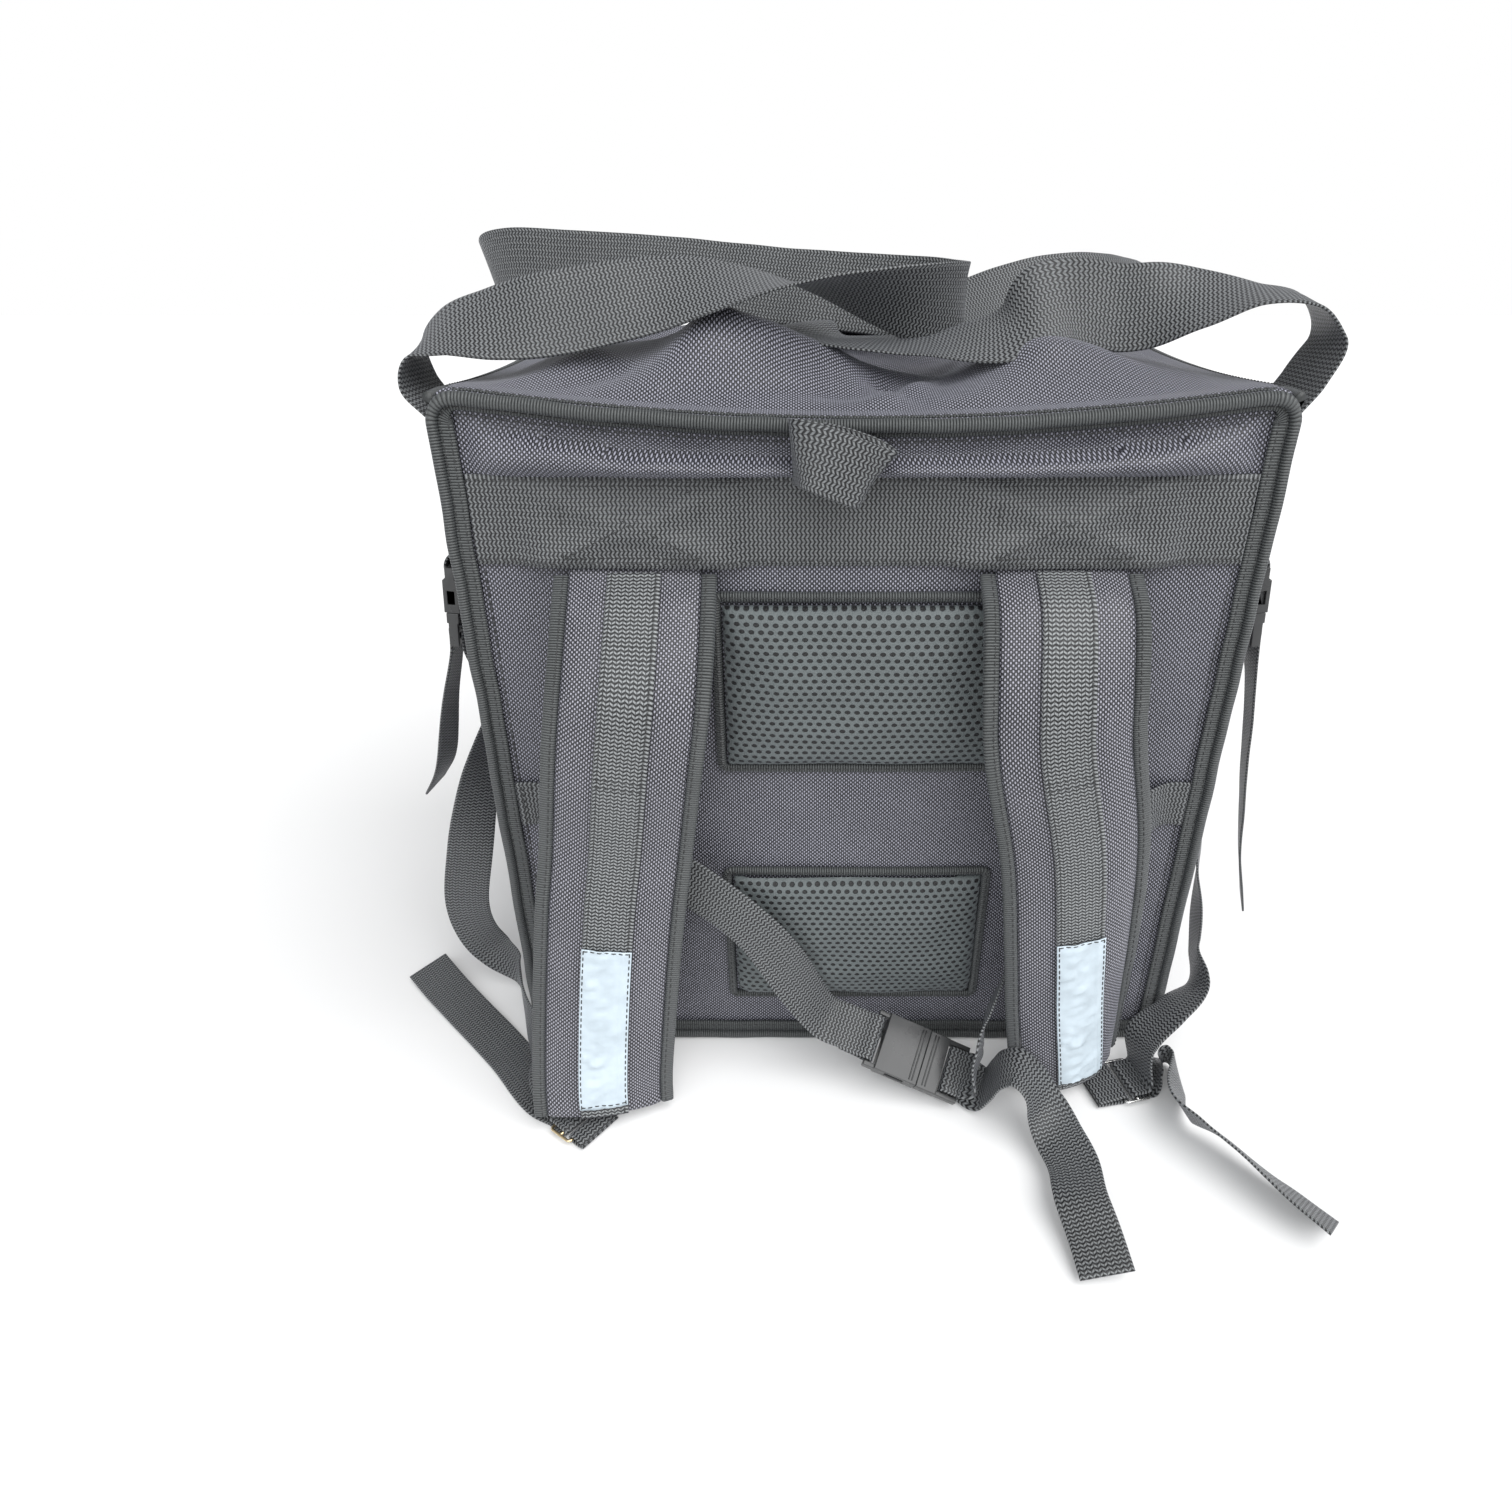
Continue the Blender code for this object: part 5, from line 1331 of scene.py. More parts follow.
@dataclass
class Bag:
    """What every sub-assembly needs: the finishes and the place for its stitches."""

    finishes: Finishes
    seams: Stitching = field(default_factory=Stitching)

    def add(
        self, grid: Grid, name: str, finish: str, slot: str, replaced: Iterable[str] = ()
    ) -> bpy.types.Object:
        """Adds a grid as a piece."""
        return add_piece(grid.mesh(name), self.finishes[finish], tuple(replaced))

    def webbing(
        self,
        name: str,
        rows: Sequence[Row],
        width: float,
        ground: Callable[[Array, Array], Array] = floor_height,
        wave: float = 0.0004,
        thickness: float = WEBBING_THICKNESS,
    ) -> Path:
        """Flat webbing along a route, a little uneven as used webbing is.

        Args:
            name: The piece's name, which is also the CAD node that it replaces.
            rows: The route's rows.
            width: Width of the webbing.
            ground: Height that the webbing stays above.
            wave: Height of its unevenness.
            thickness: Thickness of the webbing.

        Returns:
            The path that the webbing follows.
        """
        path = Path.along(rows).lifted(width, ground)
        section, u = slab(width, thickness)
        uneven = np.stack(np.broadcast_arrays(section[None, :, 0], path.length[:, None]), -1)
        waves = wave * ripple(uneven, 0.045, len(name) * 7 + 3)
        fade = np.minimum(1.0, np.minimum(path.length, path.length[-1] - path.length) / 0.03)
        grid = path.swept(section, u, waves * fade[:, None])
        self.add(grid, f"{name}_cloth", "wide_webbing", "webbing", [name])
        return path


@dataclass
class Shell:
    """The box of padded cloth, with its lid and the bound seams.

    Attributes:
        bag: The finishes and the place for the stitches.
        wall: Thickness of the padded wall.
        strip_pillow: How far the cloth over the band is puffed out.
        rim_corner: Radius of a panel's upper corners.
        piping_fat: How much thicker the bound roll is along the rim.
        flap_tuck: How much of the tape's flap is tucked away there.
    """

    bag: Bag
    wall: float = 0.008
    strip_pillow: float = 0.0150
    rim_corner: float = 0.009
    piping_fat: float = 0.34
    flap_tuck: float = 0.45

    def build(self) -> None:
        """Builds the walls, the lid and the bindings."""
        self.walls()
        self.lid()
        self.panel_binding("back_binding", -1.0)
        self.panel_binding("front_binding", 1.0)
        for side in Side:
            self.rim_binding(side)

    @staticmethod
    def ring_of(levels: Array, inset: float) -> tuple[Array, Array]:
        """Points round the body at each level, this far inside its outer face, and their u.

        Args:
            levels: Heights of the levels.
            inset: Distance inside the outer face or edge.

        Returns:
            The points, level by level, and the u of each column.
        """
        half_x = BODY_WIDTH / 2 - inset
        half_y = BODY_DEPTH / 2 - inset
        down = np.clip((BASE_CORNER - levels) / BASE_CORNER, 0, 1)
        narrow = BASE_CORNER * (1 - np.sqrt(1 - down**2))
        share_x, share_y = np.linspace(-1, 1, 131)[:-1], np.linspace(-1, 1, 93)[:-1]
        reach = half_x - narrow[:, None]
        z = np.repeat(levels[:, None], len(share_x), 1)
        back_x = reach * share_x[None]
        rim_x = rim_height(back_x, BODY_DEPTH / 2)
        back = np.stack([back_x, back_y(back_x, z) + inset, Shell.level(z, rim_x)], -1)
        bulge = PANEL_BULGE * swell(-back_x, BODY_WIDTH / 2, z)
        front = np.stack([-back_x, half_y + bulge, Shell.level(z, rim_x)], -1)
        z = np.repeat(levels[:, None], len(share_y), 1)
        side_y = np.repeat(half_y * share_y[None], len(levels), 0)
        out = wall_x(side_y, z) - inset - narrow[:, None]
        rim_y = rim_height(BODY_WIDTH / 2, side_y)
        right = np.stack([out, side_y, Shell.level(z, rim_y)], -1)
        left = np.stack([-out, -side_y, Shell.level(z, rim_y)], -1)
        points = np.concatenate([back, right, front, left], 1)
        corners = (BODY_WIDTH, BODY_DEPTH, BODY_WIDTH, BODY_DEPTH)
        u, start = [], 0.0
        for wide, shares in zip(corners, (share_x, share_y, share_x, share_y)):
            u.append(start + wide * (shares + 1) / 2)
            start += wide
        return points, np.concatenate([*u, [start]])

    @staticmethod
    def level(z: Array, rim: Array) -> Array:
        """Height of a point of the plain box on the soft one, whose rim sags.

        Args:
            z: Heights.
            rim: Height of the rim there.

        Returns:
            The height, moved by the sag: in full above the strip, and less and less down to the
            band.
        """
        strip = BODY_HEIGHT - RIM_LAND
        share = np.clip((z - BAND_TOP) / (strip - BAND_TOP), 0, 1)
        return np.where(z > strip, z + rim - BODY_HEIGHT, z + share * (rim - BODY_HEIGHT))

    def walls(self) -> None:
        """The four walls and the base, with slack cloth over the padding."""
        corner = BASE_CORNER * (1 - np.cos(np.linspace(0, math.pi / 2, 9)))
        levels = np.concatenate([corner, np.linspace(BASE_CORNER, BODY_HEIGHT, 120)[1:]])
        outer, u = self.ring_of(levels, 0.0)
        around = np.minimum(np.abs(outer[..., 0]), BODY_WIDTH / 2), np.abs(outer[..., 1])
        panel = around[1] > BODY_DEPTH / 2 - 1e-4
        along = np.where(panel, outer[..., 0] / (BODY_WIDTH / 2), outer[..., 1] / (BODY_DEPTH / 2))
        fade = np.clip((1 - np.abs(along)) / 0.10, 0, 1) * np.clip((levels / 0.03)[:, None], 0, 1)
        fade = fade * np.clip((BODY_HEIGHT - RIM_LAND + 0.004 - levels) / 0.006, 0, 1)[:, None]
        flat = np.stack([u[None, :-1] + 0 * outer[..., 2], outer[..., 2]], -1)
        waves = 0.0007 * ripple(flat, 0.11, 5) + 0.00035 * ripple(flat * (1.0, 2.2), 0.05, 9)
        strip = np.clip((levels - BAND_TOP) / 0.012, 0, 1)[:, None]
        slack = ripple(flat * (1.0, 0.25), 0.045, 12)
        waves = np.minimum(waves + strip * 0.0011 * slack, 0.0008)
        high = BODY_HEIGHT - RIM_LAND + 0.004
        above = np.clip((levels[:, None] - BAND_TOP) / (high - BAND_TOP), 0, 1)
        pillow = 2.6 * np.sqrt(above) * (1 - above)
        puffs = folded(outer[..., 0], outer[..., 2], STRIP_FOLDS, 1.0, 1.0) * np.sqrt(pillow)
        held = 1 - 0.45 * np.exp(-(((outer[..., 0] + 0.004) / 0.030) ** 2))
        puffs = puffs + self.strip_pillow * pillow * (1 - np.abs(along) ** 6) * held
        waves = waves + np.where(outer[..., 1] < -BODY_DEPTH / 2, puffs, 0.0)
        turned = np.where(panel[..., None], (0, 1, 0), (1, 0, 0)) * np.sign(outer)
        outer = outer + turned * (waves * fade - 0.0004)[..., None]
        inner, _ = self.ring_of(np.linspace(BODY_HEIGHT - 1e-4, self.wall, 30), self.wall)
        inner[..., 2] = np.maximum(inner[..., 2], self.wall)
        points = np.concatenate([outer, inner])
        v = np.concatenate([levels, np.linspace(BODY_HEIGHT, 2 * BODY_HEIGHT, 30)])
        uv = np.stack(np.broadcast_arrays(u[None, :], v[:, None]), -1)
        grid = Grid(points, uv, ring=True, caps=True)
        body = self.bag.add(grid, "body_cloth", "bag_cloth", "cloth", ["body_shell"])
        self.strip_seam()

    def strip_seam(self) -> None:
        """The rows of stitching that hold the panel's cloth beside its bindings."""
        inner = BODY_WIDTH / 2 - (BINDING_WIDTH - BINDING_PROUD) - 0.0030
        z = np.linspace(0.02, BAND_LOW - 0.004, 90)
        for sign in (-1.0, 1.0):
            x = np.full_like(z, sign * inner)
            points = np.stack([x, back_y(x, z) + 0.0001, z], 1)
            self.bag.seams.facing(points)

    def lid(self) -> None:
        """The slack padded lid, with the folds that its humps throw."""
        half_x, half_y = BODY_WIDTH / 2 - 0.0008, BODY_DEPTH / 2 - 0.0008
        x, y = np.meshgrid(np.linspace(-half_x, half_x, 241), np.linspace(-half_y, half_y, 187))
        fade = (1 - inward(x, BODY_WIDTH / 2, LAND) ** 4) * (1 - inward(y, BODY_DEPTH / 2, LAND) ** 4)
        flat = np.stack([x, y], -1)
        folds = 0.0016 * ripple(flat * (1.0, 0.45), 0.07, 21) + 0.0007 * ripple(flat, 0.035, 22)
        folds = np.minimum(folds, 0.0016) + folded(x, y, FOLDS, BODY_WIDTH / 2, BODY_DEPTH / 2)
        z = lid_bottom(x, y) + LID_THICKNESS + folds * fade - 0.0002
        edge = np.minimum(half_x - np.abs(x), half_y - np.abs(y))
        z = z - 0.0022 * np.clip(1 - edge / 0.006, 0, 1) ** 2
        top = np.stack([x, y, z], -1)
        mesh = Grid(top, flat).mesh("lid_cloth")
        lid = add_piece(mesh, self.bag.finishes["bag_cloth"], ["lid"])
        padding = lid.modifiers.new("padding", "SOLIDIFY")
        padding.thickness = LID_THICKNESS * 0.62
        padding.offset = -1
        self.zip_tape()

    def zip_tape(self) -> None:
        """The zip's tape round the lid's edge, just inside the bindings, with a row of stitches."""
        half_x, half_y = BODY_WIDTH / 2 - 0.0060, BODY_DEPTH / 2 - 0.0060
        line = np.array([(-half_x, half_y), (-half_x, -half_y), (half_x, -half_y), (half_x, half_y)])
        at = np.linspace(0, 3, 420)
        path = np.stack([np.interp(at, range(4), line[:, k]) for k in range(2)], 1)
        kernel = np.ones(7) / 7
        padded = np.pad(path, ((3, 3), (0, 0)), mode="edge")
        path = np.stack([np.convolve(padded[:, k], kernel, "valid") for k in range(2)], 1)
        z = lid_bottom(path[:, 0], path[:, 1]) + LID_THICKNESS - 0.0012
        centre = np.column_stack([path, z])
        heading = headings_of(centre)
        across = square_to(heading, np.cross(heading, (0.0, 0.0, 1.0)))
        tape = Path(centre, across, np.cross(across, heading) * -1)
        section, u = slab(0.0085, 0.0011, 7)
        grid = tape.swept(section, u)
        self.bag.add(grid, "lid_edge_tape", "binding_tape", "binding")
        normals = np.tile((0.0, 0.0, 1.0), (len(centre), 1))
        self.bag.seams.seam(centre + across * 0.0030 + normals * 0.0007, normals)

    def outline(self, inset: float, bottom: float) -> Array:
        """A dense closed line round a panel, from the middle of its foot.

        Args:
            inset: Distance inside the outer face or edge.
            bottom: Height of the lowest point.

        Returns:
            The line: straight feet and walls, quarter circles at the corners, and the sagging rim.
        """
        half = BODY_WIDTH / 2 - inset
        radius = max(BASE_CORNER - inset, 0.002)
        turn = np.linspace(0, math.pi / 2, 24)
        foot = np.stack([np.linspace(0, half - radius, 70), np.full(70, bottom)], 1)
        low = np.stack(
            [half - radius + radius * np.sin(turn), bottom + radius - radius * np.cos(turn)], 1
        )
        top = float(rim_height(half, BODY_DEPTH / 2)) - inset
        wall = np.linspace(bottom + radius, top - self.rim_corner, 150)
        side = np.stack([np.full(150, half), wall], 1)
        high = np.stack(
            [half + self.rim_corner * (np.cos(turn) - 1), top + self.rim_corner * (np.sin(turn) - 1)], 1
        )
        x = np.linspace(half - self.rim_corner, 0, 90)
        rim = np.stack([x, rim_height(x, BODY_DEPTH / 2) - inset], 1)
        right = np.vstack([foot, low[1:], side[1:], high[1:], rim[1:]])
        left = right[1:-1][::-1] * (-1, 1)
        return np.vstack([right, left])

    @staticmethod
    def bound_section(width: float, thick: float) -> Array:
        """A folded tape: a fat roll at the outer edge and a flat flap inside it.

        Args:
            width: Its width.
            thick: Thickness of the roll.

        Returns:
            Places across and up: an arc for the roll, then the flap.
        """
        roll = thick / 2
        turn = np.linspace(math.radians(205), math.radians(-90), 14)
        middle = width / 2 - roll
        rolled = np.stack([middle + roll * np.cos(turn), roll + roll * np.sin(turn)], 1)
        flap = np.linspace(-width / 2, middle - roll * 0.9, 8)
        top = np.stack([flap, np.full(8, thick * 0.42)], 1)
        top[0, 1] = thick * 0.30
        foot = np.array([(middle - 0.001, 0.0), (-width / 2 + 0.0005, 0.0)])
        return np.vstack([top, rolled, foot])

    def panel_binding(self, name: str, facing: float) -> None:
        """The bound seam round one panel.

        Args:
            name: The CAD node.
            facing: -1 for the wearer's panel and 1 for the far one.
        """
        inset = BINDING_WIDTH / 2 - BINDING_PROUD
        path = self.outline(inset, BINDING_WIDTH / 2 + FLOOR_GAP)
        legs = unit(np.roll(path, -1, axis=0) - np.roll(path, 1, axis=0))
        out = np.stack([legs[:, 1], -legs[:, 0]], 1)
        length = np.concatenate([lengths_along(path), [0.0]])
        length[-1] = length[-2] + np.linalg.norm(path[0] - path[-1])
        section = self.bound_section(BINDING_WIDTH, BINDING_THICKNESS)
        uneven = 0.00035 * ripple(np.column_stack([length[:-1], length[:-1]]), 0.06, 31)
        upper = np.clip(out[:, 1, None] - 0.5, 0, 0.5) * 2
        middle = BINDING_WIDTH / 2 - BINDING_THICKNESS / 2
        fat = 1 + self.piping_fat * upper * (section[None, :, 0] > middle - BINDING_THICKNESS * 0.46)
        narrow = 1 - self.flap_tuck * upper * (section[None, :, 0] < middle - BINDING_THICKNESS * 0.5)
        wide = middle + (section[None, :, 0] - middle) * fat * narrow + uneven[:, None]
        deep = BODY_DEPTH / 2 + SEAM_GAP + section[None, :, 1] * fat
        x = path[:, 0, None] + out[:, 0, None] * wide
        z = path[:, 1, None] + out[:, 1, None] * wide
        points = np.stack([x, facing * deep, z], -1)
        u = lengths_along(np.vstack([section, section[:1]]))
        uv = np.stack(np.broadcast_arrays(u[None, :], length[:, None]), -1)
        if facing > 0:
            points, uv = points[:, ::-1], uv[:, ::-1]
        grid = Grid(points, uv, ring=True, loop=True)
        self.bag.add(grid, f"{name}_tape", "binding_tape", "binding", [name])
        for side, rise in ((-0.0042, 0.42), (0.0, 0.42)):
            y = facing * (BODY_DEPTH / 2 + SEAM_GAP + BINDING_THICKNESS * rise)
            line = path + out * side
            seam = np.stack([line[:, 0], np.full(len(line), y), line[:, 1]], 1)
            normals = np.tile((0.0, facing, 0.0), (len(seam), 1))
            self.bag.seams.seam(seam, normals)

    def rim_binding(self, side: Side) -> None:
        """The bound upper edge of one side wall.

        Args:
            side: The side of the bag.
        """
        end = BODY_DEPTH / 2 - SEAM_GAP
        y = np.linspace(-end, end, 180)
        middle = rim_height(BODY_WIDTH / 2, y) + BINDING_PROUD - BINDING_WIDTH / 2
        section = self.bound_section(BINDING_WIDTH, BINDING_THICKNESS)
        x = side.value * (BODY_WIDTH / 2 + SEAM_GAP + section[None, :, 1]) + 0 * y[:, None]
        z = middle[:, None] + section[None, :, 0]
        points = np.stack([x, np.repeat(y[:, None], len(section), 1), z], -1)
        u = lengths_along(np.vstack([section, section[:1]]))
        uv = np.stack(np.broadcast_arrays(u[None, :], y[:, None]), -1)
        if side is Side.LEFT:
            points, uv = points[::-1], uv[::-1]
        grid = Grid(points, uv, ring=True, caps=True)
        name = f"rim_binding_{side.word}"
        self.bag.add(grid, f"{name}_tape", "binding_tape", "binding", [name])


@dataclass
class Panel:
    """What is sewn to the wearer's panel: the band, the hanging loop and the mesh pads.

    Attributes:
        bag: The finishes and the place for the stitches.
        band_thickness: Thickness of the wide webbing.
        loop_width: Width of the hanging loop.
        loop_clear: Least distance of the loop's seat in front of the flat panel.
        pad_width: Width of a mesh pad with its tape.
        pad_x: Middle of the pads.
        pad_height: Height of a pad.
        upper_pad_z: Middle of the upper pad.
        lower_pad_z: Middle of the lower pad.
        pad_tape: Width of the tape round a pad.
        voxel: Size of the pads' faces.
        frames: Length of the simulation that puffs the pads up.
        most_puff: Largest way that it moves a point.
    """

    bag: Bag
    band_thickness: float = 0.0018
    loop_width: float = 0.034
    loop_clear: float = 0.0053
    pad_width: float = 0.180
    pad_x: float = 0.004
    pad_height: float = 0.118
    upper_pad_z: float = 0.289
    lower_pad_z: float = 0.098
    pad_tape: float = 0.007
    voxel: float = 0.0030
    frames: int = 12
    most_puff: float = 0.0022

    def build(self) -> None:
        """Builds the band, the loop and the pads."""
        self.band()
        self.hanging_loop()
        self.pad("upper_pad", self.upper_pad_z)
        self.pad("lower_pad", self.lower_pad_z)

    @staticmethod
    def lift(x: Array) -> Array:
        """Share of the band's lift over the tucked end of a shoulder strap.

        Args:
            x: Places across the panel.

        Returns:
            The share: 1 over a strap's end, easing to 0 beside it.
        """
        share = np.zeros_like(x)
        for middle in STRAP_X.values():
            beyond = np.abs(x - middle) - (STRAP_WIDTH / 2 + 0.002)
            step = np.clip(1 - beyond / 0.022, 0, 1)
            share = np.maximum(share, step * step * (3 - 2 * step))
        return share

    def band(self) -> None:
        """The wide webbing across the panel, with the puckers that the straps pull in it."""
        end = BODY_WIDTH / 2 - (BINDING_WIDTH - BINDING_PROUD) - SEAM_GAP
        x = np.linspace(-end, end, 360)[:, None]
        z = np.linspace(BAND_LOW, BAND_TOP, 19)[None, :]
        full = STRAP_TUCK_THICKNESS + 4 * SEAM_GAP
        room = SEAM_GAP + self.lift(x) * full * (BAND_TOP - z) / BAND_WIDTH
        inner = back_y(x + 0 * z, z + 0 * x) - room
        puckers = np.zeros_like(inner)
        for middle in STRAP_X.values():
            off, up = (x - middle) / 0.050, (z - BAND_LOW - BAND_WIDTH * 0.45) / 0.020
            near = np.exp(-((np.abs(off) / 1.1) ** 4))
            cross = np.exp(-(((up - off * 0.9) / 0.35) ** 2)) + np.exp(-(((up + off * 0.9) / 0.35) ** 2))
            puckers = np.maximum(puckers, 0.0036 * near * np.minimum(cross, 1.2))
        flat = np.stack(np.broadcast_arrays(x, z), -1)
        puckers = puckers + 0.0005 * ripple(flat * (1.0, 0.7), 0.03, 41)
        edge = np.minimum(z - BAND_LOW, BAND_TOP - z) / 0.005
        puckers = puckers * np.clip(edge, 0, 1)
        outer = inner - self.band_thickness - np.maximum(puckers, -0.0003)
        front = np.stack([x + 0 * z, outer, z + 0 * x], -1)
        rear = np.stack([x + 0 * z, inner, z + 0 * x], -1)[:, ::-1]
        points = np.concatenate([front, rear], 1)[:, ::-1]
        v = np.concatenate([z[0], z[0][::-1], z[0][:1]])[::-1]
        uv = np.stack(np.broadcast_arrays(v[None, :], x), -1)
        grid = Grid(points, uv, ring=True, caps=True)
        self.bag.add(grid, "back_band_cloth", "wide_webbing", "webbing", ["back_band"])
        for z_seam in (BAND_LOW + 0.0025, BAND_TOP - 0.0025):
            k = int(np.argmin(np.abs(z[0] - z_seam)))
            line = front[:, k] + (0.0, -0.0001, 0.0)
            self.bag.seams.facing(line)
        self.anchor_stitches(front, x[:, 0], z[0])

    def anchor_stitches(self, front: Array, x: Array, z: Array) -> None:
        """The crossed box of stitching that holds each shoulder strap under the band.

        Args:
            front: Points of the band's front face.
            x: x of its columns.
            z: z of its rows.
        """
        for middle in STRAP_X.values():
            half = STRAP_WIDTH / 2 - 0.008
            low, high = BAND_LOW + 0.006, BAND_TOP - 0.006
            corners = [
                (middle - half, low), (middle + half, low), (middle + half, high),
                (middle - half, high), (middle - half, low), (middle + half, high),
            ]
            lines = list(zip(corners, corners[1:])) + [(corners[1], corners[3])]
            for (x0, z0), (x1, z1) in lines:
                t = np.linspace(0, 1, 40)
                px, pz = x0 + (x1 - x0) * t, z0 + (z1 - z0) * t
                i = np.clip(np.searchsorted(x, px), 0, len(x) - 1)
                j = np.clip(np.searchsorted(z, pz), 0, len(z) - 1)
                line = np.stack([px, front[i, j, 1] - 0.0001, pz], 1)
                self.bag.seams.facing(line)

    def hanging_loop(self) -> None:
        """The short folded loop of webbing over the band."""
        middle = BAND_TOP + LOOP_ROUTE[0][2] * self.loop_width
        levels = middle + self.loop_width * np.array((-0.5, -0.3, -0.1, 0.1, 0.3, 0.5))
        face = back_y(LOOP_ROUTE[0][0] * self.loop_width + 0 * levels, levels)
        face = face - np.where(levels <= BAND_TOP + SEAM_GAP, self.band_thickness + SEAM_GAP, 0.0)
        seat = min(face.min(), -BODY_DEPTH / 2 - self.loop_clear) - STITCH_GAP - WEBBING_THICKNESS / 2
        shift = -BODY_DEPTH / 2 - LOOP_ROUTE[0][1] * self.loop_width - seat
        wide, front = self.loop_width, -BODY_DEPTH / 2
        rows = [
            (x * wide, front - y * wide - shift, BAND_TOP + z * wide, *across)
            for x, y, z, across in LOOP_ROUTE
        ]
        self.bag.webbing("hanging_loop", rows, self.loop_width, wave=0.0006)

    def pad(self, name: str, middle: float) -> None:
        """A mesh pad blown up by a short cloth simulation, and its bound border.

        Args:
            name: The CAD node.
            middle: Height of its middle.
        """
        node = bpy.data.objects[name]
        mesh = node.data.copy()
        mesh.name = f"{name}_mesh"
        built = bmesh.new()
        built.from_mesh(mesh)
        bmesh.ops.remove_doubles(built, verts=built.verts, dist=1e-5)
        built.to_mesh(mesh)
        built.free()
        pad = bpy.data.objects.new(f"{name}_mesh", mesh)
        bpy.context.scene.collection.objects.link(pad)
        remesh = pad.modifiers.new("voxels", "REMESH")
        remesh.mode = "VOXEL"
        remesh.voxel_size = self.voxel
        apply_modifiers(pad)
        rest = read_points(pad.data)
        inflate(pad, self.frames)
        moved = read_points(pad.data) - rest
        size = np.linalg.norm(moved, axis=1, keepdims=True)
        moved = moved * np.minimum(1.0, self.most_puff / np.maximum(size, 1e-9))
        moved[:, 1] = np.minimum(moved[:, 1], 0.0)
        held = np.clip((rest[:, 1].max() - rest[:, 1]) / 0.004, 0, 1)[:, None]
        rest = rest + moved * (0.0, 1.0, 0.0) * held
        x, z = rest[:, 0] - self.pad_x, rest[:, 2] - middle
        limit = back_y(rest[:, 0], rest[:, 2]) - SEAM_GAP
        dimple = 0.0008 * ripple(np.stack([x, z], 1), 0.05, 51)
        front = np.clip((limit - rest[:, 1]) / 0.006, 0, 1)
        rest[:, 1] = np.minimum(rest[:, 1] + dimple * front, limit)
        write_points(pad.data, rest)
        mesh = pad.data
        bpy.data.objects.remove(pad)
        mesh.name = f"{name}_net"
        mesh.shade_smooth()
        piece = add_piece(mesh, self.bag.finishes["air_mesh"], [name])
        self.pad_binding(name, middle)

    def pad_binding(self, name: str, middle: float) -> None:
        """The tape sewn round a pad.

        Args:
            name: The pad's name.
            middle: Height of its middle.
        """
        half_x, half_z = self.pad_width / 2 - self.pad_tape / 2, self.pad_height / 2 - self.pad_tape / 2
        line = rounded_rectangle(half_x, half_z, self.pad_tape / 2)
        line = np.vstack([line, line[:1]])
        length = lengths_along(line)
        at = np.linspace(0, length[-1], 361)
        path = np.stack([np.interp(at, length, line[:, k]) for k in range(2)], 1)[:-1]
        path = path + (self.pad_x, middle)
        legs = unit(np.roll(path, -1, axis=0) - np.roll(path, 1, axis=0))
        out = np.stack([legs[:, 1], -legs[:, 0]], 1)
        turn = np.linspace(0, math.pi, 9)
        wide = self.pad_tape / 2 - SEAM_GAP
        section = np.stack([wide * np.cos(turn), 0.0032 * np.sin(turn) ** 0.7], 1)
        x = path[:, 0, None] + out[:, 0, None] * section[None, :, 0]
        z = path[:, 1, None] + out[:, 1, None] * section[None, :, 0]
        y = back_y(x, z) - SEAM_GAP - section[None, :, 1]
        points = np.stack([x, y, z], -1)
        u = lengths_along(np.vstack([section, section[:1]]))
        uv = np.stack(np.broadcast_arrays(u[None, :], at[:, None]), -1)
        grid = Grid(points, uv, ring=True, loop=True)
        name = f"{name}_binding"
        self.bag.add(grid, f"{name}_tape", "binding_tape", "binding", [name])
        seam = np.stack([path[:, 0], back_y(path[:, 0], path[:, 1]) - SEAM_GAP - 0.0033, path[:, 1]], 1)
        self.bag.seams.facing(seam)


def rounded_rectangle(half_u: float, half_v: float, corner: float) -> Array:
    """The outline of a rectangle whose corners are quarter circles.

    Args:
        half_u: Half its size in the first direction.
        half_v: Half its size in the second one.
        corner: Radius of the corners.

    Returns:
        Its points, a corner's middle plus the radius times cosine and sine.
    """
    line = []
    for quarter in range(4):
        sign_u = 1 if quarter in (0, 3) else -1
        sign_v = 1 if quarter < 2 else -1
        turn = math.pi / 2 * (quarter + np.linspace(0, 1, 9))
        u = sign_u * (half_u - corner) + corner * np.cos(turn)
        v = sign_v * (half_v - corner) + corner * np.sin(turn)
        line.append(np.stack([u, v], 1))
    return np.vstack(line)


def read_points(mesh: bpy.types.Mesh) -> Array:
    """The mesh's points as an array.

    Args:
        mesh: The mesh.

    Returns:
        The places, one a row.
    """
    flat = np.empty(len(mesh.vertices) * 3, np.float32)
    mesh.vertices.foreach_get("co", flat)
    return flat.reshape(-1, 3).astype(float)


def write_points(mesh: bpy.types.Mesh, points: Array) -> None:
    """Moves the mesh's points."""
    mesh.vertices.foreach_set("co", points.astype(np.float32).ravel())
    mesh.update()


def apply_modifiers(piece: bpy.types.Object) -> None:
    """Bakes a piece's modifiers into its mesh.

    Args:
        piece: The piece.
    """
    bpy.context.view_layer.update()
    graph = bpy.context.evaluated_depsgraph_get()
    mesh = bpy.data.meshes.new_from_object(piece.evaluated_get(graph))
    mesh.name = piece.name
    piece.modifiers.clear()
    piece.data = mesh


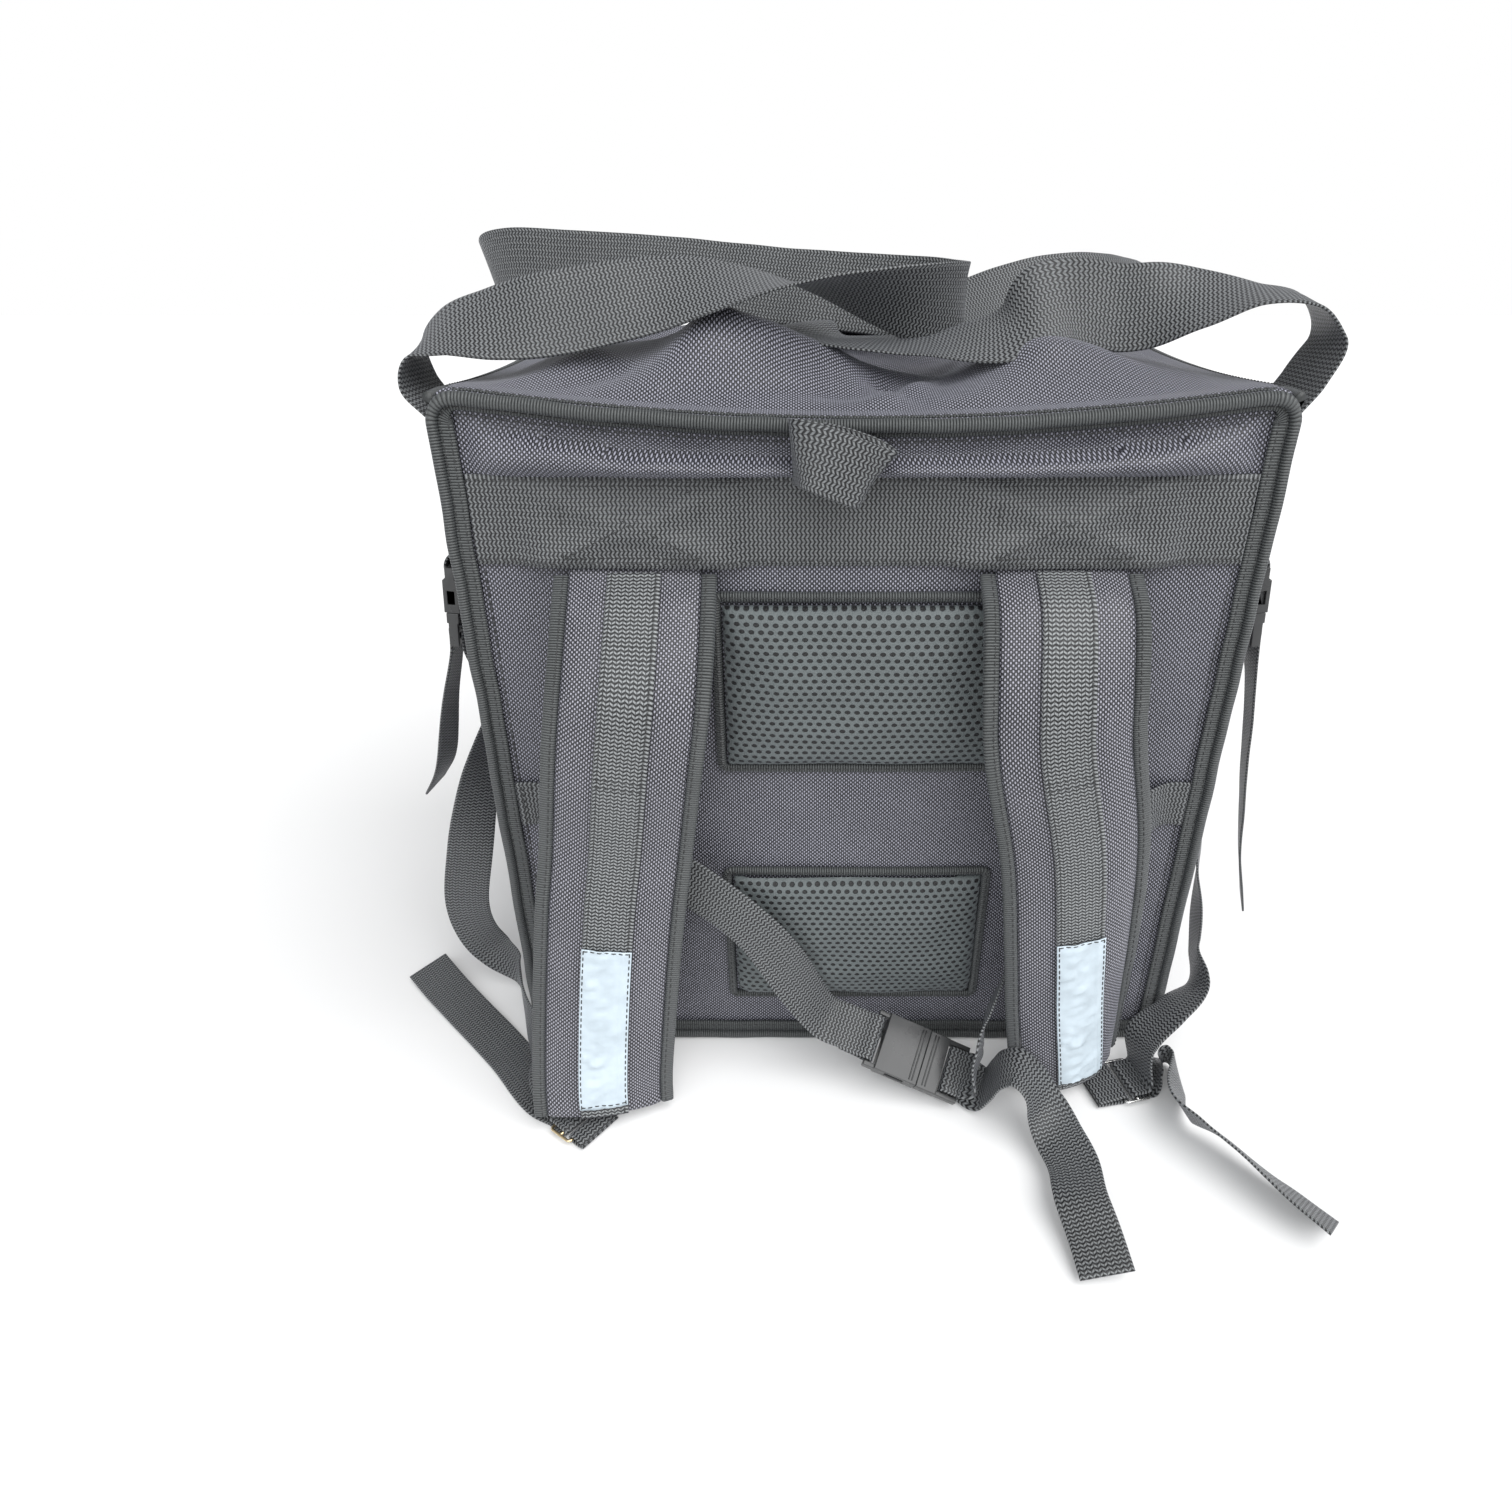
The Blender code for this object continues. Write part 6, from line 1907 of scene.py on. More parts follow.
def inflate(piece: bpy.types.Object, frames: int) -> None:
    """Blows a closed cloth up a little, and bakes the result.

    Args:
        piece: The piece.
        frames: Frames that are simulated.
    """
    cloth = piece.modifiers.new("cloth", "CLOTH")
    settings = cloth.settings
    settings.use_pressure = True
    settings.uniform_pressure_force = PAD_PRESSURE
    settings.effector_weights.gravity = 0.0
    cloth.point_cache.frame_start = 1
    cloth.point_cache.frame_end = frames
    for frame in range(1, frames + 1):
        bpy.context.scene.frame_set(frame)
    apply_modifiers(piece)
    bpy.context.scene.frame_set(1)


@dataclass
class ShoulderStrap:
    """One padded shoulder strap with its bindings, webbing, tape, slider and adjuster.

    Attributes:
        bag: The finishes and the place for the stitches.
        side: The side that it is on.
        thickness: Thickness of the padding.
        edge_width: Width of the binding on each of its edges.
        tuck: Length that is sewn under the band.
        reach: How far a route's full forward share stands off the panel.
        splay: How far a route's full sideways share lies outwards.
        face_width: Width of the webbing and the tape on its face.
        tape_length: Length of the reflective tape.
        tape_thickness: Thickness of that tape.
        tape_end: Distance from the tape to the strap's foot.
        slider_length: Length of the slider along the webbing.
        slider_bar: Thickness of the slider's wire.
        slider_corner: Radius of the slider's corners.
        cross_rows: Distances from the band to the rows of stitches across the webbing.
        adjuster_y: Where the adjuster's upper end is sewn to the side wall.
    """

    bag: Bag
    side: Side
    thickness: float = 0.010
    edge_width: float = 0.009
    tuck: float = 0.020
    reach: float = 0.088
    splay: float = 0.040
    face_width: float = 0.030
    tape_length: float = 0.121
    tape_thickness: float = 0.0007
    tape_end: float = 0.007
    slider_length: float = 0.018
    slider_bar: float = 0.0020
    slider_corner: float = 0.0022
    cross_rows: Row = (0.045, 0.052, 0.118, 0.125)
    adjuster_y: float = -0.099

    def __post_init__(self) -> None:
        """Works out the strap's rows and the directions across it and out of it."""
        self.rows, self.marks, self.at = self.route()
        heading = headings_of(self.rows[:, :3])
        self.across = square_to(heading, self.rows[:, 3:6])
        self.normal = np.cross(heading, self.across)
        self.place = self.slider_place()

    def build(self) -> None:
        """Builds the strap and its adjuster."""
        self.padding()
        for word, sign in (("inner", -self.side.value), ("outer", self.side.value)):
            self.edge(word, sign)
        self.face_webbing()
        self.reflector()
        self.slider()
        self.adjuster()

    def route(self) -> tuple[Array, list[float], Array]:
        """The strap's rows, its marks and the length at each row.

        Returns:
            The rows, the marks and the lengths.
        """
        middle = STRAP_X[self.side]

        def tucked(above: float, thick: float) -> Row:
            """A row of the flat end under the band."""
            z = BAND_LOW + above
            y = float(back_y(middle, z)) - SEAM_GAP - thick / 2
            return (middle, y, z, 1.0, 0.0, 0.0, thick, 0.0)

        rows = [
            tucked(self.tuck, STRAP_TUCK_THICKNESS * 0.6),
            tucked(self.tuck / 2, STRAP_TUCK_THICKNESS * 0.8),
            tucked(-0.001, STRAP_TUCK_THICKNESS),
        ]
        for drop, forward, along, yaw, curl in STRAPS[self.side]:
            x = middle + self.side.value * along * self.splay
            y = -BODY_DEPTH / 2 - forward * self.reach
            turn = math.radians(yaw)
            thick = self.thickness * min(1.0, 0.72 + 4 * drop)
            across = (math.cos(turn), math.sin(turn), 0.0)
            rows.append((x, y, BAND_LOW * (1 - drop), *across, thick, math.radians(curl)))
        dense = smooth(np.array(rows, float))
        length = lengths_along(dense[:, :3])
        whole = length[-1]
        tape = whole - self.tape_end
        marks = [0, self.tuck - 0.002, self.tuck + 0.006, tape - self.tape_length, tape, whole]
        at = np.unique(np.concatenate([np.arange(0, whole, 0.0025), marks]))
        return np.stack([np.interp(at, length, dense[:, k]) for k in range(dense.shape[1])], 1), marks, at

    def layer(self, first: int, last: int, section: Array, u: Array, waves: Array | None = None) -> Grid:
        """A layer of the strap between two marks.

        Args:
            first: Number of the mark that it starts at.
            last: Number of the mark that it ends at.
            section: (points, 3): place across, and rise as a share of the thickness and metres.
            u: The section's u, closed.
            waves: Added rise at each row and point.

        Returns:
            The surface: the section bent to an arc by the row's curl, and kept off the panel.
        """
        keep = (self.at >= self.marks[first] - 1e-6) & (self.at <= self.marks[last] + 1e-6)
        rows, across, normal = self.rows[keep], self.across[keep], self.normal[keep]
        thick, curl = rows[:, 6, None], np.maximum(rows[:, 7, None], 1e-4)
        half = STRAP_WIDTH / 2
        along = section[None, :, 0] + 0 * thick
        rise = section[None, :, 1] * thick + section[None, :, 2]
        if waves is not None:
            rise = rise + waves
        turn = curl * along / half
        wide, back = half / curl * np.sin(turn), half / curl * (1 - np.cos(turn))
        out = normal[:, None] * np.cos(turn)[..., None] + across[:, None] * np.sin(turn)[..., None]
        points = (
            rows[:, None, :3]
            + across[:, None] * wide[..., None]
            - normal[:, None] * back[..., None]
            + out * (rise - thick / 2)[..., None]
        )
        nearest = back_y(points[..., 0], points[..., 2]) - SEAM_GAP - rise
        points[..., 1] = np.minimum(points[..., 1], nearest)
        uv = np.stack(np.broadcast_arrays(u[None, :], self.at[keep][:, None]), -1)
        return Grid(points, uv, ring=True, caps=True)

    def count(self, first: int, last: int) -> Array:
        """The lengths of the rows between two marks."""
        keep = (self.at >= self.marks[first] - 1e-6) & (self.at <= self.marks[last] + 1e-6)
        return self.at[keep]

    def sew(self, grid: Grid, column: int, normal_from: int) -> None:
        """Stitches along one column of a layer, standing on its outer face.

        Args:
            grid: The layer.
            column: Column that is sewn.
            normal_from: Column on the other face.
        """
        line = grid.points[:, column]
        normals = unit(line - grid.points[:, normal_from])
        self.bag.seams.seam(line + normals * 0.0001, normals)

    def padding(self) -> None:
        """The padded cloth between the bindings, softly crowned beside the webbing."""
        half = STRAP_WIDTH / 2 - self.edge_width
        across = np.linspace(half, -half, 41)
        bed = np.clip((np.abs(across) - self.face_width / 2) / 0.010, 0, 1)
        crown = 0.94 - 0.24 * (np.abs(across) / half) ** 5 + 0.06 * (1 - bed)
        top = np.stack([across, crown, np.zeros(41)], 1)
        low = np.linspace(-half, half, 13)
        under = np.stack([low, 0.22 * (np.abs(low) / half) ** 6, np.zeros(13)], 1)
        section = np.vstack([top, under])[::-1]
        u = np.concatenate([section[:, 0], section[:1, 0]])
        at = self.count(0, 5)
        flat = np.stack(np.broadcast_arrays(section[None, :, 0], at[:, None]), -1)
        loose = np.clip((np.abs(section[:, 0]) - self.face_width / 2 - 0.001) / 0.006, 0, 1)
        loose = loose * np.clip((half - np.abs(section[:, 0])) / 0.006, 0, 1) * (section[:, 1] > 0.5)
        shown = np.clip((at - self.marks[2]) / 0.02, 0, 1)[:, None]
        waves = (0.0005 * ripple(flat, 0.05, 61) + 0.0006) * loose[None, :] * shown
        grid = self.layer(0, 5, section, u, waves)
        name = f"strap_{self.side.word}_pad"
        piece = self.bag.add(grid, f"{name}_cloth", "strap_cloth", "cloth", [name])

    def edge(self, word: str, sign: float) -> None:
        """The binding folded over one edge of the strap.

        Args:
            word: inner or outer.
            sign: Side of the strap or belt, -1 or 1.
        """
        low, high = STRAP_WIDTH / 2 - self.edge_width + SEAM_GAP, STRAP_WIDTH / 2
        middle, wide = (low + high) / 2, (high - low) / 2
        turn = np.linspace(0, 2 * math.pi, 19)[:-1]
        x = middle + wide * np.sign(np.cos(turn)) * np.abs(np.cos(turn)) ** 0.55
        rise = 0.50 + 0.36 * np.sign(np.sin(turn)) * np.abs(np.sin(turn)) ** 0.6
        section = np.stack([sign * x, rise, np.zeros(18)], 1)
        if sign < 0:
            section = section[::-1]
        closed = np.vstack([section, section[:1]])
        u = lengths_along(closed[:, :2] * (1, self.thickness))
        at = self.count(2, 5)
        waves = 0.0003 * ripple(np.stack([at, at], 1), 0.04, 71)[:, None]
        grid = self.layer(2, 5, section, u, waves)
        name = f"strap_{self.side.word}_{word}_binding"
        self.bag.add(grid, f"{name}_tape", "binding_tape", "binding", [name])
        off = np.abs(np.abs(section[:, 0]) - (low + 0.0022))
        above = int(np.argmin(off + 10 * (section[:, 1] < 0.6)))
        below = int(np.argmin(off + 10 * (section[:, 1] > 0.4)))
        self.sew(grid, above, below)

    def flat_layer(self, bottom: float, thick: float, count: int = 15) -> tuple[Array, Array]:
        """The section of webbing or tape lying on the padding, and its u.

        Args:
            bottom: Distance above the padding.
            thick: Its thickness.
            count: Points on each flat face.

        Returns:
            The section and its u.
        """
        section, u = slab(self.face_width, thick, count)
        section = np.stack([section[:, 0], np.ones(len(section)), section[:, 1] + bottom + thick / 2], 1)
        return section[::-1], u[::-1]

    def face_webbing(self) -> None:
        """The webbing sewn down the middle of the strap."""
        section, u = self.flat_layer(STITCH_GAP, WEBBING_THICKNESS)
        grid = self.layer(2, 5, section, u)
        name = f"strap_{self.side.word}_webbing"
        self.bag.add(grid, f"{name}_cloth", "strap_webbing", "webbing", [name])
        self.side_seams(grid, section, 0.0020)
        at = self.count(2, 5)
        for mark in self.cross_rows:
            k = int(np.argmin(np.abs(at - self.marks[2] - mark)))
            top = section[:, 2] > STITCH_GAP + WEBBING_THICKNESS * 0.9
            line = grid.points[k][top]
            normals = np.tile(unit(self.normal[np.searchsorted(self.at, at[k])]), (len(line), 1))
            self.bag.seams.seam(line, normals)

    def side_seams(self, grid: Grid, section: Array, inside: float) -> None:
        """A row of stitches along both edges of a flat layer.

        Args:
            grid: The layer.
            section: The layer's section.
            inside: Distance of the stitches from the edge.
        """
        high, low = section[:, 2].max(), section[:, 2].min()
        for sign in (-1, 1):
            goal = sign * (np.abs(section[:, 0]).max() - inside)
            top = int(np.argmin(np.abs(section[:, 0] - goal) + 10 * (section[:, 2] < high - 1e-6)))
            under = int(np.argmin(np.abs(section[:, 0] - goal) + 10 * (section[:, 2] > low + 1e-6)))
            self.sew(grid, top, under)

    def reflector(self) -> None:
        """The reflective tape at the foot, with its creases and the fold along one edge."""
        bottom = 2 * STITCH_GAP + WEBBING_THICKNESS
        section, u = self.flat_layer(bottom, self.tape_thickness, 31)
        at = self.count(3, 4)
        flat = np.stack(np.broadcast_arrays(section[None, :, 0], at[:, None]), -1)
        creases = ripple(flat * (0.45, 1.0), 0.009, 81)
        creases = creases * np.exp(-((section[None, :, 0] + 0.003) / 0.011) ** 2)
        inside = np.clip((self.face_width / 2 - np.abs(section[:, 0])) / 0.003, 0, 1)[None, :]
        fold = 0.0006 * np.exp(-((section[None, :, 0] - 0.0098) / 0.0009) ** 2)
        waves = (0.0018 * np.abs(creases) + fold) * inside
        grid = self.layer(3, 4, section, u, waves)
        name = f"strap_{self.side.word}_reflector"
        self.bag.add(grid, f"{name}_film", "reflective_tape", "reflector", [name])
        self.side_seams(grid, section, 0.0018)
        top = section[:, 2] > section[:, 2].max() - 1e-6
        for k in (1, len(at) - 2):
            line = grid.points[k][top] + (0.0, -0.0001, 0.0)
            self.bag.seams.facing(line)

    def slider_place(self) -> "Place":
        """The frame of the slider at the strap's foot.

        Returns:
            The frame.
        """
        out, front, bearing, _ = SLIDERS[self.side]
        foot, sign, turn = self.rows[-1], self.side.value, math.radians(bearing)
        heading = (sign * math.cos(turn), -math.sin(turn), 0.0)
        lift = FLOOR_GAP + WEBBING_THICKNESS + SEAM_GAP + self.slider_bar / 2 * 1.55
        centre = (foot[0] + sign * out, foot[1] - front, lift)
        return Place(centre, heading, np.cross(heading, (0, 0, 1)), (0, 0, 1))

    def slider(self) -> None:
        """The wire slider: a rounded frame with a bar across its middle."""
        half_x, radius = self.slider_length / 2, self.slider_bar / 2
        half_y = WEBBING_WIDTH / 2 + 0.0012 + radius
        flat = rounded_rectangle(half_x, half_y, self.slider_corner)
        line = np.column_stack([flat, np.zeros(len(flat))])
        bar = np.stack([np.zeros(12), np.linspace(-half_y, half_y, 12), np.zeros(12)], 1)
        finish = "pale_gold" if self.side is Side.LEFT else "plated_steel"
        slot = "brass" if self.side is Side.LEFT else "steel"
        name = f"slider_{self.side.word}"
        frame = tube(self.place.world(line), radius, closed=True)
        self.bag.add(frame, f"{name}_frame", finish, slot, [name])
        self.bag.add(tube(self.place.world(bar), radius), f"{name}_bar", finish, slot)

    def adjuster(self) -> None:
        """The loop that holds the slider, and the adjuster webbing through it."""
        place, side = self.place, self.side
        half, bar = self.slider_length / 2, self.slider_bar / 2
        rise = bar * 1.55 + SEAM_GAP + WEBBING_THICKNESS / 2
        reach = SLIDERS[side][3]
        flat = WEBBING_THICKNESS / 2 + SEAM_GAP
        loop = [place.row(-half - reach, flat), place.row(-half - 0.007, rise * 0.8)]
        loop += place.round_bar(-half, (90, 45, 0, -45, -90), bar, bar)
        loop += [place.row(-half - 0.007, -rise * 0.8), place.row(-half - reach, -flat)]
        self.bag.webbing(f"strap_{side.word}_end_loop", loop, WEBBING_WIDTH, wave=0.0)

        high = BODY_HEIGHT * 0.66
        rows = [wall_row(side, self.adjuster_y, z) for z in (high, high - 0.03)]
        rows += placed(SLACK[side])
        out, up = SLACK_BEND[side]
        rows += [place.row(half + out, rise + up), place.row(half, rise + 0.0004)]
        rows += place.round_bar(0.0, (70, 110, 150, 210, 250, 290), bar, bar)
        rows += [place.row(half, -rise), place.row(half + 0.006, -rise)]
        rows += placed(TAIL[side])
        self.bag.webbing(f"adjuster_{side.word}", rows, WEBBING_WIDTH, wave=0.0003)


def tube(line: Array, radius: float, closed: bool = False, sides: int = 12) -> Grid:
    """A round wire along a line that lies in one plane.

    Args:
        line: Places along the wire.
        radius: Radius of the wire.
        closed: Whether the wire's ends join.
        sides: Faces round the wire.

    Returns:
        The surface: a circle square to the line at each point.
    """
    if closed:
        heading = unit(np.roll(line, -1, axis=0) - np.roll(line, 1, axis=0))
        up = unit(np.cross(line[0] - line.mean(0), line[5] - line.mean(0)))
    else:
        heading = headings_of(line)
        up = np.array((0.0, 0.0, 1.0))
    side = unit(np.cross(heading, up))
    up = np.cross(side, heading)
    turn = (np.arange(sides) * 2 * math.pi / sides)[None, :, None]
    points = line[:, None] + radius * (side[:, None] * np.cos(turn) + up[:, None] * np.sin(turn))
    rows = len(line) + 1
    uv = np.stack(np.meshgrid(np.linspace(0, 0.01, sides + 1), np.linspace(0, 0.1, rows)), -1)
    return Grid(points, uv, ring=True, loop=closed, caps=not closed)


@dataclass
class Place:
    """A frame that hardware sits in.

    Attributes:
        centre: Its middle.
        heading: Direction of the webbing.
        across: Direction of the webbing's width.
        outwards: A direction that the frame's up side faces.
        up: Direction square to the other two, worked out.
    """

    centre: Array | Row
    heading: Array | Row
    across: Array | Row
    outwards: Row
    up: Array = field(init=False)

    def __post_init__(self) -> None:
        """Squares the directions up."""
        self.centre = np.array(self.centre, float)
        self.heading = unit(np.array(self.heading, float))
        self.across = square_to(self.heading, np.array(self.across, float))
        self.up = np.cross(self.heading, self.across)
        if self.up @ np.array(self.outwards, float) < 0:
            self.across, self.up = -self.across, -self.up

    def world(self, points: Array) -> Array:
        """Points of the frame in the world."""
        return self.centre + points @ np.stack([self.heading, self.across, self.up])

    def row(self, along: float, up: float) -> Row:
        """A webbing row at a place along the heading and above the middle."""
        return (*(self.centre + self.heading * along + self.up * up), *self.across)

    def round_bar(self, bar: float, angles: Sequence[float], half_along: float, half_up: float) -> list[Row]:
        """Webbing rows round a bar, at these angles from the heading towards up.

        Args:
            bar: Middle of the bar along the heading.
            angles: Angles round the bar, degrees.
            half_along: Half the bar's size along the heading.
            half_up: Half its size upwards.

        Returns:
            The rows, on an ellipse round the bar.
        """
        lift = SEAM_GAP + WEBBING_THICKNESS / 2
        reach, rise = half_along * 1.55 + lift, half_up * 1.55 + lift
        return [
            self.row(bar + reach * math.cos(math.radians(a)), rise * math.sin(math.radians(a)))
            for a in angles
        ]


def wall_row(side: Side, y: float, z: float, width: float = WEBBING_WIDTH, over: float = 0.0) -> Row:
    """A row of webbing sewn flat on a side wall, or passing over what is sewn there.

    Args:
        side: The side of the bag.
        y: Middle of the webbing along the wall.
        z: Its height.
        width: Its width.
        over: Thickness of what it passes over.

    Returns:
        The row.
    """
    bulge = max(float(wall_x(y + width * share, z)) for share in (-0.5, 0.0, 0.5))
    x = bulge + over + WALL_GAP + WEBBING_THICKNESS / 2
    return (side.value * x, y, z, 0.0, 1.0, 0.0)


@dataclass
class Buckle:
    """A side-release buckle: the CAD solids with rounded edges, and rows round its bars.

    Attributes:
        bag: The finishes and the place for the stitches.
        name: Its name, before the words socket and plug.
        place: Its frame.
        sizes: Webbing width, length of socket and plug, and thickness.
        bar: Width of a bar.
        slot: Length of a slot.
        bar_share: Thickness of a bar as a share of the buckle's.
        edge_round: Size of the soft moulded edges.
        ridge_radius: Radius of a grip ridge.
        ridge_rows: Place of each ridge along the webbing, and its height as a share of the thickness.
    """

    bag: Bag
    name: str
    place: Place
    sizes: Row
    bar: float = 0.003
    slot: float = 0.0048
    bar_share: float = 0.36
    edge_round: float = 0.00055
    ridge_radius: float = 0.0005
    ridge_rows: tuple[Row, ...] = ((0.0042, 0.40), (0.0064, 0.40), (-0.0035, 0.50), (-0.0056, 0.50))

    def build(self) -> None:
        """Rounds the two halves of the buckle and adds the grips."""
        for half in ("socket", "plug"):
            self.rounded(f"{self.name}_{half}")
        self.ridges()

    def rounded(self, name: str) -> None:
        """A copy of a CAD half with soft moulded edges.

        Args:
            name: The CAD node.
        """
        built = bmesh.new()
        built.from_mesh(bpy.data.objects[name].data)
        bmesh.ops.remove_doubles(built, verts=built.verts, dist=1e-5)
        bmesh.ops.dissolve_limit(built, angle_limit=math.radians(1), verts=built.verts, edges=built.edges)
        sharp = [edge for edge in built.edges if edge.is_manifold and edge.calc_face_angle(0) > 0.5]
        bmesh.ops.bevel(
            built, geom=sharp, offset=self.edge_round, segments=2, profile=0.6, affect="EDGES",
            clamp_overlap=True,
        )
        mesh = bpy.data.meshes.new(f"{name}_plastic")
        built.to_mesh(mesh)
        built.free()
        mesh.shade_smooth()
        mesh.set_sharp_from_angle(angle=math.radians(40))
        add_piece(mesh, self.bag.finishes["buckle_plastic"], [name])

    def ridges(self) -> None:
        """Grip ridges across both faces of the plug and of the socket."""
        thick, wide = self.sizes[3], self.sizes[0] + 0.004
        line = np.stack([np.zeros(9), np.linspace(-wide / 2, wide / 2, 9), np.zeros(9)], 1)
        grids = []
        for at, up in self.ridge_rows:
            for sign in (-1.0, 1.0):
                ridge = self.place.world(line + (at, 0.0, sign * (thick * up)))
                grids.append(tube(ridge, self.ridge_radius, sides=8))
        built = bmesh.new()
        for grid in grids:
            part = grid.mesh("ridge")
            built.from_mesh(part)
            bpy.data.meshes.remove(part)
        mesh = bpy.data.meshes.new(f"{self.name}_ridges")
        built.to_mesh(mesh)
        built.free()
        mesh.shade_smooth()
        add_piece(mesh, self.bag.finishes["buckle_plastic"])

    @property
    def rise(self) -> float:
        """How far above a bar the middle of the webbing passes."""
        return self.sizes[3] * self.bar_share / 2 * 1.55 + SEAM_GAP + WEBBING_THICKNESS / 2

    def sewn_turn(self, overlap: float) -> list[Row]:
        """Webbing turned round the socket's rear bar and back along itself.

        Args:
            overlap: Length turned back along itself.

        Returns:
            The rows.
        """
        place, (_, socket, _, thick) = self.place, self.sizes
        bar = -socket + self.bar / 2
        flat = WEBBING_THICKNESS / 2 + SEAM_GAP
        neck = min(0.009, overlap / 2)
        rows = [place.row(bar - overlap, flat)]
        if overlap > 2 * neck:
            rows.append(place.row(bar - overlap * 0.6, flat))
        rows.append(place.row(bar - neck, flat * 1.6))
        rows += place.round_bar(bar, (90, 40, 0, -40, -90), self.bar / 2, thick * self.bar_share / 2)
        end = max(overlap * 0.55, neck + 0.002)
        return rows + [place.row(bar - neck, -flat * 1.6), place.row(bar - end, -flat)]

    def plug_turn(self, upward: int) -> list[Row]:
        """Webbing past the plug's outer bar, round the inner one and out again.

        Args:
            upward: 1 where the webbing comes in above the bars, else -1.

        Returns:
            The rows.
        """
        place, (_, _, plug, thick) = self.place, self.sizes
        rise = upward * self.rise
        angles = [upward * angle for angle in (110, 150, -150, -110)]
        inner = plug - self.slot - self.bar * 1.5
        rows = [place.row(plug - self.bar, rise)]
        rows += place.round_bar(inner, angles, self.bar / 2, thick * self.bar_share / 2)
        return rows + [place.row(plug - self.bar, -rise), place.row(plug + 0.005, -rise * 1.1)]


@dataclass
class WaistBelt:
    """The fastened waist belt with its buckle and loose tail.

    Attributes:
        bag: The finishes and the place for the stitches.
        buckle_x: Middle of the buckle across the bag.
        buckle_front: How far the buckle's middle lies in front of the flat panel.
        buckle_z: Height of the buckle's middle.
        overlap: Length of webbing sewn back on itself at the socket.
        end_share: Height of the sewn ends, as a share of the body's.
        end_length: Length of webbing sewn to the panel's border.
    """

    bag: Bag
    buckle_x: float = 0.0500
    buckle_front: float = 0.050
    buckle_z: float = 0.0260
    overlap: float = 0.036
    end_share: float = 0.452
    end_length: float = 0.014

    def build(self) -> None:
        """Builds the buckle and both halves of the belt."""
        bag = self.bag
        centre = (self.buckle_x, -BODY_DEPTH / 2 - self.buckle_front, self.buckle_z)
        place = Place(centre, (0.900, -0.200, -0.330), (0.34, 0.80, 0.44), (0, -0.4, 1))
        buckle = Buckle(bag, "waist_buckle", place, WAIST_BUCKLE)
        buckle.build()
        wide, _, plug, _ = WAIST_BUCKLE
        left = self.edge_rows(-1) + placed(BELT_LEFT) + buckle.sewn_turn(self.overlap)
        right = self.edge_rows(1) + placed(BELT_RIGHT)
        right += [place.row(plug + 0.0045, buckle.rise + 0.0080), place.row(plug, buckle.rise + 0.0020)]
        right += buckle.plug_turn(1) + placed(BELT_TAIL)
        sewn = bag.webbing("waist_belt_left", left, wide, wave=0.0002)
        bag.webbing("waist_belt_right", right, wide, wave=0.0002)
        for k in (0.004, 0.010):
            at = np.linspace(-wide / 2 + 0.002, wide / 2 - 0.002, 20)
            centre, _, _ = sewn.point(np.full(20, k), 0.0, 0.0)
            across = unit(sewn.across[1])
            line = centre + across * at[:, None] + (0.0, -0.0009, 0.0)
            bag.seams.facing(line)

    def edge_rows(self, sign: int) -> list[Row]:
        """Rows of the belt's end, sewn flat on the border of the panel.

        Args:
            sign: Side of the strap or belt, -1 or 1.

        Returns:
            The rows.
        """
        z = self.end_share * BODY_HEIGHT
        end = BODY_WIDTH / 2 - (BINDING_WIDTH - BINDING_PROUD) - SEAM_GAP
        rows = []
        for x in (end, end - self.end_length):
            y = float(back_y(x, z)) - WALL_GAP - WEBBING_THICKNESS / 2
            rows.append((sign * x, y, z, 0.0, 0.0, 1.0))
        return rows


@dataclass
class SideStrap:
    """The short buckled strap down one side wall.

    Attributes:
        bag: The finishes and the place for the stitches.
        side: The side that it is on.
        y: Where it runs along the wall.
        buckle_out: How far the buckle stands off the wall.
    """

    bag: Bag
    side: Side
    y: float = -0.140
    buckle_out: float = 0.012

    def build(self) -> None:
        """Builds the buckle and both parts of the strap."""
        bag, side = self.bag, self.side
        thick, wide = SIDE_BUCKLE[3], SIDE_BUCKLE[0]
        top = HANDLE_END_Z - 0.002
        z = top - 0.020 - SIDE_BUCKLE[1]
        out = float(wall_x(self.y, z)) + WALL_GAP + thick / 2 + self.buckle_out
        sign = side.value
        place = Place((sign * out, self.y, z), (sign * 0.10, 0, -1), (0, 1, 0), (sign, 0, 0))
        name = f"side_{side.word}"
        buckle = Buckle(bag, f"{name}_buckle", place, SIDE_BUCKLE)
        buckle.build()
        upper = [wall_row(side, self.y, at) for at in (top, top - 0.006)]
        upper += buckle.sewn_turn(0.012)[1:-1]
        bag.webbing(f"{name}_strap_upper", upper, wide, wave=0.0)
        lower = [wall_row(side, self.y, BODY_HEIGHT * share) for share in (0.52, 0.57)]
        lower.append(place.row(SIDE_BUCKLE[2] + 0.004, -buckle.rise * 1.15))
        lower += buckle.plug_turn(-1) + placed(SIDE_TAIL[side])
        bag.webbing(f"{name}_strap_lower", lower, wide, wave=0.0002)


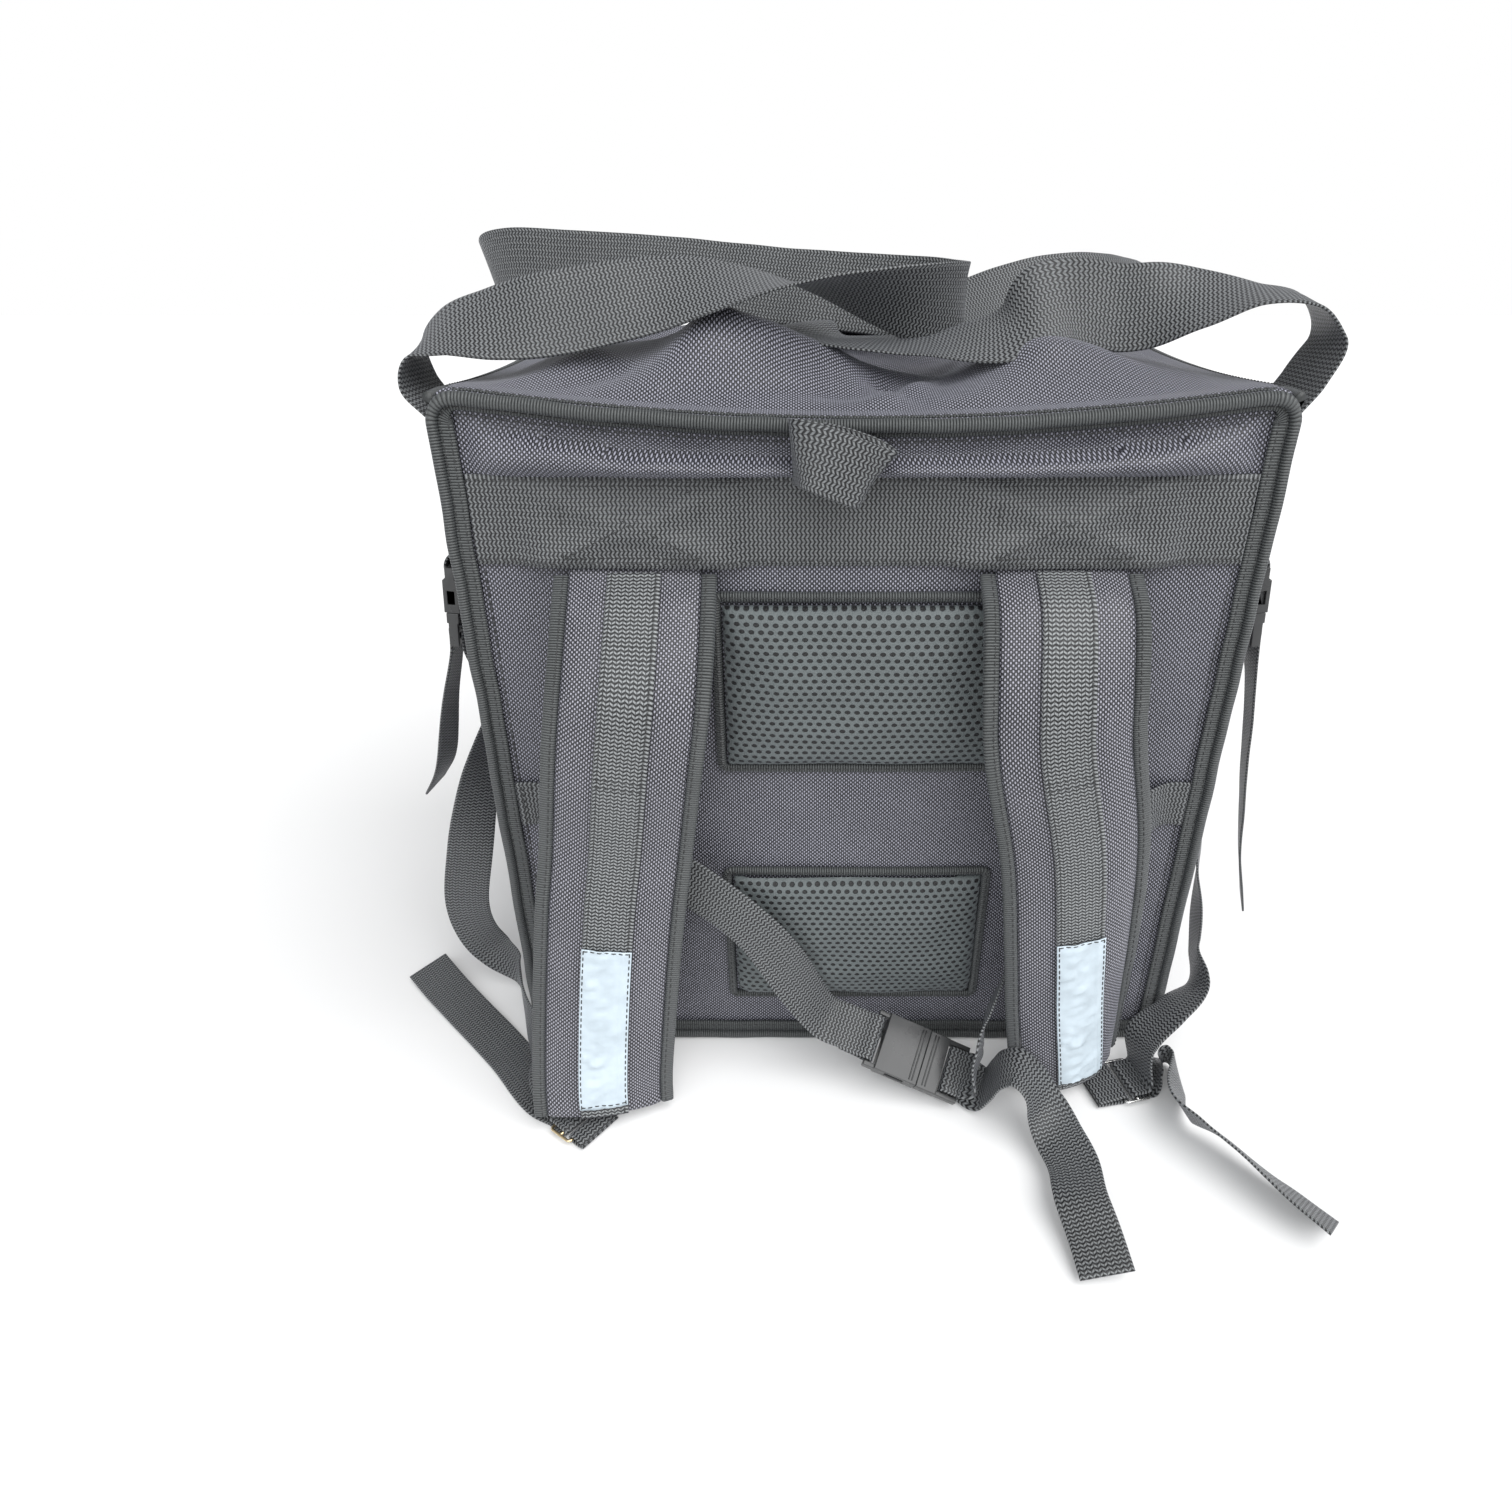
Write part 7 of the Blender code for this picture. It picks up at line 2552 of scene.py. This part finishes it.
@dataclass
class Handle:
    """A long carrying handle, sewn to one side wall and thrown over the lid.

    Attributes:
        bag: The finishes and the place for the stitches.
        side: The side that it is on.
        width: Width of the webbing.
        end_y: How far its sewn ends lie from the middle of the wall.
    """

    bag: Bag
    side: Side
    width: float = 0.050
    end_y: float = 0.135

    def build(self) -> None:
        """Builds the handle and two rows of stitches on each face at each of its ends."""
        bag, side = self.bag, self.side
        over = BINDING_THICKNESS + SEAM_GAP
        ends = ((HANDLE_END_Z, 0), (BODY_HEIGHT * 0.89, 0), (BODY_HEIGHT * 0.965, over))
        rows = [wall_row(side, -self.end_y, z, self.width, out) for z, out in ends]
        rows += placed(HANDLES[side])
        rows += [wall_row(side, self.end_y, z, self.width, out) for z, out in reversed(ends)]
        path = bag.webbing(f"handle_{side.word}", rows, self.width, lid_ground, wave=0.0005)
        for end in (0.0, path.length[-1]):
            low, high = (0.003, 0.032) if end == 0 else (end - 0.032, end - 0.003)
            for across in (-0.021, 0.021):
                for rise in (-0.0008, 0.0008):
                    bag.seams.along(path, across, rise, low, high)


@dataclass
class Studio:
    """The pale floor, the soft lights and the camera of the photograph.

    Attributes:
        floor_half: Half the floor's width.
        room_light: Strength of the room's light on the bag.
        top_way: Where the light from above comes from.
        top_light: Its strength.
        front_way: Where the weaker light from the front comes from.
        front_light: Its strength.
        softness: Angle that each light fills, degrees.
        cool: Colour of the light from the front.
        picture: Width of the photograph, pixels.
        focal: Focal length, photo pixels.
        centre_x: Where the camera's axis meets the photograph, pixels.
        pitch: Angle of the camera below the horizon, degrees.
        eye: Place of the camera.
    """

    floor_half: float = 6.0
    room_light: float = 0.38
    top_way: Row = (0.55, -0.50, 1.0)
    top_light: float = 3.2
    front_way: Row = (-0.30, -1.0, 0.55)
    front_light: float = 1.75
    softness: float = 60.0
    cool: Row = (0.96, 0.98, 1.0)
    picture: float = 1512
    focal: float = 966
    centre_x: float = 803
    pitch: float = 29
    eye: Row = (-0.032, -0.7076, 0.533)

    def build(self) -> None:
        """Builds the floor, the lights and the camera."""
        self.floor()
        self.lights()
        self.camera()

    def floor(self) -> None:
        """A white floor that only shows soft shadows."""
        mesh = bpy.data.meshes.new("floor")
        half = self.floor_half
        corners = [(-half, -half, 0), (half, -half, 0), (half, half, 0), (-half, half, 0)]
        mesh.from_pydata(corners, [], [(0, 1, 2, 3)])
        floor = bpy.data.objects.new("floor", mesh)
        bpy.context.scene.collection.objects.link(floor)
        finish = bpy.data.materials.new("floor")
        finish.use_nodes = True
        shader = finish.node_tree.nodes["Principled BSDF"]
        shader.inputs["Base Color"].default_value = (0.74, 0.74, 0.74, 1.0)
        shader.inputs["Roughness"].default_value = 0.9
        shader.inputs["Specular IOR Level"].default_value = 0.0
        shader.inputs["Emission Color"].default_value = (1.0, 1.0, 1.0, 1.0)
        shader.inputs["Emission Strength"].default_value = 0.08
        mesh.materials.append(finish)

    @staticmethod
    def sky_light(name: str, way: Row, strength: float, spread: float, colour: Row = (1, 1, 1)) -> None:
        """A wide soft light that comes from one side of the sky and is even everywhere.

        Args:
            name: The light's name.
            way: Direction that the light comes from.
            strength: Strength of the light.
            spread: Angle that it fills, degrees.
            colour: Its colour.
        """
        data = bpy.data.lights.new(name, "SUN")
        data.energy, data.angle, data.color = strength, math.radians(spread), colour
        lamp = bpy.data.objects.new(name, data)
        lamp.location = way
        lamp.rotation_euler = Vector(way).to_track_quat("Z", "Y").to_euler()
        bpy.context.scene.collection.objects.link(lamp)

    def lights(self) -> None:
        """A bright room, with soft light from above and a weaker one from the front."""
        world = bpy.data.worlds.new("room")
        bpy.context.scene.world = world
        world.use_nodes = True
        graph = Graph(world.node_tree)
        room = world.node_tree.nodes["Background"]
        room.inputs["Color"].default_value = (1.0, 1.0, 1.0, 1.0)
        seen = graph.node("ShaderNodeLightPath").outputs["Is Camera Ray"]
        strength = graph.math("MULTIPLY_ADD", seen, 1.0 - self.room_light, self.room_light)
        graph.feed(room.inputs["Strength"], strength)
        self.sky_light("top_light", self.top_way, self.top_light, self.softness)
        self.sky_light("front_light", self.front_way, self.front_light, self.softness, self.cool)

    def camera(self) -> None:
        """The camera that the photograph was taken from."""
        data = bpy.data.cameras.new("camera")
        data.sensor_width = 36.0
        data.lens = data.sensor_width * self.focal / self.picture
        data.shift_x = (self.picture / 2 - self.centre_x) / self.picture
        data.clip_start = 0.01
        camera = bpy.data.objects.new("camera", data)
        camera.location = self.eye
        camera.rotation_euler = (math.radians(90 - self.pitch), 0, 0)
        bpy.context.scene.collection.objects.link(camera)
        bpy.context.scene.camera = camera
        bpy.context.scene.view_settings.view_transform = "Standard"
        bpy.context.scene.view_settings.look = "None"


def main() -> None:
    """Builds the bag's looks, sub-assembly by sub-assembly."""
    logging.basicConfig(level=logging.INFO)
    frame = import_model()
    log.info("%d CAD nodes are dressed", len(frame["nodes"]))
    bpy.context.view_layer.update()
    Studio().build()
    bag = Bag(Finishes())
    Shell(bag).build()
    Panel(bag).build()
    for side in Side:
        ShoulderStrap(bag, side).build()
        SideStrap(bag, side).build()
        Handle(bag, side).build()
    WaistBelt(bag).build()
    add_piece(bag.seams.mesh("stitching"), bag.finishes["sewing_thread"])


if __name__ == "__main__":
    main()
